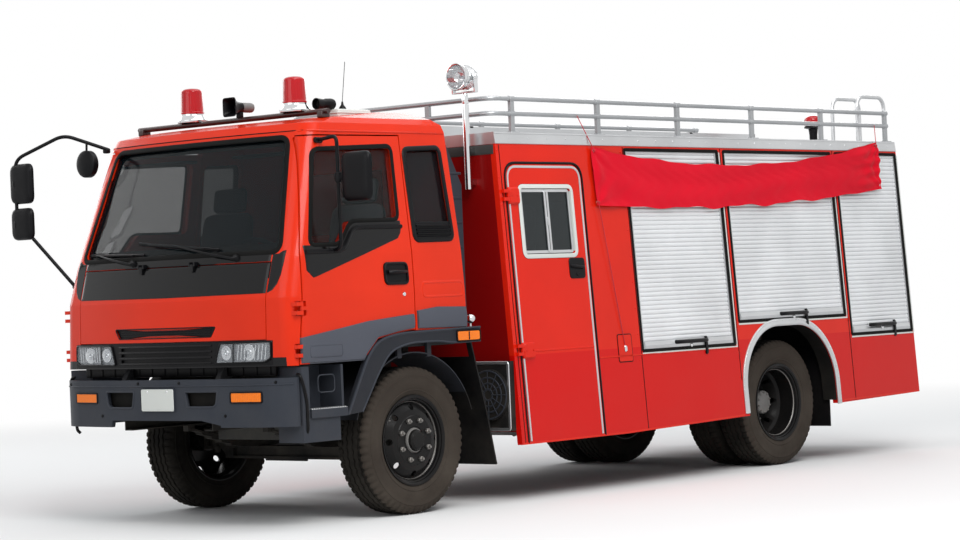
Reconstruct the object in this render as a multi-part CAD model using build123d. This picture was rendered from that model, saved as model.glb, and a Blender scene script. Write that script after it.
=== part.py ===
"""Fire engine: cab-over chassis, tilting crew cab, and a rescue body with roller shutters.

Millimetres. X points forward, Y to the left, Z up. The origin is on the ground, halfway along and
across the vehicle.
"""

import math
import os
from functools import lru_cache

from build123d import *

# Driving dimensions of the whole vehicle
overall_length = 7450.0
front_overhang = 1300.0
wheelbase = 4230.0
tyre_radius = 490.0
tyre_width = 280.0
front_track_outer = 2170.0
rear_track_outer = 2130.0
dual_spacing = 310.0
running_gap = 0.05
seat_gap = 0.3
panel_gap = 6.0
door_gap = 9.0

x_nose = 3725.0
x_tail = x_nose - overall_length
middle_shift = overall_length / 2 - x_nose
x_front = x_nose - front_overhang
x_rear = x_front - wheelbase
z_axle = tyre_radius

# Chassis frame
frame_half = 430.0
rail_height = 230.0
rail_flange = 75.0
rail_wall = 8.0
frame_top = 860.0
frame_front = x_nose - 85.0
frame_rear = x_tail + 170.0
CROSSMEMBERS = (frame_front - 40.0, frame_front - 620.0, frame_front - 2350.0, frame_front - 3600.0,
                x_rear + 645.0, x_rear - 605.0, frame_rear + 135.0)
frame_bottom = frame_top - rail_height

# Cab tilt pivot and rear rest on the frame
cab_pivot_x = x_nose - 125.0
cab_pivot_z = frame_top + 40.0
pivot_radius = 18.0

# Body behind the cab
body_front = 1477.0
body_rear = x_tail + 100.0
body_half_low = 1200.0
body_half_high = 1060.0
skirt_front_z = 390.0
skirt_rear_z = 470.0
side_top = 2477.0
side_wall = 45.0
bulkhead = 40.0
floor_thick = 40.0
locker_floor = 960.0
wheel_floor = 1130.0
roof_moulding = 82.0
roof_panel = 30.0

# Cab
cab_rear = 1915.0
cab_wall = 60.0
cab_floor_top = 1150.0
cab_floor_thick = 40.0
cab_rest_z = cab_floor_top - cab_floor_thick - seat_gap
cab_low = 1040.0
cab_side_low = 1220.0
belt = 1735.0
cab_top = 2552.0
roof_rise = 140.0
door_front_foot = 3504.0
door_rear_foot = 2430.0
lid_half = 905.0
lid_low = 1212.0
lid_top = 1700.0
lid_thick = 30.0
lid_pocket = 40.0

# Cab cross sections: height, x of the nose, setback of the corner, half width, corner radius
CAB_SECTIONS = (
    (cab_low, 3665.0, 85.0, 1128.0, 110.0),
    (1475.0, 3652.0, 85.0, 1118.0, 110.0),
    (belt, 3578.0, 80.0, 1098.0, 110.0),
    (cab_top, 3300.0, 72.0, 985.0, 110.0),
)


def block(x0, x1, y0, y1, z0, z1):
    """Box between two corners."""
    return Pos((x0 + x1) / 2, (y0 + y1) / 2, (z0 + z1) / 2) * Box(abs(x1 - x0), abs(y1 - y0), abs(z1 - z0))


def flat_shape(corners, radius, shrink):
    """Closed outline as a face, with rounded corners, drawn in by a shrink."""
    edge = FilletPolyline(*corners, radius=radius, close=True) if radius else Polyline(*corners, close=True)
    face = make_face(edge)
    return offset(face, amount=-shrink) if shrink else face


def slab_y(points, y0, y1, radius=0.0, shrink=0.0):
    """Side outline of x, z points carried from y0 to y1."""
    face = flat_shape([(x, y0, z) for x, z in points], radius, shrink)
    return extrude(face, amount=y1 - y0, dir=(0, 1, 0))


def slab_x(points, x0, x1, radius=0.0, shrink=0.0):
    """Cross section of y, z points carried from x0 to x1."""
    face = flat_shape([(x0, y, z) for y, z in points], radius, shrink)
    return extrude(face, amount=x1 - x0, dir=(1, 0, 0))


def slab_z(points, z0, z1, radius=0.0, shrink=0.0):
    """Plan outline of x, y points carried from z0 to z1."""
    face = flat_shape([(x, y, z0) for x, y in points], radius, shrink)
    return extrude(face, amount=z1 - z0, dir=(0, 0, 1))


def rod(start, end, radius):
    """Round bar between two points."""
    a, b = Vector(*start), Vector(*end)
    return Solid.make_cylinder(radius, (b - a).length, Plane(origin=a, z_dir=b - a))


def bent_tube(points, radius, bend):
    """Round tube along straight runs joined by arcs of one bend radius."""
    path = FilletPolyline(*points, radius=bend)
    a, b = Vector(*points[0]), Vector(*points[1])
    return sweep(Plane(origin=a, z_dir=b - a) * Circle(radius), path=path)


def turned(profile, x, z):
    """Ring about a wheel's own axis from points of radius and y."""
    corners = [(r, y, 0.0) for r, y in profile]
    shape = revolve(make_face(Polyline(*corners, close=True)), axis=Axis.Y)
    return Pos(x, 0, z) * shape


def both_sides(shape):
    """A shape and its twin across the middle of the vehicle."""
    return Compound([shape, mirror(shape, about=Plane.XZ)])


def joined(shapes):
    """One body of several touching shapes."""
    result = shapes[0]
    for shape in shapes[1:]:
        result = result + shape
    return result


def apart(shapes):
    """Several solids that don't touch, kept in one file."""
    return Compound([solid for shape in shapes for solid in shape.solids()])


def body_half(z):
    """Half width of the body at a height: its sides lean inwards."""
    share = (z - skirt_front_z) / (side_top - skirt_front_z)
    return body_half_low + (body_half_high - body_half_low) * share


def cab_half(z):
    """Half width of the cab at a height, between its sections."""
    for low, high in zip(CAB_SECTIONS, CAB_SECTIONS[1:]):
        if z <= high[0]:
            share = (z - low[0]) / (high[0] - low[0])
            return low[3] + (high[3] - low[3]) * share
    return CAB_SECTIONS[-1][3]


def cab_nose(z, y=0.0):
    """Forward reach of the cab's front at a height and a place across."""
    nose = CAB_SECTIONS[-1][1]
    setback = CAB_SECTIONS[-1][2]
    for low, high in zip(CAB_SECTIONS, CAB_SECTIONS[1:]):
        if z <= high[0]:
            share = (z - low[0]) / (high[0] - low[0])
            nose = low[1] + (high[1] - low[1]) * share
            setback = low[2] + (high[2] - low[2]) * share
            break
    return nose - setback * (y / lid_half) ** 2


def cab_outline(z, nose, setback, half, corner, inset=0.0):
    """Plan section of the cab: straight back and sides, rounded corners, bowed front."""
    half, nose, back = half - inset, nose - inset, cab_rear + inset
    edge = nose - setback
    width = half - corner
    front = ThreePointArc((edge, width, z), (nose, 0, z), (edge, -width, z))
    slope = front % 0
    left = TangentArc((edge, width, z), (edge - corner, half, z), tangent=-slope)
    start = left @ 1
    right = mirror(left, about=Plane.XZ)
    side = Line(start, (back, half, z))
    rear = Line((back, half, z), (back, -half, z))
    other = mirror(side, about=Plane.XZ)
    return make_face([front, left, right, side, rear, other])


@lru_cache(maxsize=None)
def cab_block(inset=0.0):
    """Solid of the cab up to the roof edge, shrunk by an inset."""
    faces = [cab_outline(*section, inset=inset) for section in CAB_SECTIONS]
    return loft(faces, ruled=True)


# Outlines seen from the side, as x, z corners
windscreen_low = 1765.0
windscreen_high = 2512.0
DOOR_OUTLINE = (
    (door_front_foot, 1045.0),
    (door_front_foot - 76.0, 1750.0),
    (3236.0, 2510.0),
    (2380.0, 2518.0),
    (door_rear_foot, 1228.0),
    (2585.0, 1212.0),
    (2790.0, 1180.0),
    (2905.0, 1076.0),
    (2930.0, 1045.0),
)
DOOR_WINDOW = (
    (3352.0, 1798.0),
    (3200.0, 2425.0),
    (2462.0, 2455.0),
    (2490.0, 1955.0),
    (2950.0, 1950.0),
    (3070.0, 1800.0),
)
QUARTER_WINDOW = ((2352.0, 2435.0), (1990.0, 2450.0), (1975.0, 1820.0), (2360.0, 1815.0))
FLARE_OUTER = ((3104.0, 703.0), (2905.0, 1062.0), (2790.0, 1168.0), (2583.0, 1202.0), (1800.0, 1213.0))
FLARE_INNER = ((1800.0, 1125.0), (2072.0, 1121.0), (2210.0, 1140.0), (2500.0, 1140.0), (2686.0, 1096.0),
               (2803.0, 969.0), (2976.0, 714.0))
flare_inner_y = 1092.0
flare_outer_y = 1140.0

# Splash guard behind the tyre, from the arch moulding down, and the y of its inner edge
SPLASH_GUARD = ((1906.0, 1150.0), (1894.0, 1150.0), (1751.0, 630.0), (1672.0, 275.0), (1684.0, 272.0),
                (1763.0, 627.0))
splash_inner_y = 700.0

# Openings of the body side: rear x, front x, low z, high z
SHUTTERS = (
    (x_rear + 701.0, 41.0, 973.0, 2451.0),
    (x_rear - 830.0, x_rear + 626.0, 1142.0, 2451.0),
    (body_rear + 20.0, x_rear - 900.0, 983.0, 2451.0),
)
slat_pitch = 38.0
slat_depth = 6.0
shutter_thick = 16.0
crew_door_front = 1395.0
crew_door_rear = 573.0
crew_door_top = 2335.0
crew_window = (700.0, 1262.0, 1695.0, 2172.0)
partition_x = 90.0
WALLS_ACROSS = (body_front - bulkhead, partition_x - bulkhead, x_rear + 643.0, x_rear - 885.0, body_rear)
arch_half = 600.0
arch_top = 1090.0
arch_trim = 55.0
arch_corner = 470.0


def arch_zone(grow=0.0):
    """Rear wheel opening with its rounded top, from below the skirt."""
    low = skirt_front_z - 500.0
    half, top = arch_half + grow, arch_top + grow
    corners = ((x_rear - half, low), (x_rear - half, top), (x_rear + half, top), (x_rear + half, low))
    return slab_y(corners, 900, 1300, radius=arch_corner + grow) + slab_y(
        ((x_rear - half, low), (x_rear - half, 500), (x_rear + half, 500), (x_rear + half, low)), 900, 1300)


# Chassis frame with its cross members
def chassis_frame():
    web = slab_x(((frame_half, frame_bottom), (frame_half, frame_top), (frame_half - rail_flange, frame_top),
                  (frame_half - rail_flange, frame_top - rail_wall),
                  (frame_half - rail_wall, frame_top - rail_wall),
                  (frame_half - rail_wall, frame_bottom + rail_wall),
                  (frame_half - rail_flange, frame_bottom + rail_wall),
                  (frame_half - rail_flange, frame_bottom)), frame_rear, frame_front)
    inside = frame_half - rail_wall
    members = [block(x - 60, x, -inside, inside, frame_bottom + 90, frame_top - 20)
               for x in CROSSMEMBERS]
    lug = slab_y(((cab_pivot_x - 60, frame_top - 4), (cab_pivot_x - 30, cab_pivot_z + 30),
                  (cab_pivot_x + 30, cab_pivot_z + 30), (cab_pivot_x + 40, frame_top - 4)),
                 frame_half - 32, frame_half - 4)
    pin = rod((cab_pivot_x, frame_half - 20, cab_pivot_z),
              (cab_pivot_x, frame_half + 54, cab_pivot_z), pivot_radius)
    upright = block(cab_rear + 30, cab_rear + 90, frame_half - 70, frame_half, frame_top - 4, cab_rest_z)
    side = joined([web, lug, pin, upright])
    rest = block(cab_rear + 30, cab_rear + 90, -600, 600, cab_rest_z - 50, cab_rest_z)
    return joined([side, mirror(side, about=Plane.XZ), rest] + members)


# Axles with their leaf springs
spring_half = 390.0
spring_width = 70.0
kingpin_y = 850.0
kingpin_radius = 22.0
beam_z = 400.0
knuckle_height = 70.0
spindle_radius = 40.0
spindle_end = 1010.0
rear_spindle_end = 840.0


def leaf_spring(x, half_length, seat_z, eye_z, leaves):
    """Pack of leaves under one rail, arched up to its eyes, each leaf shorter than the last."""
    shapes = []
    for leaf in range(leaves):
        share = 1.0 - 0.13 * leaf
        reach = half_length * share
        drop = 12.0 * leaf
        rise = (eye_z - seat_z) * share ** 2
        low = [(x - reach, seat_z - drop + rise), (x, seat_z - drop), (x + reach, seat_z - drop + rise)]
        arc = ThreePointArc(*[(a, spring_half - spring_width / 2, b) for a, b in low])
        lifted = ThreePointArc(*[(a, spring_half - spring_width / 2, b + 12.5) for a, b in low])
        ends = [Line(arc @ 0, lifted @ 0), Line(arc @ 1, lifted @ 1)]
        shapes.append(extrude(make_face([arc, lifted] + ends), amount=spring_width, dir=(0, 1, 0)))
    return joined(shapes)


def front_axle():
    """Dropped beam with kingpins, and the two front spring packs."""
    beam = block(x_front - 45, x_front + 45, -720, 720, beam_z - 45, beam_z + 45)
    web = block(x_front - 46, x_front - 12, -640, 640, beam_z - 27, beam_z + 27)
    beam = beam - web - mirror(web, about=Plane(origin=(x_front, 0, 0), z_dir=(1, 0, 0)))
    rise = slab_x(((700, beam_z - 45), (700, beam_z + 45), (790, z_axle + 45), (820, z_axle + 45),
                   (820, z_axle - 45), (790, z_axle - 45)), x_front - 40, x_front + 40)
    boss = Pos(x_front, kingpin_y, z_axle) * Cylinder(48, 90)
    pin = Pos(x_front, kingpin_y, z_axle) * Cylinder(kingpin_radius, 2 * knuckle_height + 60)
    end = joined([rise, boss, pin])
    spring = leaf_spring(x_front, 680.0, beam_z + 45 + 48, frame_bottom - 30, 5)
    seat = block(x_front - 90, x_front + 90, spring_half - 50, spring_half + 50, beam_z + 45, beam_z + 50)
    hangers = [block(x_front + s * 680 - 30, x_front + s * 680 + 30, spring_half - 25, spring_half + 25,
                     frame_bottom - 40, frame_bottom - seat_gap) for s in (-1, 1)]
    side = joined([end, spring, seat] + hangers)
    return joined([beam, side, mirror(side, about=Plane.XZ)])


def rear_axle():
    """Banjo housing with spindles, and the two rear spring packs on top."""
    tube = Pos(x_rear, 0, z_axle) * Rot(90, 0, 0) * Cylinder(72, 1300)
    spindle = Pos(x_rear, 0, z_axle) * Rot(90, 0, 0) * Cylinder(spindle_radius, 2 * rear_spindle_end)
    banjo = Pos(x_rear, 0, z_axle) * Rot(0, 90, 0) * Cylinder(195, 130)
    cover = Pos(x_rear - 65, 0, z_axle) * Sphere(150)
    nose = Pos(x_rear + 150, 0, z_axle) * Rot(0, 90, 0) * Cone(120, 60, 220)
    spring = leaf_spring(x_rear, 720.0, z_axle + 72 + 38, frame_bottom - 44, 4)
    seat = block(x_rear - 100, x_rear + 100, spring_half - 50, spring_half + 50, z_axle + 40, z_axle + 77)
    hangers = [block(x_rear + s * 720 - 30, x_rear + s * 720 + 30, spring_half - 25, spring_half + 25,
                     frame_bottom - 40, frame_bottom - seat_gap) for s in (-1, 1)]
    side = joined([spring, seat] + hangers)
    return joined([tube, spindle, banjo, cover, nose, side, mirror(side, about=Plane.XZ)])


def knuckle():
    """Left steering knuckle: a fork round the axle's boss, and the spindle."""
    ear = Pos(x_front, kingpin_y, 0) * Cylinder(48, 24)
    low = Pos(0, 0, z_axle - knuckle_height + 8) * ear
    high = Pos(0, 0, z_axle + knuckle_height - 8) * ear
    back = block(x_front - 48, x_front + 48, kingpin_y + 52, kingpin_y + 85, z_axle - 74, z_axle + 74)
    webs = [block(x_front - 48, x_front + 48, kingpin_y, kingpin_y + 60, z_axle + s * 62 - 12,
                  z_axle + s * 62 + 12) for s in (-1, 1)]
    arm = block(x_front - 230, x_front - 40, kingpin_y - 20, kingpin_y + 20, z_axle - 74, z_axle - 50)
    spindle = rod((x_front, kingpin_y + 80, z_axle), (x_front, spindle_end, z_axle), spindle_radius)
    bore = Pos(x_front, kingpin_y, z_axle) * Cylinder(kingpin_radius + running_gap, 400)
    return joined([low, high, back, spindle, arm] + webs) - bore


# Wheels and tyres
rim_flange = 302.0
bead_seat = 288.0
rim_half = 125.0
barrel_radius = 266.0


def rim_barrel(y_mid):
    """Barrel with two flanges."""
    skin = ((rim_flange, 125), (rim_flange, 118), (bead_seat, 113), (284, 95), (barrel_radius, 75),
            (barrel_radius, -65), (284, -85), (bead_seat, -113), (rim_flange, -118), (rim_flange, -125),
            (292, -125), (278, -118), (274, -88), (256, -66), (256, 78), (274, 98), (280, 118), (292, 125))
    return [(r, y + y_mid) for r, y in skin]


def tyre(y_mid, x):
    """Tyre ring with rounded shoulders."""
    half = tyre_width / 2
    side = ((bead_seat + seat_gap, -112), (303, -117), (345, 4 - half), (400, -half), (448, 6 - half),
            (474, 17 - half), (486, 32 - half), (tyre_radius, 60 - half))
    ring = side + tuple((r, -y) for r, y in reversed(side))
    return turned([(r, y + y_mid) for r, y in ring], x, z_axle)


def front_rim():
    """Left front wheel: bowed disc with hand holes, hub and cap."""
    y_mid = front_track_outer / 2 - tyre_width / 2
    bore = spindle_radius + running_gap
    blind = spindle_end - y_mid + 5
    disc = ((258, 62), (238, 78), (200, 104), (165, 110), (90, 110), (90, -5), (bore, -5), (bore, blind),
            (0, blind), (0, 165), (52, 165), (68, 154), (78, 122), (170, 122), (206, 115), (246, 88),
            (258, 78))
    ring = turned(rim_barrel(y_mid), x_front, z_axle)
    face = turned([(r, y + y_mid) for r, y in disc], x_front, z_axle)
    holes = [rod((x_front + 222 * math.cos(a), y_mid, z_axle + 222 * math.sin(a)),
                 (x_front + 222 * math.cos(a), y_mid + 200, z_axle + 222 * math.sin(a)), 21)
             for a in (math.pi * k / 4 for k in range(8))]
    return (ring + face) - holes


def rear_rims():
    """Left rear twin wheels: two dished discs bolted back to back on one hub."""
    y_mid = rear_track_outer / 2 - tyre_width / 2 - dual_spacing / 2
    half = dual_spacing / 2
    bore = spindle_radius + running_gap
    blind = rear_spindle_end - y_mid + 5
    barrels = [turned(rim_barrel(y_mid + s * half), x_rear, z_axle) for s in (-1, 1)]
    disc = ((258, 112), (236, 92), (192, 14), (90, 14), (90, 120), (70, 128), (0, 128), (0, blind),
            (bore, blind),
            (bore, -80), (110, -80), (110, -14), (192, -14), (236, -92), (258, -112), (258, -98), (243, -84),
            (206, 0), (243, 84), (258, 98))
    face = turned([(r, y + y_mid) for r, y in disc], x_rear, z_axle)
    holes = [rod((x_rear + 215 * math.cos(a), y_mid - 120, z_axle + 215 * math.sin(a)),
                 (x_rear + 215 * math.cos(a), y_mid + 120, z_axle + 215 * math.sin(a)), 19)
             for a in (math.pi * k / 4 for k in range(8))]
    return joined(barrels + [face]) - holes


def rear_tyres():
    """Left rear twin tyres."""
    y_outer = rear_track_outer / 2 - tyre_width / 2
    return apart([tyre(y_outer, x_rear), tyre(y_outer - dual_spacing, x_rear)])


# Engine, gearbox and propeller shaft
engine_front = 2900.0
engine_rear = 2060.0
engine_half = 320.0
engine_low = 520.0
engine_top = 1320.0
gearbox_rear = 1500.0
shaft_radius = 50.0


def powertrain():
    """Plain block of the engine, its gearbox, and the shaft to the rear axle."""
    engine = block(engine_rear, engine_front, -engine_half, engine_half, engine_low, engine_top)
    foot_y = frame_half - rail_wall - seat_gap
    feet = block(engine_rear + 200, engine_rear + 300, -foot_y, foot_y, 700, 760)
    box = block(gearbox_rear, engine_rear + 10, -160, 160, 560, 850)
    tail = rod((gearbox_rear + 20, 0, 650), (gearbox_rear - 60, 0, 650), 70)
    shaft = rod((gearbox_rear - 40, 0, 650), (x_rear + 264, 0, z_axle), shaft_radius)
    return joined([engine, feet, box, tail, shaft])


def chassis_tanks():
    """Fuel tank on the right, two air tanks and the silencer on the left."""
    seat = frame_half + seat_gap
    fuel = slab_x(((-seat - 60, 470), (-1000, 470), (-1000, 820), (-seat - 60, 820)), -950, -150, radius=45)
    fuel_arms = [block(x, x + 50, -seat - 80, -seat, 700, 760) for x in (-880, -270)]
    air = [rod((x, 620, 640), (x + 450, 620, 640), 115) for x in (-1000, -480)]
    air_arms = [block(x, x + 40, seat, 560, 620, 680) for x in (-850, -330)]
    silencer = rod((700, 640, 640), (1200, 640, 640), 130)
    silencer_arm = block(900, 960, seat, 560, 660, 720)
    tail = rod((1000, 640, 540), (1000, 740, 440), 38)
    return apart([joined([fuel] + fuel_arms), joined([air[0], air_arms[0]]), joined([air[1], air_arms[1]]),
                  joined([silencer, silencer_arm, tail])])


# Bumper
bumper_front = x_nose - 10.0
bumper_low = 655.0
bumper_top = 965.0
bumper_end = 3514.0
bumper_half = 1111.0
bumper_corner = 230.0
bumper_wall = 30.0
turn_lamp = (650.0, 907.0, 812.0, 882.0)
turn_lamp_depth = 15.0
plate_width = 320.0
plate_height = 150.0
plate_low = 760.0


def bumper_plan(z, inset=0.0):
    """Plan outline of the bumper at one height."""
    nose, half = bumper_front - inset, bumper_half - inset
    edge = nose - 65
    width = half - bumper_corner
    front = ThreePointArc((edge, width, z), (nose, 0, z), (edge, -width, z))
    left = TangentArc((edge, width, z), (bumper_end + 20, half, z), tangent=-(front % 0))
    right = mirror(left, about=Plane.XZ)
    side = Line(left @ 1, (bumper_end, half, z))
    rear = Line((bumper_end, half, z), (bumper_end, -half, z))
    return make_face([front, left, right, side, rear, mirror(side, about=Plane.XZ)])


def bumper_block(inset=0.0, low=bumper_low, high=bumper_top):
    """Solid inside the bumper's plan outline."""
    return extrude(bumper_plan(low, inset), amount=high - low, dir=(0, 0, 1))


def turn_lamp_zone(side, shrink=0.0):
    """Face of one turn lamp in the bumper."""
    y0, y1, z0, z1 = turn_lamp
    return block(3500, 3800, side * (y0 + shrink), side * (y1 - shrink), z0 + shrink, z1 - shrink)


def front_bumper():
    """Hollow bumper with two openings and a raised middle of its lower edge."""
    inner = bumper_block(bumper_wall, bumper_low - 50, bumper_top - bumper_wall)
    hollow = bumper_block() - inner - bumper_block(70, bumper_top - 60, bumper_top + 10)
    notch = slab_x(((-520, 600), (-490, 700), (390, 700), (560, 668), (560, 600)), 3500, 3800)
    mouths = [slab_x(((s * 245, 893), (s * 545, 893), (s * 530, 800), (s * 500, 782), (s * 265, 782)),
                     3500, 3800, radius=14) for s in (-1, 1)]
    arm_notches = [block(3590, 3668, s * 420, s * 500, 900, 1000) for s in (-1, 1)]
    skin = bumper_block() - bumper_block(turn_lamp_depth)
    pockets = [skin & turn_lamp_zone(s) for s in (-1, 1)]
    shell = hollow - notch - mouths[0] - mouths[1] - arm_notches - pockets
    arms = [block(frame_front + seat_gap, bumper_front - 25, s * 400 - 30, s * 400 + 30, 705, 765)
            for s in (-1, 1)]
    plate = block(bumper_front - 12, x_nose, -plate_width / 2, plate_width / 2, plate_low,
                  plate_low + plate_height)
    return joined([shell, plate] + arms)


# Hinges
pin_radius = 8.0
hinge_reach = 52.0
knuckle_half = 12.0
lug_near = 16.0
lug_far = 40.0


def hinge(x, y, z, lean=0.0, sink=0.0, reach=hinge_reach):
    """Pin with two lugs towards +X, and the barrel with its arm towards -X; sink carries the feet inwards."""
    pin = rod((x, y - lean * 44, z - 44), (x, y + lean * 44, z + 44), pin_radius)
    bore = rod((x, y - lean * 60, z - 60), (x, y + lean * 60, z + 60), pin_radius + running_gap)
    fixed = [pin]
    for low in (-lug_far, lug_near):
        high = low + lug_far - lug_near
        fixed.append(block(x - 9, x + reach, y - 9, y + 9, z + low, z + high))
        fixed.append(block(x + reach - 24, x + reach, y - 9 - sink, y + 9, z + low, z + high))
    arm = block(x - reach, x + 9, y - 9, y + 9, z - knuckle_half, z + knuckle_half)
    foot = block(x - reach, x - reach + 24, y - 9 - sink, y + 9, z - knuckle_half, z + knuckle_half)
    return joined(fixed), (arm + foot) - bore


# Cab door hinges sit in pockets of the door and the corner panel
door_hinge_x = 3480.0
door_hinge_y = 1126.0
DOOR_HINGE_HEIGHTS = (1130.0, 1400.0)
pocket_half = 46.0
pocket_depth = 30.0


def door_hinge_pocket(z):
    """Recess round one door hinge on the left."""
    return block(door_hinge_x - pocket_half, door_hinge_x + pocket_half, door_hinge_y - pocket_depth, 1300,
                 z - pocket_half, z + pocket_half)


# Cab pieces cut from one hollow block
pillar_y = 870.0


def cab_shell(outer=0.0, inner=cab_wall):
    """Layer of the cab's walls between two depths."""
    return cab_block(outer) - cab_block(inner)


def door_cutter(grow=0.0):
    """Outline of the left cab door, grown by the gap round it."""
    face = flat_shape([(x, pillar_y + 10, z) for x, z in DOOR_OUTLINE], 0, -grow)
    return extrude(face, amount=400, dir=(0, 1, 0))


def front_zone(back=0.0):
    """Everything ahead of the doors."""
    gap = door_gap - back
    points = ((door_front_foot + gap - 60, 900), (door_front_foot + gap, 1045),
              (door_front_foot - 76 + gap, 1750), (3236 + gap, 2510), (3225 + gap, 2600), (4000, 2600),
               (4000, 900))
    return slab_y(points, -1300, 1300) + block(3000, 3900, -pillar_y, pillar_y, 900, 2600)


def lid_zone(grow=0.0):
    """Face of the service lid seen from the front."""
    return block(3300, 3800, -lid_half - grow, lid_half + grow, lid_low - grow, lid_top + grow)


def grille_zone(shrink=0.0):
    """Band of the grille and headlamps below the lid."""
    return block(3300, 3800, -960 + shrink, 960 - shrink, cab_low + 8 + shrink, lid_low - panel_gap - shrink)


def windscreen_zone(shrink=0.0):
    """Windscreen opening seen from the front."""
    points = ((-966, windscreen_low), (966, windscreen_low), (838, windscreen_high), (-838, windscreen_high))
    return slab_x(points, 3050, 3800, 60, shrink)


# Service lid hinge
lid_axis_x = cab_nose(lid_top) + 12.0
lid_axis_z = lid_top + 6.0
lid_hinge_y = 250.0


def lid_hinge(y):
    """Pin with lugs on the cab, and the barrel with its strap on the lid."""
    pin = rod((lid_axis_x, y - 30, lid_axis_z), (lid_axis_x, y + 30, lid_axis_z), 6)
    lugs = [block(lid_axis_x - 34, lid_axis_x + 7, y + a, y + a + 12, lid_axis_z - 5, lid_axis_z + 22)
            for a in (-30, 18)]
    barrel = block(lid_axis_x - 7, lid_axis_x + 7, y - 13, y + 13, lid_axis_z - 7, lid_axis_z + 7)
    strap = block(lid_axis_x - 26, lid_axis_x + 7, y - 13, y + 13, lid_axis_z - 40, lid_axis_z - 5)
    bore = rod((lid_axis_x, y - 40, lid_axis_z), (lid_axis_x, y + 40, lid_axis_z), 6 + running_gap)
    return joined([pin] + lugs), (barrel + strap) - bore


def cab_front():
    """Front wall with pillars, windscreen frame and the firewall behind the lid."""
    zone = cab_shell() & front_zone()
    pocket = cab_shell(0, lid_pocket)
    zone = zone - (pocket & lid_zone(panel_gap)) - (pocket & grille_zone()) - windscreen_zone()
    for z in DOOR_HINGE_HEIGHTS:
        recess = door_hinge_pocket(z)
        fixed, _ = hinge(door_hinge_x, door_hinge_y, z, sink=34)
        zone = zone - recess - mirror(recess, about=Plane.XZ) + fixed + mirror(fixed, about=Plane.XZ)
    for y in (-lid_hinge_y, lid_hinge_y):
        zone = zone + lid_hinge(y)[0]
    return zone


def front_lid():
    """Service lid below the windscreen, with a slot pressed across it."""
    lid = cab_shell(0, lid_thick) & lid_zone()
    slot = cab_shell(0, 14) & slab_x(((-495, 1306), (495, 1306), (450, 1234), (-450, 1234)), 3300, 3800, 12)
    return lid - slot + [lid_hinge(y)[1] for y in (-lid_hinge_y, lid_hinge_y)]


HEADLAMP = ((486.0, 1062.0), (530.0, 1198.0), (952.0, 1202.0), (952.0, 1090.0), (900.0, 1066.0))


def grille():
    """Black grille between and around the headlamps."""
    skin = cab_shell(0, lid_pocket - seat_gap) & grille_zone(seat_gap)
    lamps = [slab_x([(s * y, z) for y, z in HEADLAMP], 3200, 3800) for s in (1, -1)]
    slots = cab_shell(0, 14) & Compound([block(3300, 3800, -430, 430, z, z + 20) for z in (1080, 1118, 1156)])
    return skin - lamps[0] - lamps[1] - slots


def headlamps():
    """Two headlamp bodies with their lenses."""
    left = cab_shell(0, lid_pocket - seat_gap) & slab_x(HEADLAMP, 3200, 3800, 0, seat_gap)
    return both_sides(left)


def cab_glass():
    """Curved windscreen, the quarter windows and the rear window."""
    layer = cab_shell(24, 30)
    front = layer & windscreen_zone(seat_gap)
    quarter = layer & slab_y(QUARTER_WINDOW, 700, 1300, 40, seat_gap)
    back = block(cab_rear + 24, cab_rear + 30, -450 + seat_gap, 450 - seat_gap, 1900 + seat_gap,
                 2330 - seat_gap)
    return apart([front, quarter, mirror(quarter, about=Plane.XZ), back])


def cab_sides():
    """Quarter panels behind the doors with the rail over them, left and right."""
    gap = door_gap - seat_gap
    points = ((3236 + gap, 2505), (3225 + gap, 2600), (cab_rear - 10, 2600), (cab_rear - 10, cab_side_low),
              (2500, cab_side_low), (2500, 2505))
    rail = block(cab_rear + 500, cab_rear + 1500, 0, pillar_y + seat_gap, 2000, 2600)
    corner = block(cab_rear - 10, cab_rear + 500, 0, 900 + seat_gap, 1000, 2600)
    zone = slab_y(points, 0, 1300) - rail - corner
    wall = (cab_shell() & zone) - door_cutter(door_gap) - slab_y(QUARTER_WINDOW, 700, 1300, 40)
    return both_sides(wall)


def cab_back():
    """Rear wall of the cab with its window."""
    wall = block(cab_rear, cab_rear + cab_wall, -900, 900, 1110, cab_top)
    return wall - block(cab_rear - 10, cab_rear + 100, -450, 450, 1900, 2330)


tunnel_half = 360.0
tunnel_top = 1400.0
tunnel_front = 2960.0


def cab_floor():
    """Floor with the engine tunnel and the tilt arms."""
    half = cab_half(cab_floor_top) - cab_wall - door_gap
    rear_x = cab_rear + cab_wall + seat_gap
    low = cab_floor_top - cab_floor_thick
    floor = cab_block(cab_wall + seat_gap) & block(rear_x, 3800, -half, half, low, cab_floor_top)
    well = block(rear_x - 1, tunnel_front, -tunnel_half, tunnel_half, low - 1, tunnel_top - 30)
    tunnel = block(rear_x, tunnel_front + 30, -tunnel_half - 30, tunnel_half + 30, cab_floor_top - 5,
                   tunnel_top)
    arm = slab_y(((cab_pivot_x - 20, cab_pivot_z - 35), (cab_pivot_x + 30, cab_pivot_z - 35),
                  (cab_pivot_x + 34, cab_pivot_z + 30), (3510, low + 2), (3360, low + 2), (3420, low - 40)),
                 frame_half + 8, frame_half + 50)
    bore = rod((cab_pivot_x, 300, cab_pivot_z), (cab_pivot_x, 600, cab_pivot_z), pivot_radius + running_gap)
    arms = arm - bore
    corner = block(3385, 3800, half - 41, half + 60, low - 1, cab_floor_top + 1)
    floor = floor - corner - mirror(corner, about=Plane.XZ)
    return joined([floor, tunnel, arms, mirror(arms, about=Plane.XZ)]) - well


# Roof layers: rise above the roof edge, x of the nose, inset of sides and back
ROOF_LAYERS = ((0.0, 3300.0, 0.0), (48.0, 3275.0, 14.0), (88.0, 3080.0, 62.0), (roof_rise, 2500.0, 190.0))
roof_skin = 35.0


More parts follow.
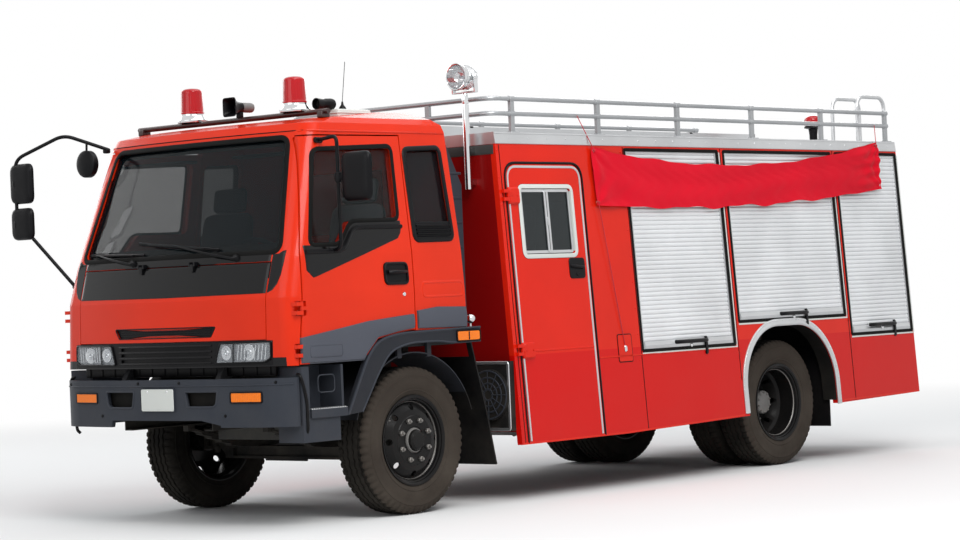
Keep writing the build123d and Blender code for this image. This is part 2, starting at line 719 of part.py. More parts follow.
@lru_cache(maxsize=None)
def roof_block(depth=0.0):
    """Solid under the cab's roof pressing, drawn in by a depth."""
    top = CAB_SECTIONS[-1]
    low = cab_top + seat_gap
    faces = [cab_outline(low + rise - depth, nose + draw, top[2], top[3], top[4], inset=draw + depth)
             for rise, nose, draw in ROOF_LAYERS]
    return loft(faces, ruled=True)


def cab_roof():
    """Crowned roof pressing over the whole cab, rising to the rear."""
    return roof_block() - roof_block(roof_skin)


door_flange = 25.0
door_step = 14.0


def cab_door():
    """Left door: an outer skin with a smaller inner body, its window, and its hinge straps."""
    rim = door_cutter() - door_cutter(-door_step)
    door = (cab_shell() & door_cutter()) - (cab_shell(door_flange, cab_wall + 1) & rim)
    door = door - slab_y(DOOR_WINDOW, 700, 1300, 45)
    for z in DOOR_HINGE_HEIGHTS:
        door = door - door_hinge_pocket(z) + hinge(door_hinge_x, door_hinge_y, z, sink=34)[1]
    return door


def door_glass():
    """Pane of the left door."""
    return cab_shell(26, 31) & slab_y(DOOR_WINDOW, 700, 1300, 45, seat_gap)


def dashboard():
    """Dashboard across the cab, with the steering column and wheel."""
    desk = slab_y(((3300, 1500), (3330, 1640), (3440, 1690), (3440, 1250), (3360, 1250)), -900, 900)
    column = rod((3330, 560, 1560), (3190, 560, 1700), 30)
    ring = Plane(origin=(3190, 560, 1700), z_dir=(-130, 0, 130)) * Torus(225, 15)
    spokes = [Plane(origin=(3190, 560, 1700), z_dir=(-130, 0, 130)) * Rot(0, 0, a) * Box(430, 40, 14)
              for a in (0, 90)]
    legs = [block(3370, 3430, y - 40, y + 40, cab_floor_top + seat_gap, 1260) for y in (-700, 0, 700)]
    return joined([desk, column, ring] + spokes + legs)


# Cab seats: y of the middle, half width
CAB_SEATS = ((640.0, 250.0), (-640.0, 250.0))


def cab_seats():
    """Driver's and commander's seats."""
    seats = []
    for y, half in CAB_SEATS:
        base = block(2480, 2900, y - half + 60, y + half - 60, cab_floor_top + seat_gap, 1430)
        cushion = slab_y(((2420, 1420), (2420, 1540), (2950, 1570), (2950, 1450)), y - half, y + half)
        back = slab_y(((2440, 1530), (2330, 2250), (2420, 2270), (2560, 1540)), y - half, y + half)
        seats.append(joined([base, cushion, back]))
    return apart(seats)


# Equipment on the cab roof
bar_x = 2965.0
bar_z = 2680.0
bar_half = 930.0
BEACONS = (620.0, -380.0)


def roof_bar():
    """Bar across the cab roof with two beacons and a horn speaker, and the case with the second speaker."""
    bar = block(bar_x - 25, bar_x + 25, -bar_half, bar_half, bar_z - 18, bar_z + 18)
    feet = [block(bar_x - 40, bar_x + 40, s * 880 - 25, s * 880 + 25, 2560, bar_z) for s in (-1, 1)]
    beacons = []
    for y in BEACONS:
        beacons.append(Pos(bar_x, y, bar_z + 42) * Cone(104, 82, 56))
        beacons.append(Pos(bar_x, y, 2825) * Cylinder(76, 160))
        beacons.append(Pos(bar_x, y, 2920) * Cone(76, 56, 30))
    horn = rod((bar_x - 120, 90, 2765), (bar_x - 10, 90, 2765), 34)
    bell = Pos(bar_x + 40, 90, 2765) * Rot(0, 90, 0) * Cone(34, 66, 110)
    foot = block(bar_x - 20, bar_x + 20, 70, 110, bar_z, 2760)
    case = block(bar_x - 545, bar_x - 225, 600, 800, 2560, bar_z + 30)
    speaker = rod((bar_x - 260, 720, 2745), (bar_x - 95, 720, 2745), 38)
    roof = Pos(0, 0, seat_gap) * roof_block()
    return apart([joined([bar, horn, bell, foot] + feet + beacons) - roof, joined([case, speaker]) - roof])


def air_intake():
    """Intake duct behind the cab's left corner."""
    points = ((cab_rear - seat_gap, 2500), (1800, 2485), (1650, 2200), (1650, 1350), (1750, 1300),
              (1760, 2150), (cab_rear - seat_gap, 2380))
    duct = slab_y(points, 780, 890)
    foot = block(1740, cab_rear - seat_gap, 800, 870, 1400, 1450)
    return duct + foot


# Mirrors
mirror_x = 3145.0
mirror_stand_off = 72.0
mirror_width = 260.0
mirror_tube = 13.0
mirror_tube_y = CAB_SECTIONS[2][3] + mirror_stand_off
mirror_inner = mirror_tube_y + 30.0
mirror_reach = mirror_inner + mirror_width


def mirror_head(x, y0, y1, z0, z1, side):
    """Housing of one mirror, rounded at its front edges."""
    return slab_x([(side * y, z) for y, z in ((y0, z0), (y1, z0), (y1, z1), (y0, z1))], x, x + 45, radius=28)


def mirror_left():
    """Left mirror on a tube carried by the door."""
    tube = bent_tube(((mirror_x, cab_half(2480) + 1, 2480), (mirror_x, mirror_tube_y, 2500),
                      (mirror_x, mirror_tube_y, 1775), (mirror_x, cab_half(1775) + 1, 1760)), mirror_tube, 40)
    head = mirror_head(mirror_x - 20, mirror_inner, mirror_reach, 2070, 2390, 1)
    clamp = block(mirror_x - 10, mirror_x + 10, mirror_tube_y - 10, mirror_inner + 15, 2200, 2260)
    return joined([tube, head, clamp]) - cab_block(-seat_gap)


def mirror_right():
    """Right mirrors on a frame ahead of the cab's corner."""
    x, y = x_nose - 25, mirror_reach - 60
    hoop = bent_tube(((3240, -940, 2545), (3500, -1110, 2655), (x, -y, 2500), (x, -y, 2080),
                      (3450, -1085, 1590)),
                     mirror_tube, 45)
    heads = [mirror_head(x - 22, mirror_reach - width, mirror_reach, low, high, -1)
             for width, low, high in ((mirror_width - 25, 2190, 2470), (mirror_width - 35, 1940, 2165))]
    stay = rod((3370, -1025, 2600), (3370, -1040, 2470), 10)
    bowl = Pos(3355, -1040, 2450) * Rot(0, 90, 0) * Cylinder(95, 40)
    joint = rod((x, -y, 2090), (x, -y, 1990), mirror_tube)
    body = joined([hoop, stay, bowl, joint] + heads)
    return body - cab_block(-seat_gap) - Pos(0, 0, seat_gap) * roof_block()


# Cab wheel arches and entry steps, carried by the frame
guard_radius = 580.0


def cab_flares():
    """Left arch moulding with the guard over the tyre and its arm to the frame."""
    moulding = slab_y(FLARE_OUTER + FLARE_INNER, flare_inner_y, flare_outer_y)
    ring = turned(((guard_radius, 640), (guard_radius + 8, 640), (guard_radius + 8, flare_inner_y + 1),
                   (guard_radius, flare_inner_y + 1)), x_front, z_axle)
    sector = block(x_front - 640, x_front + 620, 600, 1200, 660, 1100)
    guard = ring & sector
    posts = [block(x - 20, x + 20, flare_inner_y - 20, flare_inner_y + 2, 1040, 1150) for x in (2270, 2560)]
    foot = frame_half + seat_gap
    riser = block(2165, 2215, foot, foot + 30, 780, 1045)
    arm = block(2165, 2215, foot, 662, 1000, 1045)
    splash = slab_y(SPLASH_GUARD, splash_inner_y, flare_outer_y - 6)
    splash = splash - block(1600, 2000, 600, flare_inner_y - 2, 1020, 1200)
    return joined([moulding, guard, arm, riser, splash] + posts)


def cab_steps():
    """Left step well below the door, with its tread and its arm to the frame."""
    shell = block(3132, 3505, 900, 1126, 547, 1030)
    well = block(3152, 3440, 930, 1200, 755, 1031)
    tread = block(3112, 3441, 1080, 1141, 700, 755)
    low_cut = block(3100, 3172, 880, 1200, 540, 699)
    arm = block(3250, 3310, frame_half + seat_gap, 910, 700, 760)
    return joined([shell - well - low_cut, tread, arm])


def right_step_cut():
    """The right well ends level with the bumper."""
    return block(3090, 3520, -1210, -870, 530, bumper_low + 5)


# Body on the frame
def body_skin(outer, inner, x0=body_rear, x1=body_front, low=skirt_front_z, high=side_top):
    """Layer of the leaning left side between two depths."""
    return slab_x(((body_half(low) - outer, low), (body_half(high) - outer, high),
                   (body_half(high) - inner, high), (body_half(low) - inner, low)), x0, x1)


def crew_door_zone(grow=0.0):
    """Outline of the crew door with rounded top corners."""
    points = ((crew_door_front + grow, skirt_front_z - 20), (crew_door_front + grow, crew_door_top + grow),
              (crew_door_rear - grow, crew_door_top + grow), (crew_door_rear - grow, skirt_front_z - 20))
    top = slab_y(points, 900, 1300, radius=110)
    low = block(crew_door_rear - grow, crew_door_front + grow, 900, 1300, skirt_front_z - 20, 1500)
    return top + low


def crew_window_zone(shrink=0.0):
    """Opening of the crew door's window."""
    x0, x1, z0, z1 = crew_window
    return slab_y(((x0, z0), (x1, z0), (x1, z1), (x0, z1)), 900, 1300, 55, shrink)


crew_hinge_x = crew_door_front + door_gap
crew_hinge_off = 16.0
CREW_HINGE_HEIGHTS = (1042.0, 2118.0)
side_lean = (body_half_high - body_half_low) / (side_top - skirt_front_z)


def crew_hinge(z):
    """One crew door hinge along the leaning side."""
    return hinge(crew_hinge_x, body_half(z) + crew_hinge_off, z, lean=side_lean, sink=12)


def body_sides():
    """Both sides of the body with their openings and the crew door hinge lugs."""
    skirt = slab_y(((body_front, skirt_front_z), (body_front, side_top), (body_rear, side_top),
                    (body_rear, skirt_rear_z), (300, skirt_front_z)), 900, 1300)
    side = (body_skin(0, side_wall) & skirt) - crew_door_zone(door_gap) - arch_zone()
    for rear, front, low, high in SHUTTERS:
        side = side - block(rear, front, 900, 1300, low, high)
    side = joined([side] + [crew_hinge(z)[0] for z in CREW_HINGE_HEIGHTS])
    return both_sides(side)


def crew_door():
    """Left crew door with its window opening and hinge straps."""
    door = (body_skin(0, side_wall) & crew_door_zone()) - crew_window_zone()
    return joined([door] + [crew_hinge(z)[1] for z in CREW_HINGE_HEIGHTS])


def crew_glass():
    """Sliding panes of the crew door in one frame."""
    return body_skin(18, 24) & crew_window_zone(seat_gap)


def body_bulkheads():
    """Walls across the body, each notched over the frame, and the rear wall with its opening."""
    walls = []
    for x in WALLS_ACROSS:
        half_low = body_half(480) - side_wall - seat_gap
        half_high = body_half(side_top) - side_wall - seat_gap
        wall = slab_x(((half_low, 480), (half_high, side_top), (-half_high, side_top), (-half_low, 480)),
                      x, x + bulkhead)
        if x == body_rear:
            wall = wall - block(x - 1, x + bulkhead + 1, -700, 700, locker_floor, 2351)
            wall = wall - block(x - 1, x + bulkhead + 1, -130, 130, 400, 760)
        else:
            wall = wall - block(x - 1, x + bulkhead + 1, -450, 450, 400, 870)
        walls.append(wall)
    return apart(walls)


# Floors: rear x, front x, top z
FLOORS = (
    (WALLS_ACROSS[1] + bulkhead, WALLS_ACROSS[0], locker_floor),
    (WALLS_ACROSS[2] + bulkhead, WALLS_ACROSS[1], locker_floor),
    (WALLS_ACROSS[3] + bulkhead, WALLS_ACROSS[2], wheel_floor),
    (WALLS_ACROSS[4] + bulkhead, WALLS_ACROSS[3], locker_floor),
)


def body_floor():
    """Floors between the walls on bearers along the frame, with the crew's steps."""
    parts = []
    for index, (rear, front, top) in enumerate(FLOORS):
        rear, front = rear + seat_gap, front - seat_gap
        half = body_half(top) - side_wall - (door_gap if index == 0 else seat_gap)
        shapes = [block(rear, front, -half, half, top - floor_thick, top)]
        for s in (-1, 1):
            shapes.append(block(rear, front, s * (frame_half - 70), s * frame_half, frame_top + seat_gap,
                                top - floor_thick + 1))
        if index == 0:
            shapes += crew_steps(top)
        parts.append(joined(shapes))
    return apart(parts)


def crew_steps(top):
    """Two treads with their cheeks inside each crew doorway."""
    shapes = []
    for s in (-1, 1):
        for x in (crew_door_rear + 12, crew_door_front - 22):
            shapes.append(block(x, x + 10, s * 820, s * 1085, 450, top - 39))
        shapes.append(block(crew_door_rear + 12, crew_door_front - 12, s * 820, s * 830, 450, top - 39))
        for z, reach in ((450, 1085), (680, 1020)):
            shapes.append(block(crew_door_rear + 12, crew_door_front - 12, s * 820, s * reach, z, z + 12))
    return shapes


def body_roof():
    """Roof panel with its deep edge moulding."""
    low, high = side_top + seat_gap, side_top + roof_moulding
    outer = slab_x(((body_half_high + 4, low), (body_half_high - 8, high), (8 - body_half_high, high),
                    (-body_half_high - 4, low)), body_rear, body_front)
    half = body_half_high - side_wall
    return outer - block(body_rear + bulkhead, body_front - bulkhead, -half, half, low - 1, high - roof_panel)


def curtain(low, high):
    """Cross section of a slatted curtain, as pairs of depth and height."""
    points = [(0.0, low)]
    z = low + slat_pitch
    while z < high - 20:
        points += [(0.0, z - 5), (slat_depth, z), (0.0, z + 5)]
        z += slat_pitch
    points += [(0.0, high), (shutter_thick, high), (shutter_thick, low)]
    return points


shutter_inset = 8.0


def roller_shutters():
    """Closed slatted shutters of the lockers, left and right, and the one across the rear."""
    curtains = []
    for rear, front, low, high in SHUTTERS:
        outline = curtain(low + seat_gap, high - seat_gap)
        left = slab_x([(body_half(z) - shutter_inset - depth, z) for depth, z in outline],
                      rear + seat_gap, front - seat_gap)
        curtains += [left, mirror(left, about=Plane.XZ)]
    outline = curtain(locker_floor + seat_gap, 2351 - seat_gap)
    curtains.append(slab_y([(body_rear + shutter_inset + depth, z) for depth, z in outline],
                           -700 + seat_gap, 700 - seat_gap))
    return apart(curtains)


def arch_trims():
    """Metal trim round each rear wheel opening."""
    band = arch_zone(arch_trim) - arch_zone()
    keep = block(body_rear, body_front, 900, 1300, 440, 2000)
    return both_sides(body_skin(-6, -seat_gap) & band & keep)


def crew_seat():
    """Bench for the crew against the partition."""
    rear = partition_x + seat_gap
    base = block(rear, rear + 430, -820, 820, locker_floor + seat_gap, 1340)
    cushion = block(rear, rear + 500, -850, 850, 1330, 1440)
    back = slab_y(((rear, 1430), (rear, 2100), (rear + 90, 2100), (rear + 150, 1430)), -850, 850)
    return joined([base, cushion, back])


def water_tank():
    """Plain block of the water tank behind the partition."""
    return block(WALLS_ACROSS[2] + 82, WALLS_ACROSS[1] - 70, -420, 420, locker_floor + seat_gap, 1980)


# Roof rails
rail_y = body_half_high - 75.0
rail_rear_x = body_rear + 25.0
rail_front_x = body_front - 52.0
RAIL_HEIGHTS = (2800.0, 2695.0)
post_pitch = 960.0
RAIL_POSTS = [rail_front_x - 225.0 - index * post_pitch for index in range(5)] + [rail_rear_x + 10.0]


def roof_rails():
    """Two-tube guard rail round the body roof, open at the rear."""
    shapes = []
    for z in RAIL_HEIGHTS:
        shapes.append(bent_tube(((rail_rear_x, rail_y, z), (rail_front_x, rail_y, z),
                                 (rail_front_x, -rail_y, z), (rail_rear_x, -rail_y, z)), 17, 90))
    for x in RAIL_POSTS:
        for s in (-1, 1):
            shapes.append(block(x - 20, x + 20, s * rail_y - 12, s * rail_y + 12,
                                side_top + roof_moulding + seat_gap, RAIL_HEIGHTS[0]))
    for y in (-400, 400):
        shapes.append(block(rail_front_x - 12, rail_front_x + 12, y - 20, y + 20,
                            side_top + roof_moulding + seat_gap, RAIL_HEIGHTS[0]))
    return joined(shapes)


# Rear ladder, between y of its rails
LADDER_RAILS = (670.0, 915.0)
ladder_x = body_rear - 70.0
ladder_top = 2940.0
hoop_x = body_rear + 335.0


def rear_ladder():
    """Ladder up the rear wall with hoops over the roof edge."""
    roof = side_top + roof_moulding + seat_gap
    shapes = []
    for y in LADDER_RAILS:
        shapes.append(bent_tube(((ladder_x, y, 620), (ladder_x, y, ladder_top), (hoop_x, y, ladder_top),
                                 (hoop_x, y, roof)), 16, 90))
        for z in (760, 1500, 2250):
            shapes.append(block(ladder_x, body_rear - seat_gap, y - 15, y + 15, z, z + 30))
    for z in range(700, 2500, 300):
        shapes.append(rod((ladder_x, LADDER_RAILS[0], z), (ladder_x, LADDER_RAILS[1], z), 13))
    return joined(shapes)


roof_ladder_front = 900.0
rung_pitch = 300.0


def roof_ladder():
    """Portable ladder lying on the body roof."""
    roof = side_top + roof_moulding + seat_gap
    rear = body_rear + 325
    rails = [block(rear, roof_ladder_front, y - 18, y + 18, roof + 60, roof + 140) for y in (-560, -160)]
    count = int((roof_ladder_front - rear - 100) // rung_pitch) + 1
    rungs = [rod((x, -560, roof + 100), (x, -160, roof + 100), 16)
             for x in (rear + 150 + index * rung_pitch for index in range(count))]
    rests = [block(x - 25, x + 25, -600, -120, roof, roof + 62)
             for x in (rear + 400, roof_ladder_front - 2000, roof_ladder_front - 300)]
    return joined(rails + rungs + rests)


# Search lamp on its pole
lamp_x = body_front + 63.0
lamp_y = body_half_high - 200.0
lamp_z = 2950.0


def lamp_pole():
    """Fixed tube on the body's front wall, with the spigot of the lamp on top."""
    tube = rod((lamp_x, lamp_y, 2170), (lamp_x, lamp_y, 2760), 24)
    spigot = rod((lamp_x, lamp_y, 2750), (lamp_x, lamp_y, 2830), 12)
    arms = [block(body_front + seat_gap, lamp_x, lamp_y - 20, lamp_y + 20, z, z + 40) for z in (2200, 2420)]
    return joined([tube, spigot] + arms)


def search_lamp():
    """Drum-shaped lamp in its fork, turning on the spigot."""
    socket = rod((lamp_x, lamp_y, 2765), (lamp_x, lamp_y, 2850), 24) - rod(
        (lamp_x, lamp_y, 2750), (lamp_x, lamp_y, 2835), 12 + running_gap)
    base = block(lamp_x - 20, lamp_x + 20, lamp_y - 108, lamp_y + 108, 2838, 2850)
    cheeks = [block(lamp_x - 20, lamp_x + 20, lamp_y + s * 102 - 6, lamp_y + s * 102 + 6, 2838, 2970)
              for s in (-1, 1)]
    drum = rod((lamp_x - 80, lamp_y, lamp_z), (lamp_x + 75, lamp_y, lamp_z), 88)
    rim = rod((lamp_x + 70, lamp_y, lamp_z), (lamp_x + 92, lamp_y, lamp_z), 96)
    pivots = rod((lamp_x, lamp_y - 104, lamp_z), (lamp_x, lamp_y + 104, lamp_z), 10)
    return joined([socket, base, drum, rim, pivots] + cheeks)


def siren_box():
    """Box with a round speaker on the front wall below the floor."""
    box = block(body_front + seat_gap, 1528, 780, 1150, 490, 970)
    dome = rod((1520, 970, 740), (1552, 970, 740), 178)
    return box + dome


def mudflaps():
    """Flaps behind the rear wheels, hung from the floor bearers."""
    left = block(x_rear - 635, x_rear - 625, 470, 1100, 260, wheel_floor - floor_thick - seat_gap)
    return both_sides(left)


def rear_step():
    """Tread plate behind the body with the under-run bar and its arms to the frame."""
    tread = block(x_tail, body_rear - seat_gap, -1000, 1000, 490, 530)
    return tread - block(x_tail - 1, body_rear, -140, 140, 480, 540)


tow_pin_radius = 20.0


def tow_jaw():
    """Towing jaw at the frame's end, with the bore for its pin."""
    jaw = block(x_tail, frame_rear - seat_gap, -60, 60, 640, 720)
    mouth = block(x_tail - 1, x_tail + 80, -80, 80, 660, 700)
    plate = block(frame_rear - seat_gap - 14, frame_rear - seat_gap, -frame_half, frame_half, 640, 850)
    bore = Pos(x_tail + 40, 0, 680) * Cylinder(tow_pin_radius, 120)
    return joined([jaw, plate]) - mouth - bore



def road_lamps():
    """Turn lamps, side lamps, tail lamps and the rear beacon."""
    skin = bumper_block() - bumper_block(turn_lamp_depth - seat_gap)
    turn = skin & turn_lamp_zone(1, seat_gap)
    side = block(1808, 2040, flare_outer_y + seat_gap, flare_outer_y + 11, 1131, 1199)
    tail = block(body_rear - 20, body_rear - seat_gap, 960, 1090, 620, 860)
    pairs = [shape for lamp in (turn, side, tail) for shape in (lamp, mirror(lamp, about=Plane.XZ))]
    roof = side_top + roof_moulding + seat_gap
    x = body_rear + 200
    beacon = Pos(x, 380, (roof + 2750) / 2) * Cylinder(40, 2750 - roof) + Pos(x, 380, 2785) * Cylinder(78, 90)
    return apart(pairs + [beacon])


# Banner outline as x, z corners, its top edge sagging between the ties
BANNER = ((450.0, 2465.0), (-100.0, 2405.0), (-700.0, 2368.0), (-1326.0, 2355.0), (-2100.0, 2402.0),
          (-2800.0, 2482.0), (-3298.0, 2556.0), (-3331.0, 2162.0), (-2500.0, 2062.0), (-1700.0, 2022.0),
          (-1101.0, 2012.0), (-400.0, 2012.0), (450.0, 2038.0))
banner_thick = 3.0


def banner():
    """Plain cloth over the left side's shutters and the roof's edge above them."""
    edge, top = side_top + seat_gap, side_top + roof_moulding
    inner = [(body_half(1900), 1900), (body_half(edge - 6), edge - 6), (body_half_high + 4, edge),
             (body_half_high - 8, top)]
    near = [(y + seat_gap, z) for y, z in inner]
    far = [(y + seat_gap + banner_thick, z) for y, z in reversed(inner)]
    return slab_x(near + far, body_rear, body_front) & slab_y(BANNER, 900, 1300)


def mirrored(shape):
    """A shape across the middle of the vehicle."""
    return mirror(shape, about=Plane.XZ)


# Every piece by its file name
PIECES = {
    "chassis_frame": chassis_frame,
    "front_axle": front_axle,
    "rear_axle": rear_axle,
    "powertrain": powertrain,
    "chassis_tanks": chassis_tanks,
    "front_bumper": front_bumper,
    "cab_flares": lambda: both_sides(cab_flares()),
    "cab_steps": lambda: both_sides(cab_steps()) - right_step_cut(),
    "road_lamps": road_lamps,
    "tow_jaw": tow_jaw,
    "rear_step": rear_step,
    "mudflaps": mudflaps,
    "body_floor": body_floor,
    "body_sides": body_sides,
    "body_bulkheads": body_bulkheads,
    "body_roof": body_roof,
    "roller_shutters": roller_shutters,
    "arch_trims": arch_trims,
    "water_tank": water_tank,
    "crew_seat": crew_seat,
    "roof_rails": roof_rails,
    "rear_ladder": rear_ladder,
    "roof_ladder": roof_ladder,
    "lamp_pole": lamp_pole,
    "search_lamp": search_lamp,
    "siren_box": siren_box,
    "banner": banner,
    "cab_floor": cab_floor,
    "cab_front": cab_front,
    "cab_sides": cab_sides,
    "cab_back": cab_back,
    "cab_roof": cab_roof,
    "cab_glass": cab_glass,
    "front_lid": front_lid,
    "grille": grille,
    "headlamps": headlamps,
    "dashboard": dashboard,
    "cab_seats": cab_seats,
    "roof_bar": roof_bar,
    "air_intake": air_intake,
    "mirror_left": mirror_left,
    "mirror_right": mirror_right,
}

# Pieces made for the left and mirrored to the right
PAIRS = {
    "cab_door": cab_door,
    "door_glass": door_glass,
    "crew_door": crew_door,
    "crew_glass": crew_glass,
    "knuckle": knuckle,
    "front_rim": front_rim,
    "front_tyre": lambda: tyre(front_track_outer / 2 - tyre_width / 2, x_front),
    "rear_rims": rear_rims,
    "rear_tyres": rear_tyres,
}


def main():
    """Write every piece to its own file."""
    os.makedirs("parts", exist_ok=True)
    centred = Pos(middle_shift, 0, 0)
    for name, make in PIECES.items():
        export_step(centred * make(), f"parts/{name}.step")
    for name, make in PAIRS.items():
        left = centred * make()
        export_step(left, f"parts/{name}_left.step")
        export_step(mirrored(left), f"parts/{name}_right.step")


main()
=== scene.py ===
"""Looks of a fire engine: paint, glass, tyres, trim, lamps, seats and the cloth along its side.

Metres. X points forward, Y to the vehicle's left, Z up, with the origin on the ground at mid length.
"""

import logging
import math
from dataclasses import dataclass, replace
from enum import Enum
from typing import Callable, Sequence

import bmesh
import bpy
import numpy as np
from mathutils import Matrix, Vector

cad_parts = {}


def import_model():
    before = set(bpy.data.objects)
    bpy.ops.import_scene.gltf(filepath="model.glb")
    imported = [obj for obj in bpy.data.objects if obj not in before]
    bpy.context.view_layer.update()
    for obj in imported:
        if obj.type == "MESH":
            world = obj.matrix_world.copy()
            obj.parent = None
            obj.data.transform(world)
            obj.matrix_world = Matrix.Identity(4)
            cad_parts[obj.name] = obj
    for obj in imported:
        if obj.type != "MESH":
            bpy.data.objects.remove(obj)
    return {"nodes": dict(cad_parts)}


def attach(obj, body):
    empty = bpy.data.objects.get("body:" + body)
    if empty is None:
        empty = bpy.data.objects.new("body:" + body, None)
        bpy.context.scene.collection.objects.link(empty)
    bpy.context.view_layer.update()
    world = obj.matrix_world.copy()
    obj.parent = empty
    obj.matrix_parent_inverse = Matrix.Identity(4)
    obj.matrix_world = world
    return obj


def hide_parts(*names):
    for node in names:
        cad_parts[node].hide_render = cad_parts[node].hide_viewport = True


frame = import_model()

LOG = logging.getLogger("fire_engine")
Array = np.ndarray
Reals = Array | float
Place = Callable[[Reals, Reals, Reals], Array]
Thing = bpy.types.Object
Spot = Sequence[float]
Pairs = Sequence[Sequence[float]]
Line = Array | Pairs
Feeds = dict[str | int, object]


class Side(Enum):
    """The two sides of the vehicle, with the sign of Y."""

    LEFT = 1.0
    RIGHT = -1.0

    @property
    def word(self) -> str:
        """Name used in piece and body names."""
        return self.name.lower()


class Build(Enum):
    """What a finish is made of, which picks its shader."""

    PAINT = "paint"
    PLASTIC = "plastic"
    METAL = "metal"
    RUBBER = "rubber"
    GLASS = "glass"
    CLOTH = "cloth"


@dataclass(frozen=True)
class Finish:
    """One finish: its shader, colour and the amounts of its surface effects."""

    name: str
    build: Build
    color: tuple[float, float, float]
    roughness: float
    dust: float = 0.25
    grain: float = 0.15
    grain_scale: float = 60.0
    metallic: float = 0.0
    coat: float = 0.0
    alpha: float = 1.0
    slot: str = ""
    specular: float = 0.4
    bands: tuple[tuple[float, ...], ...] = ()


class Wiring:
    """A node tree, with short ways to place nodes and feed their sockets."""

    def __init__(self, tree: bpy.types.NodeTree) -> None:
        """Keep the tree."""
        self.tree = tree

    def feed(self, node: bpy.types.Node, sockets: Feeds) -> bpy.types.Node:
        """Set each input of a node to a value, or link it to another node's output.

        Args:
            node: The node.
            sockets: Value or output by the input's name or number.

        Returns:
            The same node.
        """
        for label, value in sockets.items():
            if isinstance(value, bpy.types.NodeSocket):
                self.tree.links.new(value, node.inputs[label])
            else:
                node.inputs[label].default_value = value
        return node

    def add(self, kind: str, sockets: Feeds | None = None, **settings: object) -> bpy.types.Node:
        """Place a node.

        Args:
            kind: Its type, without the word ShaderNode.
            sockets: What feeds its inputs.
            **settings: The node's own settings.

        Returns:
            The node.
        """
        node = self.tree.nodes.new(f"ShaderNode{kind}")
        for label, value in settings.items():
            setattr(node, label, value)
        return self.feed(node, sockets or {})

    def group(self, tree: bpy.types.NodeTree, **sockets: object) -> bpy.types.Node:
        """Place a shared group; underscores stand for the spaces in its sockets' names."""
        return self.add("Group", {k.replace("_", " "): v for k, v in sockets.items()}, node_tree=tree)

    def math(self, operation: str, *feeds: object, clamp: bool = False) -> bpy.types.NodeSocket:
        """Result of a sum on one or two values."""
        return self.add("Math", dict(enumerate(feeds)), operation=operation, use_clamp=clamp).outputs[0]

    def place(self) -> bpy.types.NodeSocket:
        """Object coordinates."""
        return self.add("TexCoord").outputs["Object"]

    def noise(self, scale: object, **more: float) -> bpy.types.NodeSocket:
        """Noise on Object coordinates, with more of its inputs by name."""
        feeds = {"Vector": self.place(), "Scale": scale, **{k.title(): v for k, v in more.items()}}
        return self.add("TexNoise", feeds).outputs["Fac"]

    def spread(self, value: object, *ends: object) -> bpy.types.NodeSocket:
        """Value read between From Min and From Max as To Min to To Max."""
        labels = ("From Min", "From Max", "To Min", "To Max")
        return self.add("MapRange", {"Value": value, **dict(zip(labels, ends))}).outputs["Result"]

    def mix(self, share: object, first: object, second: object, blend: str = "MIX") -> bpy.types.NodeSocket:
        """Colour between two colours."""
        feeds = {"Factor": share, 6: first, 7: second}
        return self.add("Mix", feeds, data_type="RGBA", blend_type=blend).outputs[2]


def shared_group(name: str, inputs: dict[str, object], outputs: Sequence[str]) -> tuple[Wiring, object,
        Feeds]:
    """Make an empty node group.

    Args:
        name: Name of the group.
        inputs: Default of each input: four numbers make a colour, one a plain value.
        outputs: Names of the outputs; Color is a colour.

    Returns:
        The group's wiring, the outputs of its input node, and its output node.
    """
    tree = bpy.data.node_groups.new(name, "ShaderNodeTree")
    kinds = {True: "NodeSocketColor", False: "NodeSocketFloat"}
    for label, value in inputs.items():
        kind = kinds[isinstance(value, tuple)]
        tree.interface.new_socket(label, in_out="INPUT", socket_type=kind).default_value = value
    for label in outputs:
        tree.interface.new_socket(label, in_out="OUTPUT", socket_type=kinds[label == "Color"])
    return Wiring(tree), tree.nodes.new("NodeGroupInput").outputs, tree.nodes.new("NodeGroupOutput")


MID_GREY = (0.5, 0.5, 0.5, 1.0)


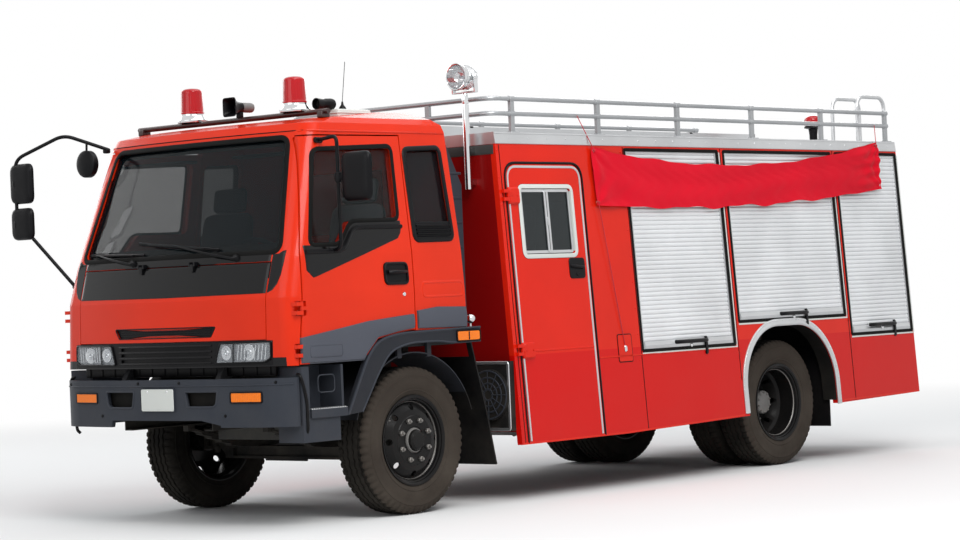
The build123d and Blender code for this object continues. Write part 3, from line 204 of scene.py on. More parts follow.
class NodeGroups:
    """Shared shader effects, each built once as a node group."""

    def __init__(self) -> None:
        """Build the groups."""
        self.dust = self._road_dust()
        self.mottle = self._mottle()
        self.brush = self._brush()
        self.weave = self._weave()
        self.wear = self._scuffs()
        self.band = self._painted_band()

    @staticmethod
    def _road_dust() -> bpy.types.NodeTree:
        """Pale road dust that thickens towards the ground and breaks up with noise.

        Returns:
            The node group.
        """
        dust_color = (0.3, 0.26, 0.21, 1.0)
        wire, come, go = shared_group("road_dust", {"Color": MID_GREY, "Dust Color": dust_color,
            "Amount": 0.3, "Top": 1.3}, ("Color", "Mask"))
        height = wire.add("SeparateXYZ", {0: wire.place()}).outputs["Z"]
        fall = wire.spread(height, 0.25, come["Top"], 1.0, 0.12)
        cloud = wire.spread(wire.noise(3.1, detail=6.0, roughness=0.65), 0.33, 0.72)
        level = wire.math("MULTIPLY", wire.math("MULTIPLY", fall, cloud), come["Amount"], clamp=True)
        wire.feed(go, {"Color": wire.mix(level, come["Color"], come["Dust Color"]), "Mask": level})
        return wire.tree

    @staticmethod
    def _painted_band() -> bpy.types.NodeTree:
        """Second colour between two heights, between two lengths and outside one width.

        Returns:
            The node group.
        """
        wire, come, go = shared_group("painted_band", {"Color": MID_GREY, "Band Color": (0.0, 0.0, 0.0, 1.0),
            "Low": 0.0, "High": 1.0, "Front": 0.0, "Back": 9.0, "Side": -1.0}, ("Color", "Mask"))
        at = wire.add("SeparateXYZ", {0: wire.place()}).outputs
        width = wire.math("ABSOLUTE", at["Y"])
        mask = wire.math("GREATER_THAN", at["Z"], come["Low"])
        for source, operation, limit in ((at["Z"], "LESS_THAN", "High"), (at["X"], "GREATER_THAN", "Front"),
                (at["X"], "LESS_THAN", "Back"), (width, "GREATER_THAN", "Side")):
            mask = wire.math("MINIMUM", mask, wire.math(operation, source, come[limit]))
        wire.feed(go, {"Color": wire.mix(mask, come["Color"], come["Band Color"]), "Mask": mask})
        return wire.tree

    @staticmethod
    def _mottle() -> bpy.types.NodeTree:
        """Slow changes of tone over a surface, with a fine grain as height.

        Returns:
            The node group.
        """
        wire, come, go = shared_group("tone_and_grain", {"Color": MID_GREY, "Tone": 0.12, "Tone Scale": 1.7,
            "Grain Scale": 60.0}, ("Color", "Height"))
        share = wire.math("MULTIPLY", wire.spread(wire.noise(come["Tone Scale"], detail=4.0), 0.3, 0.7),
            come["Tone"])
        color = wire.mix(share, come["Color"], (0.45, 0.45, 0.45, 1.0), "MULTIPLY")
        wire.feed(go, {"Color": color, "Height": wire.noise(come["Grain Scale"], detail=3.0)})
        return wire.tree

    @staticmethod
    def _brush() -> bpy.types.NodeTree:
        """Lines of a brushed or rolled metal, drawn out along X, as a height.

        Returns:
            The node group.
        """
        wire, come, go = shared_group("drawn_lines", {"Scale": 140.0}, ("Height",))
        squeeze = wire.add("Mapping", {"Vector": wire.place(), "Scale": (0.03, 1.0, 1.0)}).outputs[0]
        lines = wire.add("TexNoise", {"Vector": squeeze, "Scale": come["Scale"], "Detail": 2.0})
        wire.feed(go, {"Height": lines.outputs["Fac"]})
        return wire.tree

    @staticmethod
    def _weave() -> bpy.types.NodeTree:
        """Plain weave: the higher of two crossing waves, as a height.

        Returns:
            The node group.
        """
        wire, come, go = shared_group("plain_weave", {"Scale": 300.0}, ("Height",))
        feeds = {"Vector": wire.place(), "Scale": come["Scale"], "Distortion": 0.6}
        waves = [wire.add("TexWave", feeds, bands_direction=axis).outputs["Fac"] for axis in ("X", "Z")]
        wire.feed(go, {"Height": wire.math("MAXIMUM", *waves)})
        return wire.tree

    @staticmethod
    def _scuffs() -> bpy.types.NodeTree:
        """Small chips and scratches as a mask, sparse and sharp edged.

        Returns:
            The node group.
        """
        wire, come, go = shared_group("chips", {"Amount": 0.1, "Scale": 9.0}, ("Mask",))
        edge = wire.spread(wire.noise(come["Scale"], detail=9.0, roughness=0.75), 0.68, 0.72)
        wire.feed(go, {"Mask": wire.math("MULTIPLY", edge, come["Amount"], clamp=True)})
        return wire.tree


class Paintshop:
    """Makes one material per finish and hands it out."""

    def __init__(self) -> None:
        """Build the shared groups."""
        self.groups = NodeGroups()
        self.made: dict[str, bpy.types.Material] = {}

    def get(self, finish: Finish) -> bpy.types.Material:
        """Hand out the material of a finish, built on first use.

        Args:
            finish: The finish.

        Returns:
            Its material.
        """
        if finish.name not in self.made:
            self.made[finish.name] = self._build(finish)
        return self.made[finish.name]

    def _build(self, finish: Finish) -> bpy.types.Material:
        """Build the shader of one finish.

        Args:
            finish: The finish.

        Returns:
            Its material.
        """
        material = bpy.data.materials.new(finish.name)
        material.use_nodes = True
        wire = Wiring(material.node_tree)
        shader = wire.tree.nodes["Principled BSDF"]
        wire.feed(shader, {"Metallic": finish.metallic, "Coat Weight": finish.coat, "Coat Roughness": 0.06,
            "Specular IOR Level": finish.specular})
        if finish.build is Build.GLASS:
            self._glaze(finish, wire, shader)
        else:
            self._paint(finish, wire, shader)
        return material

    def _paint(self, finish: Finish, wire: Wiring, shader: bpy.types.Node) -> None:
        """Wire an opaque surface: tone, chips, painted bands, dust and grain.

        Args:
            finish: The finish.
            wire: Wiring of its material.
            shader: The material's shader.
        """
        groups = self.groups
        tone = wire.group(groups.mottle, Color=(*finish.color, 1.0), Tone=0.35 if finish.metallic else 0.2,
            Grain_Scale=finish.grain_scale).outputs
        chipped = tuple(0.35 * c + 0.06 for c in finish.color) + (1.0,)
        paint = wire.mix(wire.group(groups.wear, Amount=0.16).outputs["Mask"], tone["Color"], chipped)
        for red, green, blue, low, high, front, back, side in finish.bands:
            paint = wire.group(groups.band, Color=paint, Band_Color=(red, green, blue, 1.0), Low=low,
                High=high, Front=front, Back=back, Side=side).outputs["Color"]
        dust = wire.group(groups.dust, Color=paint, Amount=finish.dust).outputs
        height = tone["Height"]
        if finish.build is Build.METAL:
            height = wire.group(groups.brush).outputs["Height"]
        if finish.build is Build.CLOTH:
            height = wire.group(groups.weave, Scale=finish.grain_scale).outputs["Height"]
            wire.feed(shader, {"Sheen Weight": 0.06})
        rough = wire.spread(dust["Mask"], 0.0, 1.0, finish.roughness, min(1.0, finish.roughness + 0.45))
        bump = wire.add("Bump", {"Strength": finish.grain, "Distance": 0.0012, "Height": height}).outputs[0]
        wire.feed(shader, {"Base Color": dust["Color"], "Roughness": rough, "Normal": bump})

    def _glaze(self, finish: Finish, wire: Wiring, shader: bpy.types.Node) -> None:
        """Wire glass with a film of dust.

        Args:
            finish: The finish.
            wire: Wiring of its material.
            shader: The material's shader.
        """
        film = wire.group(self.groups.dust, Amount=finish.dust, Top=2.6, Color=(*finish.color, 1.0)).outputs
        rough = wire.spread(film["Mask"], 0.0, 1.0, finish.roughness, finish.roughness + 0.2)
        wire.feed(shader, {"Base Color": film["Color"], "Roughness": rough, "IOR": 1.45,
            "Alpha": finish.alpha})


# Finishes of the vehicle
CAB_RED = Finish("cab_red_gloss", Build.PAINT, (0.72, 0.026, 0.003), 0.22, dust=0.02, grain=0.03, coat=0.1,
    specular=0.16, slot="red_paint")
BODY_RED = Finish("body_red_gloss", Build.PAINT, (0.7, 0.016, 0.004), 0.26, dust=0.02, grain=0.03, coat=0.1,
    specular=0.14, slot="red_paint")
DARK_RED = Finish("bulkhead_dark_red", Build.PAINT, (0.24, 0.002, 0.002), 0.35, dust=0.03, coat=0.1,
    specular=0.1, slot="dark_red")
CHARCOAL = Finish("charcoal_moulding", Build.PLASTIC, (0.034, 0.039, 0.05), 0.5, dust=0.08, grain=0.4,
    grain_scale=260.0, specular=0.12, slot="charcoal_plastic")
GREY_MOULD = Finish("grey_lower_panel", Build.PLASTIC, (0.082, 0.088, 0.108), 0.5, dust=0.08, grain=0.35,
    grain_scale=260.0, specular=0.12, slot="charcoal_plastic")
BLACK_TRIM = Finish("black_trim", Build.PLASTIC, (0.004, 0.004, 0.005), 0.35, dust=0.03, grain=0.25,
    grain_scale=300.0, specular=0.12, slot="black_trim")
GLOSS_BLACK = Finish("gloss_black_band", Build.PAINT, (0.003, 0.003, 0.0035), 0.15, dust=0.015, coat=0.12,
    specular=0.18, slot="black_trim")
SEAL = Finish("rubber_seal", Build.RUBBER, (0.005, 0.005, 0.005), 0.7, dust=0.075, specular=0.08,
    slot="black_trim")
FRAME_BLACK = Finish("frame_black", Build.PAINT, (0.01, 0.01, 0.01), 0.6, dust=0.225, grain=0.4,
    specular=0.12, slot="frame_paint")
UNDER_GREY = Finish("under_grey", Build.PAINT, (0.05, 0.05, 0.048), 0.65, dust=0.24, grain=0.4, specular=0.12,
    slot="tank_paint")
SHUTTER = Finish("shutter_aluminium", Build.METAL, (0.82, 0.83, 0.84), 0.38, dust=0.075, grain=0.25,
    metallic=0.3, slot="aluminium")
ALUMINIUM = Finish("trim_aluminium", Build.METAL, (0.62, 0.63, 0.64), 0.3, dust=0.105, grain=0.2,
    metallic=0.85, slot="aluminium")
RAIL_STEEL = Finish("rail_steel", Build.METAL, (0.4, 0.41, 0.42), 0.28, dust=0.09, grain=0.2, metallic=0.55,
    slot="aluminium")
TREAD_PLATE = Finish("tread_aluminium", Build.METAL, (0.42, 0.42, 0.41), 0.42, dust=0.21, grain=0.4,
    metallic=0.7, slot="aluminium")
CHROME = Finish("bright_chrome", Build.METAL, (0.72, 0.73, 0.74), 0.1, dust=0.045, grain=0.02, metallic=1.0,
    slot="chrome")
TYRE_BASE = Finish("dusty_tyre", Build.RUBBER, (0.011, 0.01, 0.009), 0.82, dust=0.1, grain=0.5,
    grain_scale=220.0, specular=0.08, slot="tyre_rubber")
TYRE = replace(TYRE_BASE, name="tyre_brown_wall", bands=((0.04, 0.032, 0.026, -1.0, 2.0, -9.0, 9.0, 1.035),))
RIM = Finish("wheel_black", Build.PAINT, (0.006, 0.006, 0.0065), 0.22, dust=0.03, grain=0.2, specular=0.12,
    slot="wheel_steel")
RIM_STEEL = Finish("wheel_bare_steel", Build.METAL, (0.22, 0.21, 0.2), 0.5, dust=0.15, grain=0.3,
    metallic=0.7, slot="wheel_steel")
HUB_GREY = Finish("hub_grey", Build.PAINT, (0.16, 0.155, 0.15), 0.5, dust=0.15, grain=0.3, slot="wheel_steel")
SEAT_CLOTH = Finish("seat_cloth", Build.CLOTH, (0.06, 0.062, 0.07), 0.9, dust=0.03, grain=0.5,
    grain_scale=260.0, slot="seat_cloth")
BANNER_RED = Finish("plain_red_cloth", Build.CLOTH, (0.72, 0.004, 0.02), 0.75, dust=0.005, grain=0.3,
    specular=0.08, grain_scale=240.0, slot="banner_cloth")
CORD_RED = Finish("red_cord", Build.CLOTH, (0.5, 0.02, 0.03), 0.85, dust=0.03, grain=0.4, grain_scale=400.0,
    slot="banner_cloth")
GLASS = Finish("window_glass", Build.GLASS, (0.006, 0.01, 0.012), 0.03, dust=0.01, alpha=0.6, specular=0.2,
    slot="glass")
DARK_GLASS = Finish("tinted_glass", Build.GLASS, (0.016, 0.022, 0.024), 0.03, dust=0.024, alpha=0.72,
    slot="glass")
CLEAR_LENS = Finish("clear_lens", Build.GLASS, (0.5, 0.53, 0.56), 0.05, dust=0.02, alpha=0.14,
    slot="lamp_clear")
REFLECTOR = Finish("lamp_reflector", Build.METAL, (0.34, 0.35, 0.37), 0.14, dust=0.015, grain=0.02,
    metallic=0.9, slot="lamp_clear")
BOWL = replace(REFLECTOR, name="lamp_bowl", color=(0.6, 0.62, 0.64), roughness=0.1)
LAMP_SHELL = Finish("lamp_shell", Build.METAL, (0.13, 0.135, 0.145), 0.18, dust=0.01, grain=0.02,
    metallic=0.6, slot="lamps")
AMBER = Finish("amber_lens", Build.PAINT, (0.92, 0.2, 0.003), 0.15, dust=0.01, coat=0.3, specular=0.2,
    slot="lamp_amber")
RED_LENS = Finish("red_lens", Build.PAINT, (0.46, 0.001, 0.006), 0.1, coat=0.3, specular=0.2, dust=0.015,
    slot="red_lens")
MIRROR = Finish("mirror_glass", Build.METAL, (0.75, 0.77, 0.78), 0.03, dust=0.015, grain=0.0, metallic=1.0,
    slot="chrome")
PLATE_WHITE = Finish("blank_plate", Build.PAINT, (0.68, 0.7, 0.66), 0.4, dust=0.06, grain=0.05,
    slot="aluminium")
FLOOR_LINER = Finish("cab_liner", Build.PLASTIC, (0.035, 0.035, 0.038), 0.8, dust=0.06, grain=0.5,
    grain_scale=180.0, specular=0.12, slot="black_trim")
DOOR_GLASS = Finish("door_glass", Build.GLASS, (0.012, 0.02, 0.02), 0.03, dust=0.01, alpha=0.22, slot="glass")
BAR_BROWN = Finish("roof_bar_brown", Build.PAINT, (0.03, 0.01, 0.009), 0.35, dust=0.05, coat=0.3,
    slot="red_lens")
BLACK = BLACK_TRIM.color
CAB_NOSE = replace(CAB_RED, name="cab_red_black_band",
    bands=((*BLACK, 1.69, 1.795, 3.57, 9.0, -1.0), (*BLACK, 0.0, 1.096, 3.565, 9.0, -1.0)))
CAB_SIDE = replace(CAB_RED, name="cab_red_grey_foot",
    bands=((*GREY_MOULD.color, 0.0, 1.078, 1.9, 3.43, 0.88),))
LID_RED = replace(CAB_RED, name="lid_red_black_band", bands=((*BLACK, 1.6, 1.8, 3.4, 9.0, -1.0),))
# Painted shade: the deeper red below 1.005 m darkens the lower body sides and crew doors so that the upper
# panels read lighter, as the sky's reflection makes them look; it is not a second paint.
BODY_RED_SHADED_LOW = replace(BODY_RED, name="body_red_two_tone",
    bands=((0.6, 0.003, 0.0008, 0.0, 1.005, -9.0, 9.0, -1.0),))
# Painted shade: the near-black band below 1.16 m and behind x 1.925 darkens the flare's lower rear, where
# shade falls behind the front wheel.
FLARE = replace(CHARCOAL, name="flare_moulding", color=(0.02, 0.022, 0.028),
    bands=((0.004, 0.004, 0.0045, 0.0, 1.16, -9.0, 1.925, -1.0),))


# Numbers shared with the solids
X_FRONT, X_REAR, Z_AXLE = 2.425, -1.805, 0.49
BODY_FRONT, BODY_REAR = 1.477, -3.625
CAB_ROWS = np.array([(1.04, 3.665, 0.085, 1.128), (1.475, 3.652, 0.085, 1.118), (1.735, 3.578, 0.08, 1.098),
    (2.552, 3.3, 0.072, 0.985)])
CAB_CORNER = 0.11
WELD = 2e-6


def xyz(x: Reals, y: Reals, z: Reals) -> Array:
    """Points from their coordinates, each an array or one number."""
    return np.stack(np.broadcast_arrays(x, y, z), axis=-1)


def body_half(z: Reals) -> Reals:
    """Half width of the leaning body: a straight line from 1.200 at z 0.390 to 1.060 at z 2.477."""
    return 1.2 - 0.14 * (z - 0.39) / 2.087


def on_body(side: Side) -> Place:
    """Place function of one body side: x and z stay, y is the leaning half width plus the offset out."""
    return lambda x, z, out: xyz(x, side.value * (body_half(z) + out), z)


def _cab_plan(z: Reals) -> tuple[Reals, ...]:
    """Numbers of the cab's plan outline at a height.

    The front is an arc of radius R = (w*w + s*s) / 2s through the nose, w being the half width of the
    bow and s its setback. The corner is an arc that starts along it and ends on the side, one corner
    length back and out, so its radius is chord / (2 sin b), b being the angle from tangent to chord.

    Args:
        z: Heights.

    Returns:
        Nose x, edge x, bow half width, half width, bow radius, tangent angle, corner radius.
    """
    nose, setback, half = (np.interp(z, CAB_ROWS[:, 0], CAB_ROWS[:, k]) for k in (1, 2, 3))
    width = half - CAB_CORNER
    bow = (width ** 2 + setback ** 2) / (2 * setback)
    slope = np.arcsin(width / bow)
    corner = CAB_CORNER * math.sqrt(2) / (2 * np.sin(np.pi / 4 - slope))
    return nose, nose - setback, width, half, bow, np.pi / 2 + slope, corner


def on_cab_front(y: Reals, z: Reals, out: Reals) -> Array:
    """Point on the cab seen from the front: x from the bow or, past its edge, from the corner arc.

    Args:
        y: Width coordinate.
        z: Height.
        out: Offset forwards.

    Returns:
        Points.
    """
    nose, edge, width, _, bow, start, corner = _cab_plan(z)
    across = np.abs(y)
    flat_x = nose - bow + np.sqrt(np.maximum(bow ** 2 - across ** 2, 0))
    turn = np.arccos(np.clip(np.cos(start) - (across - width) / corner, -1, 1))
    bent_x = edge + corner * (np.sin(turn) - np.sin(start))
    return xyz(np.where(across <= width, flat_x, bent_x) + out, y, z)


def on_cab_side(side: Side) -> Place:
    """Place function of one cab side: y from the straight side or, ahead of it, from the corner arc.

    Args:
        side: The side.

    Returns:
        Function from x, z and an offset outwards to a point.
    """
    def place(x: Reals, z: Reals, out: Reals) -> Array:
        """Point on the side.

        Args:
            x: Length coordinate.
            z: Height.
            out: Offset outwards.

        Returns:
            Points.
        """
        _, edge, width, half, _, start, corner = _cab_plan(z)
        turn = np.pi - np.arcsin(np.clip((x - edge) / corner + np.sin(start), -1, 1))
        bent = width - corner * (np.cos(turn) - np.cos(start))
        y = np.where(x <= edge - CAB_CORNER, half, np.minimum(bent, half))
        return xyz(x, side.value * (y + out), z)
    return place


def upright_x(x: float) -> Place:
    """Place function of a plane across the vehicle: a is y, b is z, and out is towards +X."""
    return lambda a, b, out: xyz(x + out, a, b)


def flank(y: float, s: float) -> Place:
    """Place function of an upright plane along the vehicle, y metres out on the side of sign s."""
    return lambda x, z, out: xyz(x, s * y + s * out, z)


# Mesh makers
def finish_mesh(name: str, points: Array, faces: Array, angle: float = 35.0) -> Thing:
    """Make an object of points and quads, closed, facing outwards and smooth up to an angle.

    Args:
        name: Piece name.
        points: Vertices, n by 3.
        faces: Quads of vertex numbers, m by 4.
        angle: Edges sharper than this stay sharp, in degrees.

    Returns:
        The new object, linked to the scene.
    """
    mesh = bpy.data.meshes.new(name)
    mesh.from_pydata(points.reshape(-1, 3), [], faces.tolist())
    work = bmesh.new()
    work.from_mesh(mesh)
    bmesh.ops.remove_doubles(work, verts=work.verts, dist=WELD)
    bmesh.ops.dissolve_degenerate(work, edges=work.edges, dist=WELD / 2)
    bmesh.ops.recalc_face_normals(work, faces=work.faces)
    work.to_mesh(mesh)
    work.free()
    mesh.polygons.foreach_set("use_smooth", np.ones(len(mesh.polygons), dtype=bool))
    mesh.set_sharp_from_angle(angle=math.radians(angle))
    thing = bpy.data.objects.new(name, mesh)
    bpy.context.scene.collection.objects.link(thing)
    return thing


def grid_faces(rows: int, cols: int, wrap_rows: bool, wrap_cols: bool) -> Array:
    """Quads of a grid of points, numbered row by row.

    Args:
        rows: Number of rows of points.
        cols: Number of columns of points.
        wrap_rows: The last row joins the first.
        wrap_cols: The last column joins the first.

    Returns:
        Quads, m by 4.
    """
    i = np.arange(rows if wrap_rows else rows - 1)
    j = np.arange(cols if wrap_cols else cols - 1)
    a, b = np.meshgrid(i, j, indexing="ij")
    c, d = (a + 1) % rows, (b + 1) % cols
    return np.stack([a * cols + b, a * cols + d, c * cols + d, c * cols + b], axis=-1).reshape(-1, 4)


def circle(count: int) -> Array:
    """Even angles round a circle."""
    return np.linspace(0, 2 * np.pi, count, endpoint=False)


def headings(path: Array, closed: bool) -> Array:
    """Unit directions along a path, each from the point before to the point after.

    Args:
        path: Points.
        closed: The path joins its start.

    Returns:
        Directions, one per point.
    """
    ahead = np.roll(path, -1, axis=0) - np.roll(path, 1, axis=0)
    if not closed:
        ahead[0], ahead[-1] = path[1] - path[0], path[-1] - path[-2]
    return ahead / np.linalg.norm(ahead, axis=1, keepdims=True)


def capped(rings: Array) -> Array:
    """Rings closed at both ends by the middle of the first and of the last."""
    caps = rings[[0, -1]].mean(axis=1, keepdims=True).repeat(rings.shape[1], axis=1)
    return np.concatenate([caps[:1], rings, caps[1:]])


def surface(name: str, points: Array, wrap_rows: bool = False, wrap_cols: bool = False,
        angle: float = 35.0) -> Thing:
    """Make an object of a grid of points, rows by columns by 3."""
    rows, cols = points.shape[:2]
    return finish_mesh(name, points, grid_faces(rows, cols, wrap_rows, wrap_cols), angle)


def rounded(points: Pairs, radius: float, steps: int = 5, closed: bool = True) -> Array:
    """Path with each corner replaced by a parabola that starts and ends one radius from it.

    Args:
        points: Corners, n by 2 or n by 3.
        radius: Distance from the corner at which its curve starts.
        steps: Points per corner.
        closed: The path returns to its start.

    Returns:
        Points of the path.
    """
    corner = np.asarray(points, float)
    before, after = np.roll(corner, 1, axis=0) - corner, np.roll(corner, -1, axis=0) - corner
    reach_in = np.linalg.norm(before, axis=1, keepdims=True)
    reach_out = np.linalg.norm(after, axis=1, keepdims=True)
    first = corner + before / reach_in * np.minimum(radius, reach_in * 0.49)
    last = corner + after / reach_out * np.minimum(radius, reach_out * 0.49)
    t = np.linspace(0, 1, steps)[None, :, None]
    curve = (1 - t) ** 2 * first[:, None] + 2 * t * (1 - t) * corner[:, None] + t ** 2 * last[:, None]
    if closed:
        return curve.reshape(-1, corner.shape[1])
    return np.concatenate([corner[:1], curve[1:-1].reshape(-1, corner.shape[1]), corner[-1:]])


def densify(path: Line, step: float, closed: bool) -> Array:
    """Points along a path at an even step, read off its length by interpolation.

    Args:
        path: Points.
        step: Longest distance between points.
        closed: The path joins its start.

    Returns:
        More points, with the path's own among them.
    """
    path = np.asarray(path, float)
    line = np.concatenate([path, path[:1]]) if closed else path
    run = np.concatenate([[0.0], np.cumsum(np.linalg.norm(np.diff(line, axis=0), axis=1))])
    count = max(2, int(run[-1] / step) + 1)
    at = np.linspace(0, run[-1], count, endpoint=not closed)
    marks = np.unique(np.concatenate([at, run[:-1] if closed else run]))
    return np.stack([np.interp(marks, run, line[:, k]) for k in range(line.shape[1])], axis=-1)


def tube(name: str, path: Line, radius: Reals, sides: int = 12, closed: bool = False,
        squash: float = 1.0) -> Thing:
    """Round bar along a path: a circle carried on the normal and binormal of the path, with closed ends.

    Args:
        name: Piece name.
        path: Points, n by 3.
        radius: One radius, or one per point.
        sides: Points round the circle.
        closed: The path joins its start.
        squash: Second radius over the first, for an oval bar.

    Returns:
        The new object.
    """
    path = np.asarray(path, float)
    ahead = headings(path, closed)
    guide = np.array([0.137, 0.271, 0.953])
    guide = guide if np.abs(ahead @ guide).max() < 0.97 else np.roll(guide, 1)
    across = np.cross(ahead, guide)
    across /= np.linalg.norm(across, axis=1, keepdims=True)
    up = np.cross(ahead, across)
    angle = circle(sides)[:, None]
    size = np.broadcast_to(radius, (len(path),))[:, None, None]
    ring = path[:, None] + size * (np.cos(angle) * across[:, None] + squash * np.sin(angle) * up[:, None])
    if closed:
        return surface(name, ring, wrap_rows=True, wrap_cols=True)
    start, end = np.repeat(path[:1, None], sides, axis=1), np.repeat(path[-1:, None], sides, axis=1)
    return surface(name, np.concatenate([start, ring, end]), wrap_cols=True)


def turned(name: str, profile: Pairs, base: Spot, axis: Spot, sides: int = 48, angle: float = 35.0) -> Thing:
    """Turned piece: radius and height pairs carried round an axis; a radius of zero closes a pole.

    Args:
        name: Piece name.
        profile: Radius and height of each ring.
        base: Point of height zero.
        axis: Direction of the height.
        sides: Points round the axis.
        angle: Edges sharper than this stay sharp, in degrees.

    Returns:
        The new object.
    """
    rows = np.asarray(profile, float)[..., None, None]
    lift = np.asarray(axis, float) / np.linalg.norm(axis)
    one = np.cross(lift, (0, 0, 1) if abs(lift[2]) < 0.9 else (1, 0, 0))
    one /= np.linalg.norm(one)
    turn = circle(sides)[:, None]
    ring = np.cos(turn) * one + np.sin(turn) * np.cross(lift, one)
    points = np.asarray(base, float) + rows[:, 1] * lift + rows[:, 0] * ring[None]
    return surface(name, points, wrap_cols=True, angle=angle)


def plate(name: str, outline: Array, place: Place, depth: float, bevel: float = 0.003,
        back: float = 0.0) -> Thing:
    """Raised plate on a curved surface: rings of its outline from its middle to its edge and under.

    Each ring is the outline drawn towards its middle by a share, at its own offset out.

    Args:
        name: Piece name.
        outline: Closed outline in the surface's two coordinates, n by 2.
        place: Function from two coordinates and an offset to a point.
        depth: Height of the face above the surface.
        bevel: Width of the edge's slope.
        back: Offset of the underside.

    Returns:
        The new object.
    """
    middle = (outline.max(axis=0) + outline.min(axis=0)) / 2
    lip = 1 - bevel / np.abs(outline - middle).max()
    share = np.array([0.0, 0.35, 0.7, lip - 0.02, lip, 1.0, 1.0, 0.5, 0.0])
    out = np.array([depth, depth, depth, depth, depth, depth - bevel, back, back, back])
    flat = middle + share[:, None, None] * (outline - middle)[None]
    return surface(name, place(flat[..., 0], flat[..., 1], out[:, None]), wrap_cols=True, angle=30)


def strip(name: str, path: Line, place: Place, profile: Pairs, closed: bool = True,
        step: float = 0.05) -> Thing:
    """Moulding on a curved surface: a profile of sideways and outward offsets carried along a path.

    Args:
        name: Piece name.
        path: Path in the surface's two coordinates, n by 2.
        place: Function from two coordinates and an offset to a point.
        profile: Sideways and outward offset of each corner of the closed cross section.
        closed: The path joins its start.
        step: Longest distance between points along the path.

    Returns:
        The new object.
    """
    path = densify(path, step, closed)
    ahead = headings(path, closed)
    sideways = np.stack([-ahead[:, 1], ahead[:, 0]], axis=-1)
    cut = np.asarray(profile, float)
    flat = path[:, None] + cut[:, :1] * sideways[:, None]
    ring = place(flat[..., 0], flat[..., 1], cut[:, 1])
    return surface(name, ring if closed else capped(ring), wrap_rows=closed, wrap_cols=True, angle=40)


def band(width: float, height: float, low: float = -0.001) -> list[tuple[float, float]]:
    """Cross section of a low moulding with sloping edges."""
    w, h = width / 2, height
    return [(-w, low), (-w, h * 0.5), (-w * 0.75, h), (w * 0.75, h), (w, h * 0.5), (w, low)]


def ridge(foot: float, low: float, top: float, height: float) -> list[tuple[float, float]]:
    """Cross section of a ridge: half width and offset of its foot, then of its top."""
    return [(-foot, low), (-top, height), (top, height), (foot, low)]


def bead(radius: float, lift: float = 0.0, sides: int = 10) -> list[tuple[float, float]]:
    """Cross section of a round bead."""
    return [(radius * math.cos(a), lift + radius * math.sin(a)) for a in circle(sides)]


def power(values: Array, p: float) -> Array:
    """Power of the size of each value, with its sign kept."""
    return np.sign(values) * np.abs(values) ** p


def brick(name: str, low: Spot, high: Spot, edge: float = 0.004) -> Thing:
    """Rounded block: a superellipse ring carried through rounded heights between two corners.

    Each ring is |cos|^p and |sin|^p of the half sizes, signs kept, with p = 0.16, and the end rings
    draw in by the edge radius.

    Args:
        name: Piece name.
        low: Lowest corner.
        high: Highest corner.
        edge: Radius of the edges.

    Returns:
        The new object.
    """
    a, b = np.asarray(low, float), np.asarray(high, float)
    middle, half = (a + b) / 2, (b - a) / 2
    edge = min(edge, half.min() * 0.9)
    turn = circle(32)
    shape = power(np.stack([np.cos(turn), np.sin(turn)], axis=-1), 0.16)
    lift = np.array([-1, -1, -1, -1, 1, 1, 1, 1.0])
    inset = np.array([1e9, edge, edge * 0.3, 0, 0, edge * 0.3, edge, 1e9])
    drop = np.array([0, 0, edge * 0.3, edge, edge, edge * 0.3, 0, 0])
    flat = np.maximum(half[:2] - inset[:, None], 0)[:, None] * shape
    ring = xyz(flat[..., 0], flat[..., 1], (lift * (half[2] - drop))[:, None])
    return surface(name, middle + ring, wrap_cols=True, angle=50)


def merge(name: str, pieces: Sequence[Thing]) -> Thing:
    """Join pieces into one object by copying their meshes together.

    Args:
        name: Name of the new piece.
        pieces: What it is made of.

    Returns:
        The new object.
    """
    work = bmesh.new()
    for piece in pieces:
        work.from_mesh(piece.data)
    mesh = bpy.data.meshes.new(name)
    work.to_mesh(mesh)
    work.free()
    for piece in pieces:
        data = piece.data
        bpy.data.objects.remove(piece)
        bpy.data.meshes.remove(data)
    thing = bpy.data.objects.new(name, mesh)
    bpy.context.scene.collection.objects.link(thing)
    return thing


@dataclass
class Assembly:
    """Base of the sub-assemblies: dresses pieces and reports them."""

    shop: Paintshop

    def dress(self, piece: Thing, finish: Finish, body: str = "vehicle", *nodes: str) -> Thing:
        """Give a piece its finish and body.

        Args:
            piece: The new object.
            finish: Its finish.
            body: CAD body that it rides on.
            *nodes: CAD nodes that it stands for.

        Returns:
            The same object.
        """
        piece.data.materials.clear()
        piece.data.materials.append(self.shop.get(finish))
        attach(piece, body)
        if nodes:
            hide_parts(*nodes)
        LOG.info("%s on %s", piece.name, body)
        return piece

    def join(self, name: str, pieces: Sequence[Thing], finish: Finish, body: str = "vehicle",
            *nodes: str) -> Thing:
        """Merge pieces into one of that name and dress it."""
        return self.dress(merge(name, pieces), finish, body, *nodes)


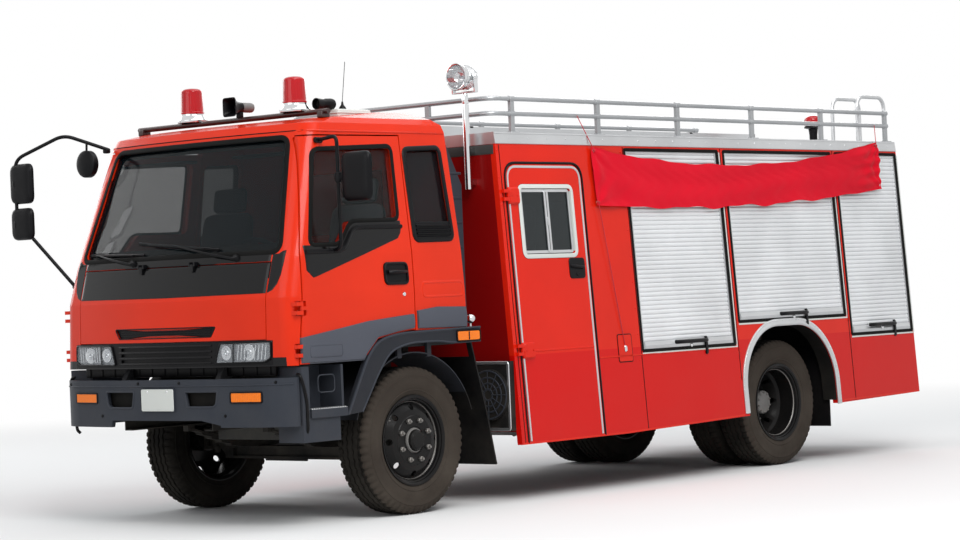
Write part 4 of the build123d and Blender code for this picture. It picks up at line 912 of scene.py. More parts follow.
def panel(name: str, low: Pairs, high: Pairs, place: Place, depth: float, back: float = -0.001,
        columns: int = 40, rows: int = 10, crown: float = 0.0) -> Thing:
    """Raised panel between a lower and an upper line, both read off along their first coordinate.

    The face is a grid: a runs along the lines, b runs from the lower to the upper one. The edges step
    down to the back over the last share of each, and a crown lifts the middle by 4 b (1 - b).

    Args:
        name: Piece name.
        low: Lower line, pairs in the surface's coordinates.
        high: Upper line.
        place: Function from two coordinates and an offset to a point.
        depth: Height of the face above the surface.
        back: Offset of the underside.
        columns: Points along.
        rows: Points across.
        crown: Extra height of the middle.

    Returns:
        The new object.
    """
    under, over = np.asarray(low, float), np.asarray(high, float)
    under, over = under[np.argsort(under[:, 0])], over[np.argsort(over[:, 0])]
    start, end = max(under[0, 0], over[0, 0]), min(under[-1, 0], over[-1, 0])
    corners = np.concatenate([under[:, 0], over[:, 0]])
    corners = corners[(corners > start) & (corners < end)]
    a = np.unique(np.concatenate([np.linspace(start, end, columns), corners, [start + 0.003, end - 0.003]]))
    b = np.concatenate([[0, 0.02], np.linspace(0.06, 0.94, rows), [0.98, 1]])
    ends = np.minimum(a - start, end - a) < 0.002
    floor, roof = np.interp(a, under[:, 0], under[:, 1]), np.interp(a, over[:, 0], over[:, 1])
    height = floor[:, None] + (roof - floor)[:, None] * b[None]
    rise = depth + crown * 4 * b * (1 - b)
    rise[[0, -1]] = depth * 0.45
    lift = np.where(ends[:, None], depth * 0.45, rise[None])
    front, rear = place(a[:, None], height, lift), place(a[:, None], height, back)
    return surface(name, capped(np.concatenate([front, rear[:, ::-1]], axis=1)), wrap_cols=True, angle=30)


def oblong(x0: float, x1: float, z0: float, z1: float, radius: float, steps: int = 6) -> Array:
    """Closed rectangle with rounded corners, as pairs."""
    return rounded([(x0, z0), (x1, z0), (x1, z1), (x0, z1)], radius, steps)


def bar(name: str, start: Spot, end: Spot, radius: float, sides: int = 14) -> Thing:
    """Straight round bar with rounded ends.

    Args:
        name: Piece name.
        start: One end.
        end: Other end.
        radius: Its radius.
        sides: Points round it.

    Returns:
        The new object.
    """
    a, b = np.asarray(start, float), np.asarray(end, float)
    length = float(np.linalg.norm(b - a))
    profile = [(0, 0), (radius * 0.7, 0), (radius, radius * 0.3), (radius, length - radius * 0.3),
        (radius * 0.7, length), (0, length)]
    return turned(name, profile, a, b - a, sides)


def bolt(name: str, at: Spot, axis: Spot, radius: float, height: float) -> Thing:
    """Hexagon bolt head: six sides with a sloped top, and a washer under it.

    Args:
        name: Piece name.
        at: Point under the head.
        axis: Direction that it faces.
        radius: Radius over its corners.
        height: Its height.

    Returns:
        The new object.
    """
    r = radius
    return turned(name, [(0, height), (r * 0.8, height), (r, height * 0.8), (r, 0.002), (r * 1.3, 0.002),
        (r * 1.3, 0), (0, 0)], at, axis, sides=6, angle=20)


def smooth_bend(points: Pairs, radius: float, steps: int = 9) -> Array:
    """Open path in space with its corners rounded."""
    return rounded(points, radius, steps, closed=False)


NODE_FINISHES = (
    (FRAME_BLACK, "chassis_frame front_axle rear_axle tow_jaw siren_box knuckle_left knuckle_right"),
    (UNDER_GREY, "powertrain chassis_tanks water_tank"), (CHARCOAL, "front_bumper cab_steps air_intake"),
    (FLARE, "cab_flares"), (TREAD_PLATE, "rear_step body_floor"), (DARK_RED, "body_bulkheads"),
    (BODY_RED_SHADED_LOW, "body_sides crew_door_left crew_door_right"), (RAIL_STEEL, "roof_rails"),
    (BLACK_TRIM, "mudflaps grille roof_bar mirror_left mirror_right"),
    (ALUMINIUM, "body_roof arch_trims rear_ladder roof_ladder"), (CHROME, "lamp_pole search_lamp"),
    (FLOOR_LINER, "cab_floor dashboard"), (CAB_NOSE, "cab_front"), (CAB_RED, "cab_back cab_roof"),
    (CAB_SIDE, "cab_sides cab_door_left cab_door_right"), (GLASS, "cab_glass"), (LID_RED, "front_lid"),
    (DOOR_GLASS, "door_glass_left door_glass_right"), (DARK_GLASS, "crew_glass_left crew_glass_right"),
    (RIM, "front_rim_left front_rim_right rear_rims_left rear_rims_right"), (LAMP_SHELL, "headlamps"),
    (SHUTTER, "roller_shutters"), (AMBER, "road_lamps"), (SEAT_CLOTH, "cab_seats crew_seat"),
    (BANNER_RED, "banner"), (TYRE, "front_tyre_left front_tyre_right rear_tyres_left rear_tyres_right"))


@dataclass
class CarriedNodes(Assembly):
    """CAD nodes whose shape stays: each gets its finish."""

    def build(self, nodes: dict[str, Thing]) -> None:
        """Put each node's material into its slots.

        Args:
            nodes: CAD nodes by name.
        """
        chosen = {name: finish for finish, names in NODE_FINISHES for name in names.split()}
        for name, node in nodes.items():
            for place in node.material_slots:
                place.material = self.shop.get(chosen[name])
            LOG.info("node %s is %s", name, chosen[name].name)


@dataclass
class CabFront(Assembly):
    """Front of the cab: windscreen seal, black band, lid slot, grille slats and wipers."""

    band_low: float = 1.5
    lid_top: float = 1.7
    screen_low: float = 1.765
    screen_high: float = 2.512
    lid_half: float = 0.905

    def build(self) -> None:
        """Make every piece of the front."""
        self._windscreen()
        self._band()
        self._slot()
        self._lower_grille()
        self._wipers()
        self._roof_edge()

    def _windscreen(self) -> None:
        """Rubber seal round the screen, and the dark printed edge inside it."""
        loop = rounded([(-0.966, self.screen_low), (0.966, self.screen_low), (0.838, self.screen_high),
            (-0.838, self.screen_high)], 0.075, 10)
        self.dress(strip("windscreen_seal", loop, on_cab_front, [(-0.016, -0.028), (-0.016, 0.001),
            (-0.009, 0.006), (0.012, 0.006), (0.018, 0.001), (0.018, -0.002), (-0.004, -0.002),
            (-0.004, -0.028)]), SEAL, "cab")
        inner = rounded([(-0.935, self.screen_low + 0.03), (0.935, self.screen_low + 0.03),
            (0.812, self.screen_high - 0.028), (-0.812, self.screen_high - 0.028)], 0.075, 10)
        self.dress(strip("windscreen_dark_edge", inner, on_cab_front,
            [(-0.026, -0.0305), (-0.026, -0.0315), (0.03, -0.0315), (0.03, -0.0305)]), GLOSS_BLACK, "cab")

    def _band(self) -> None:
        """Gloss black band below the screen: on the lid, over it, and round to both corners."""
        w = self.lid_half - 0.002
        self.dress(panel("band_on_lid", [(-w, self.band_low + 0.006), (0, self.band_low),
            (w, self.band_low + 0.006)], [(-w, self.lid_top - 0.002), (w, self.lid_top - 0.002)],
            on_cab_front, 0.0022, columns=60), GLOSS_BLACK, "service_lid")
        self.dress(panel("band_under_screen", [(-w, self.lid_top + 0.008), (w, self.lid_top + 0.008)],
            [(-w, self.screen_low - 0.012), (w, self.screen_low - 0.012)], on_cab_front, 0.0022, columns=60),
            GLOSS_BLACK, "cab")
        for side in Side:
            low = [(side.value * y, self.band_low + rise) for y, rise in ((0.913, 0.008), (0.952, 0.024),
                (0.982, 0.062), (1.0, 0.118), (1.008, 0.2), (1.01, 0.27))]
            high = [(side.value * y, self.screen_low + rise) for y, rise in ((0.913, -0.012), (0.96, -0.01),
                (0.985, 0.006), (1.01, 0.01))]
            self.dress(panel(f"band_corner_{side.word}", low, high, on_cab_front, 0.0022, columns=26),
                GLOSS_BLACK, "cab")

    def _slot(self) -> None:
        """Black inlay of the slot across the lid, with its rim."""
        loop = rounded([(-0.448, 1.238), (0.448, 1.238), (0.49, 1.302), (-0.49, 1.302)], 0.014, 6)
        inlay = plate("lid_slot_inlay", loop, on_cab_front, -0.011, 0.002, -0.0135)
        rim = strip("lid_slot_rim", loop, on_cab_front, bead(0.0035, 0.0))
        bars = [strip("lid_slot_rib", [(-0.44, z), (0.44, z)], on_cab_front,
            ridge(0.003, -0.0125, 0.002, -0.006), closed=False) for z in (1.257, 1.271, 1.285)]
        self.join("lid_slot", [inlay, rim] + bars, BLACK_TRIM, "service_lid")

    def _lower_grille(self) -> None:
        """Slats across the grille between the headlamps."""
        slats = [strip("grille_slat", [(-0.452, z), (0.452, z)], on_cab_front,
            [(-0.008, -0.012), (-0.007, 0.004), (-0.002, 0.007), (0.005, 0.002), (0.007, -0.012)],
            closed=False) for z in (1.072, 1.109, 1.147, 1.184)]
        self.join("grille_slats", slats, BLACK_TRIM, "cab")

    def _wipers(self) -> None:
        """Two wiper arms with their blades, and the covers of their pivots."""
        rows = ((0.62, 1.735, 0.04, 1.845, 0.44, 1.8, -0.36, 1.872),
            (-0.36, 1.735, -0.74, 1.805, -0.28, 1.792, -0.9, 1.812))
        for number, (py, pz, ty, tz, by, bz, ey, ez) in enumerate(rows):
            spindle = turned("wiper_spindle", [(0, 0.03), (0.014, 0.03), (0.02, 0.022), (0.024, 0.0),
                (0, 0.0)], on_cab_front(py, pz, -0.002), (0.85, 0, 0.5), 20)
            t = np.linspace(0, 1, 14)
            arm_y, arm_z = py + (ty - py) * t, pz + (tz - pz) * t
            bow = 0.016 * np.sin(np.pi * t)
            arm = tube("wiper_arm", on_cab_front(arm_y, arm_z, 0.024 + bow), 0.0095 - 0.0045 * t, 10)
            blade_y, blade_z = by + (ey - by) * t, bz + (ez - bz) * t
            blade = tube("wiper_blade", on_cab_front(blade_y, blade_z, -0.014), 0.006, 8, squash=1.6)
            bridge = tube("wiper_bridge", on_cab_front(blade_y[2:12], blade_z[2:12], 0.004 + bow[2:12]),
                0.005, 8)
            link = tube("wiper_link", on_cab_front([ty, (by + ey) / 2], [tz, (bz + ez) / 2], [0.022, 0.012]),
                0.007, 8)
            self.join(f"wiper_{number}", [spindle, arm, blade, bridge, link], BLACK_TRIM, "cab")

    def _roof_edge(self) -> None:
        """Thin dark seam under the roof pressing."""
        line = on_cab_front(np.linspace(-0.93, 0.93, 30), 2.549, 0.0)
        self.dress(tube("roof_seam_front", line, 0.0035, 6), SEAL, "cab")


@dataclass
class CabDoor(Assembly):
    """Trim of one cab door and the quarter panel behind it."""

    side: Side = Side.LEFT

    def build(self) -> None:
        """Make the side's trim."""
        self.place = on_cab_side(self.side)
        self.body = f"{self.side.word}_cab_door"
        self._window_seal()
        self._lower_corner()
        self._handle()
        self._mouldings()
        self._quarter_window()
        self._drip_rail()

    def _name(self, word: str) -> str:
        """Piece name with the side."""
        return f"{word}_{self.side.word}"

    def _window_seal(self) -> None:
        """Rubber seal round the door's window."""
        loop = rounded([(3.352, 1.798), (3.2, 2.425), (2.462, 2.455), (2.49, 1.955), (2.95, 1.95),
            (3.07, 1.8)], 0.055, 8)
        self.dress(strip(self._name("door_window_seal"), loop, self.place,
            [(-0.013, -0.03), (-0.013, 0.001), (-0.006, 0.005), (0.013, 0.005), (0.018, 0.001),
            (-0.003, -0.002), (-0.003, -0.03)]), SEAL, self.body)

    def _lower_corner(self) -> None:
        """Black panel under the window, with the raised ledge along its top."""
        low = [(2.478, 1.905), (2.492, 1.866), (2.52, 1.834), (3.3, 1.603), (3.345, 1.592), (3.402, 1.64)]
        high = [(2.478, 1.952), (2.951, 1.944), (3.066, 1.795), (3.402, 1.8)]
        self.dress(panel(self._name("door_black_panel"), low, high, self.place, 0.0024, columns=60),
            GLOSS_BLACK, self.body)
        ledge = rounded([(2.48, 1.914), (2.935, 1.912), (3.055, 1.762), (3.398, 1.757)], 0.05, 8,
            closed=False)
        self.dress(strip(self._name("door_ledge"), ledge, self.place,
            [(-0.016, 0.001), (-0.013, 0.013), (-0.004, 0.02), (0.008, 0.02), (0.015, 0.001)], closed=False),
            BLACK_TRIM, self.body)

    def _handle(self) -> None:
        """Pull handle in its bezel, and the lock below it."""
        bezel = strip("handle_bezel", oblong(2.474, 2.684, 1.538, 1.666, 0.03), self.place,
            [(-0.012, 0.0), (-0.01, 0.009), (-0.003, 0.013), (0.006, 0.01), (0.009, 0.0)])
        pan = plate("handle_pan", oblong(2.478, 2.68, 1.542, 1.662, 0.028), self.place, 0.003, 0.002, -0.001)
        t = np.linspace(0, 1, 15)
        rise = 0.014 + 0.026 * np.sin(np.pi * t) ** 0.5
        grip = tube("handle_grip", self.place(2.49 + 0.165 * t, 1.612, rise), 0.012 + 0.008 * t, 12,
            squash=0.75)
        self.join(self._name("door_handle"), [bezel, pan, grip], BLACK_TRIM, self.body)
        self.dress(turned(self._name("door_lock"), [(0, 0.003), (0.004, 0.003), (0.005, 0.006),
            (0.012, 0.006), (0.015, 0.001), (0.015, 0), (0, 0)], self.place(2.517, 1.463, -0.001),
            (0, self.side.value, 0), 24), CHROME, self.body)

    def _mouldings(self) -> None:
        """Grey panels along the foot of the door and behind it, and their pressed outlines."""
        low = [(2.441, 1.236), (2.59, 1.22), (2.795, 1.188), (2.911, 1.084), (2.938, 1.052), (3.496, 1.052)]
        high = [(2.441, 1.33), (2.873, 1.298), (3.1, 1.266), (3.496, 1.213)]
        self.dress(panel(self._name("door_grey_panel"), low, high, self.place, 0.011, columns=70,
            crown=0.006), GREY_MOULD, self.body)
        self.dress(strip(self._name("door_grey_outline"), oblong(3.142, 3.432, 1.085, 1.158, 0.018),
            self.place, [(-0.003, 0.01), (0.0, 0.0185), (0.003, 0.01)]), GREY_MOULD, self.body)
        low = [(1.922, 1.224), (2.405, 1.232)]
        high = [(1.922, 1.362), (2.2, 1.37), (2.405, 1.35)]
        self.dress(panel(self._name("quarter_grey_panel"), low, high, self.place, 0.011, crown=0.006),
            GREY_MOULD, "cab")
        self.dress(strip(self._name("quarter_pressing"), oblong(1.935, 2.33, 1.44, 1.535, 0.03), self.place,
            ridge(0.01, -0.001, 0.004, 0.004)), CAB_RED, "cab")

    def _quarter_window(self) -> None:
        """Black frame of the quarter window and its louvre below."""
        loop = rounded([(2.352, 2.435), (1.99, 2.45), (1.975, 1.82), (2.36, 1.815)], 0.05, 8)
        pieces = [strip("quarter_frame", loop, self.place, [(-0.014, -0.028), (-0.014, 0.003), (-0.006, 0.01),
            (0.016, 0.01), (0.022, 0.001), (-0.002, -0.003), (-0.002, -0.028)])]
        pieces.append(panel("louvre_base", [(1.985, 1.822), (2.35, 1.817)], [(1.985, 1.942), (2.35, 1.942)],
            self.place, 0.002, back=-0.024, columns=12))
        pieces += [strip("louvre_slat", [(2.004, z), (2.332, z - 0.001)], self.place,
            [(-0.009, 0.001), (-0.006, 0.012), (0.001, 0.015), (0.009, 0.001)], closed=False)
            for z in (1.838, 1.864, 1.89, 1.916)]
        self.join(self._name("quarter_window_frame"), pieces, BLACK_TRIM, "cab")

    def _drip_rail(self) -> None:
        """Gutter over the door and quarter window."""
        line = self.place(np.linspace(1.925, 3.225, 30), 2.5445, 0.002)
        self.dress(tube(self._name("drip_rail"), line, 0.006, 8), CAB_RED, "cab")


BUMPER_NOSE, BUMPER_SETBACK, BUMPER_BOW, BUMPER_END = 3.715, 0.065, 0.881, 3.534
BUMPER_HALF = 1.111


def on_bumper(y: Reals, z: Reals, out: Reals) -> Array:
    """Point on the bumper seen from the front: a bow through the nose, then a corner arc at each end.

    The bow's radius is (w*w + s*s) / 2s; the corner arc starts along it and ends on the bumper's side,
    with the radius chord / (2 sin b), b being the angle from its first tangent to its chord.

    Args:
        y: Width coordinate.
        z: Height.
        out: Offset forwards.

    Returns:
        Points.
    """
    radius = (BUMPER_BOW ** 2 + BUMPER_SETBACK ** 2) / (2 * BUMPER_SETBACK)
    slope = math.asin(BUMPER_BOW / radius)
    edge = BUMPER_NOSE - BUMPER_SETBACK
    run, rise = edge - BUMPER_END, BUMPER_HALF - BUMPER_BOW
    turn = math.atan2(run, rise)
    corner = math.hypot(run, rise) / (2 * math.sin(turn - slope))
    across = np.abs(y)
    flat_x = BUMPER_NOSE - radius + np.sqrt(np.maximum(radius ** 2 - across ** 2, 0))
    start = np.pi / 2 + slope
    bent = np.arccos(np.clip(np.cos(start) - (across - BUMPER_BOW) / corner, -1, 1))
    bent_x = edge + corner * (np.sin(bent) - np.sin(start))
    return xyz(np.where(across <= BUMPER_BOW, flat_x, bent_x) + out, y, z)


@dataclass
class HeadLamp(Assembly):
    """One headlamp: two bowls, flutes, a division, a rim and a clear cover."""

    side: Side = Side.LEFT

    def build(self) -> None:
        """Make the lamp's rim, division, bulbs and cover."""
        s = self.side.value
        outline = rounded([(s * 0.489, 1.066), (s * 0.531, 1.194), (s * 0.948, 1.198), (s * 0.948, 1.092),
            (s * 0.898, 1.069)], 0.016, 6)
        self.dress(plate(f"headlamp_cover_{self.side.word}", outline, on_cab_front, 0.01, 0.012, 0.006),
            CLEAR_LENS, "cab")
        self.dress(strip(f"headlamp_rim_{self.side.word}", outline, on_cab_front,
            [(-0.005, 0.0), (-0.005, 0.009), (0.0, 0.012), (0.005, 0.009), (0.005, 0.0)]), BLACK_TRIM, "cab")
        parts = []
        for y, radius in ((0.585, 0.044), (0.775, 0.05)):
            at = on_cab_front(s * y, 1.132, 0.0012)
            parts.append(turned("bowl", [(0, 0.0005), (radius * 0.25, 0.0005), (radius * 0.3, 0.004),
                (radius * 0.28, 0.006), (radius * 0.45, 0.0012), (radius * 0.8, 0.0026), (radius, 0.0052),
                (radius * 1.04, 0.0052), (radius * 1.04, 0), (0, 0)], at, (1, 0, 0), 36))
        for k in range(9):
            y = s * (0.672 + 0.028 * k)
            parts.append(strip("flute", [(y, 1.085), (y + s * 0.012, 1.182)], on_cab_front,
                [(-0.004, 0.0008), (0, 0.0052), (0.004, 0.0008)], closed=False))
        self.join(f"headlamp_bowls_{self.side.word}", parts, BOWL, "cab")
        self.dress(strip(f"headlamp_division_{self.side.word}", [(s * 0.643, 1.07), (s * 0.648, 1.195)],
            on_cab_front, ridge(0.004, 0.0, 0.003, 0.0105), closed=False), BLACK_TRIM, "cab")


@dataclass
class Bumper(Assembly):
    """Front bumper's turn lamps, blank plate, mouths, crease and bolts."""

    def build(self) -> None:
        """Make the bumper's pieces."""
        for side in Side:
            s = side.value
            loop = oblong(0.652, 0.905, 0.814, 0.88, 0.012) * (s, 1.0)
            self.dress(plate(f"turn_lens_{side.word}", loop, on_bumper, 0.004, 0.006, -0.012), AMBER)
            ribs = [strip("rib", [(s * y, 0.82), (s * y, 0.874)], on_bumper,
                [(-0.0035, 0.003), (0, 0.0058), (0.0035, 0.003)], closed=False)
                for y in np.linspace(0.672, 0.885, 16)]
            self.join(f"turn_lens_ribs_{side.word}", ribs, AMBER)
            self.dress(strip(f"turn_bezel_{side.word}", loop, on_bumper,
                [(-0.006, -0.004), (-0.005, 0.006), (0.004, 0.006), (0.006, -0.004)]), BLACK_TRIM)
            mouth = rounded([(s * 0.247, 0.891), (s * 0.543, 0.891), (s * 0.528, 0.802), (s * 0.499, 0.784),
                (s * 0.267, 0.784)], 0.016, 6)
            self.dress(strip(f"bumper_mouth_{side.word}", mouth, on_bumper,
                [(-0.01, -0.012), (-0.009, 0.002), (-0.002, 0.005), (0.006, 0.001), (0.002, -0.012)]),
                CHARCOAL)
            y0, y1 = sorted((s * 0.235, s * 0.555))
            self.dress(plate(f"bumper_mouth_back_{side.word}", oblong(y0, y1, 0.775, 0.9, 0.01), on_bumper,
                -0.04, 0.003, -0.046), SEAL)
        self._plate()
        crease = on_bumper(np.linspace(-1.095, 1.095, 70), 0.925, -0.001)
        self.dress(tube("bumper_crease", crease, 0.006, 8), CHARCOAL)
        bolts = [bolt("bumper_bolt", on_bumper(y, z, -0.001), (1, 0, 0), 0.009, 0.008)
            for y, z in ((-0.6, 0.73), (0.6, 0.73), (-0.2, 0.945), (0.2, 0.945), (-1.0, 0.94), (1.0, 0.94))]
        self.join("bumper_bolts", bolts, BLACK_TRIM)

    def _plate(self) -> None:
        """Blank number plate with a pressed rim and two screws."""
        flat = upright_x(3.7252)
        loop = oblong(-0.157, 0.157, 0.763, 0.907, 0.012)
        self.dress(plate("number_plate_blank", loop, flat, 0.002, 0.002, -0.006), PLATE_WHITE)
        self.dress(strip("number_plate_rim", oblong(-0.153, 0.153, 0.767, 0.903, 0.01), flat,
            [(-0.002, 0.001), (0, 0.0036), (0.002, 0.001)]), PLATE_WHITE)
        screws = [turned("screw", [(0, 0.003), (0.004, 0.003), (0.0075, 0.001), (0.0075, 0), (0, 0)],
            (3.7265, y, 0.89), (1, 0, 0), 16) for y in (-0.095, 0.095)]
        self.join("number_plate_screws", screws, CHROME)


@dataclass
class SideSkirt(Assembly):
    """Cab step area on one side: tread, grab tube, arch lamp and mouldings."""

    side: Side = Side.LEFT
    plane_y: float = 1.14
    tread_y: float = 1.109

    def build(self) -> None:
        """Make the pieces round the step."""
        s = self.side.value
        word = self.side.word
        y = s * self.tread_y
        tread = [brick("tooth", (x, y - 0.03, 0.754), (x + 0.01, y + 0.03, 0.762), 0.002)
            for x in 3.128 + 0.0215 * np.arange(15)]
        y0, y1 = sorted((s * 1.075, s * 1.1395))
        base = brick("tread_base", (3.115, y0, 0.7515), (3.438, y1, 0.757), 0.002)
        nosing = brick("tread_nosing", (3.115, s * 1.1375 - 0.0025, 0.722),
            (3.438, s * 1.1375 + 0.0025, 0.757), 0.001)
        self.join(f"step_tread_{word}", [base, nosing] + tread, ALUMINIUM)
        grab = smooth_bend([(3.5, s * 1.085, 0.985), (3.512, s * 1.122, 0.975), (3.492, s * 1.13, 0.9),
            (3.47, s * 1.13, 0.8), (3.47, s * 1.13, 0.62), (3.468, s * 1.1, 0.6)], 0.03)
        self.dress(tube(f"step_grab_{word}", grab, 0.011, 12), BLACK_TRIM)
        side_plane = flank(self.plane_y, s)
        self.dress(plate(f"side_lamp_{word}", oblong(1.812, 2.036, 1.134, 1.196, 0.012), side_plane, 0.0105,
            0.006, 0.0004), AMBER)
        ribs = [strip("rib", [(x, 1.142), (x, 1.188)], side_plane, [(-0.003, 0.01), (0, 0.0112),
            (0.003, 0.01)], closed=False) for x in np.linspace(1.83, 2.02, 14)]
        self.join(f"side_lamp_ribs_{word}", ribs, AMBER)
        rim = strip("side_lamp_rim", oblong(1.808, 2.04, 1.13, 1.2, 0.014), side_plane,
            [(-0.005, -0.001), (-0.004, 0.01), (0.002, 0.01), (0.004, -0.001)])
        post = brick("side_lamp_post", (1.918, s * 1.146 - 0.0055, 1.136), (1.93, s * 1.146 + 0.0055, 1.194),
            0.002)
        self.join(f"side_lamp_frame_{word}", [rim, post], BLACK_TRIM)
        bullet = turned("marker_lamp", [(0, 0.03), (0.01, 0.029), (0.022, 0.024), (0.03, 0.012),
            (0.032, 0.004), (0.034, 0.0), (0.033, -0.01), (0.026, -0.03), (0.012, -0.044), (0, -0.047)],
            (1.852, s * 1.105, 1.277), (0, s, 0), 32)
        stalk = bar("marker_stalk", (1.852, s * 1.1, 1.212), (1.852, s * 1.1, 1.262), 0.008, 12)
        self.join(f"marker_lamp_{word}", [bullet, stalk], CHROME)
        outer = rounded([(3.104, 0.703), (2.905, 1.062), (2.79, 1.168), (2.583, 1.202), (1.8, 1.213)], 0.1,
            10, closed=False)
        self.dress(strip(f"arch_edge_{word}", outer, side_plane, [(-0.012, -0.01), (-0.012, 0.003),
            (-0.004, 0.007), (0.006, 0.001), (0.006, -0.01)], closed=False), CHARCOAL)
        lip = rounded([(1.8, 1.125), (2.072, 1.121), (2.21, 1.14), (2.5, 1.14), (2.686, 1.096),
            (2.803, 0.969), (2.976, 0.714)], 0.08, 10, closed=False)
        self.dress(strip(f"arch_lip_{word}", lip, side_plane, [(-0.006, -0.03), (-0.006, 0.001), (0.0, 0.005),
            (0.008, 0.001), (0.008, -0.03)], closed=False), CHARCOAL)
        self.dress(strip(f"skirt_pressing_{word}", oblong(3.21, 3.36, 0.86, 0.97, 0.03), flank(1.126, s),
            [(-0.004, -0.001), (0, 0.003), (0.004, -0.001)]), CHARCOAL)


@dataclass
class Mirrors(Assembly):
    """Door mirror on the left; two heads, a round bowl and their hoop on the right."""

    def build(self) -> None:
        """Make the mirrors."""
        left = smooth_bend([(3.145, 0.996, 2.48), (3.145, 1.168, 2.5), (3.145, 1.17, 1.775),
            (3.145, 1.088, 1.762)], 0.05, 12)
        pole = tube("mirror_pole_left", left, 0.0125, 14)
        feet = [brick("mirror_foot", (3.112, 0.99, 2.462), (3.178, 1.012, 2.5), 0.008),
            brick("mirror_foot", (3.108, 1.08, 1.742), (3.182, 1.104, 1.785), 0.01),
            turned("mirror_joint", [(0, -0.035), (0.022, -0.03), (0.026, 0), (0.022, 0.03), (0, 0.035)],
            (3.145, 1.17, 2.23), (0, 0, 1), 20), brick("mirror_arm", (3.136, 1.168, 2.212),
            (3.154, 1.235, 2.248), 0.006)]
        self.join("mirror_pole_left", [pole] + feet, BLACK_TRIM, "left_cab_door", "mirror_left")
        self._head("mirror_head_left", 3.125, 1.2, 1.46, 2.072, 2.388, "left_cab_door")
        hoop = smooth_bend([(3.24, -0.95, 2.545), (3.5, -1.11, 2.655), (3.7, -1.4, 2.5), (3.7, -1.4, 2.08),
            (3.455, -1.092, 1.597)], 0.07, 12)
        pieces = [tube("hoop", hoop, 0.0125, 14), bar("stay", (3.37, -1.025, 2.6), (3.366, -1.038, 2.47),
            0.008), bar("drop", (3.7, -1.4, 2.09), (3.7, -1.4, 1.992), 0.0125)]
        pieces += [turned("mirror_joint", [(0, -0.03), (0.021, -0.026), (0.025, 0), (0.021, 0.026),
            (0, 0.03)], (3.7, -1.4, z), (0, 0, 1), 20) for z in (2.33, 2.05)]
        pieces += [brick("hoop_foot", (3.225, -0.985, 2.52), (3.262, -0.945, 2.556), 0.008),
            brick("hoop_foot", (3.436, -1.11, 1.592), (3.478, -1.082, 1.628), 0.008)]
        self.join("mirror_frame_right", pieces, BLACK_TRIM, "cab", "mirror_right")
        self._head("mirror_head_right_upper", 3.678, -1.46, -1.225, 2.192, 2.468, "cab")
        self._head("mirror_head_right_lower", 3.678, -1.46, -1.235, 1.942, 2.163, "cab")
        t = np.linspace(0, np.pi / 2, 10)
        shell = [(0.094 * math.sin(a), 0.02 + 0.018 * math.cos(a)) for a in t]
        self.dress(turned("mirror_bowl_right", shell + [(0.094, -0.018), (0.088, -0.0195), (0, -0.0195)],
            (3.355, -1.04, 2.45), (1, 0, 0), 40), BLACK_TRIM, "cab")
        self.dress(turned("mirror_bowl_glass", [(0, 0.0), (0.05, 0.001), (0.085, 0.004), (0.085, 0.006),
            (0, 0.006)], (3.339, -1.04, 2.45), (-1, 0, 0), 40), MIRROR, "cab")

    def _head(self, name: str, x: float, y0: float, y1: float, z0: float, z1: float, body: str) -> None:
        """Rounded housing with its glass towards the driver.

        Args:
            name: Piece name.
            x: Rear face.
            y0: Lower y.
            y1: Upper y.
            z0: Lower z.
            z1: Upper z.
            body: CAD body it rides on.
        """
        loop = oblong(y0 + 0.004, y1 - 0.004, z0, z1, 0.055, 8)
        middle = loop.mean(axis=0)
        share = np.array([0.0, 0.5, 0.78, 0.9, 0.965, 1.0, 1.0, 0.985, 0.94, 0.94, 0.0])
        depth = np.array([0.043, 0.042, 0.039, 0.034, 0.026, 0.014, 0.002, 0.0, 0.0, 0.004, 0.004])
        flat = middle + share[:, None, None] * (loop - middle)[None]
        shell = xyz(x + depth[:, None], flat[..., 0], flat[..., 1])
        self.dress(surface(name, shell, wrap_cols=True), BLACK_TRIM, body)
        self.dress(plate(f"{name}_glass", middle + 0.93 * (loop - middle),
            lambda a, b, out: xyz(x + 0.0035 - out, a, b), 0.0015, 0.003, 0.0), MIRROR, body)


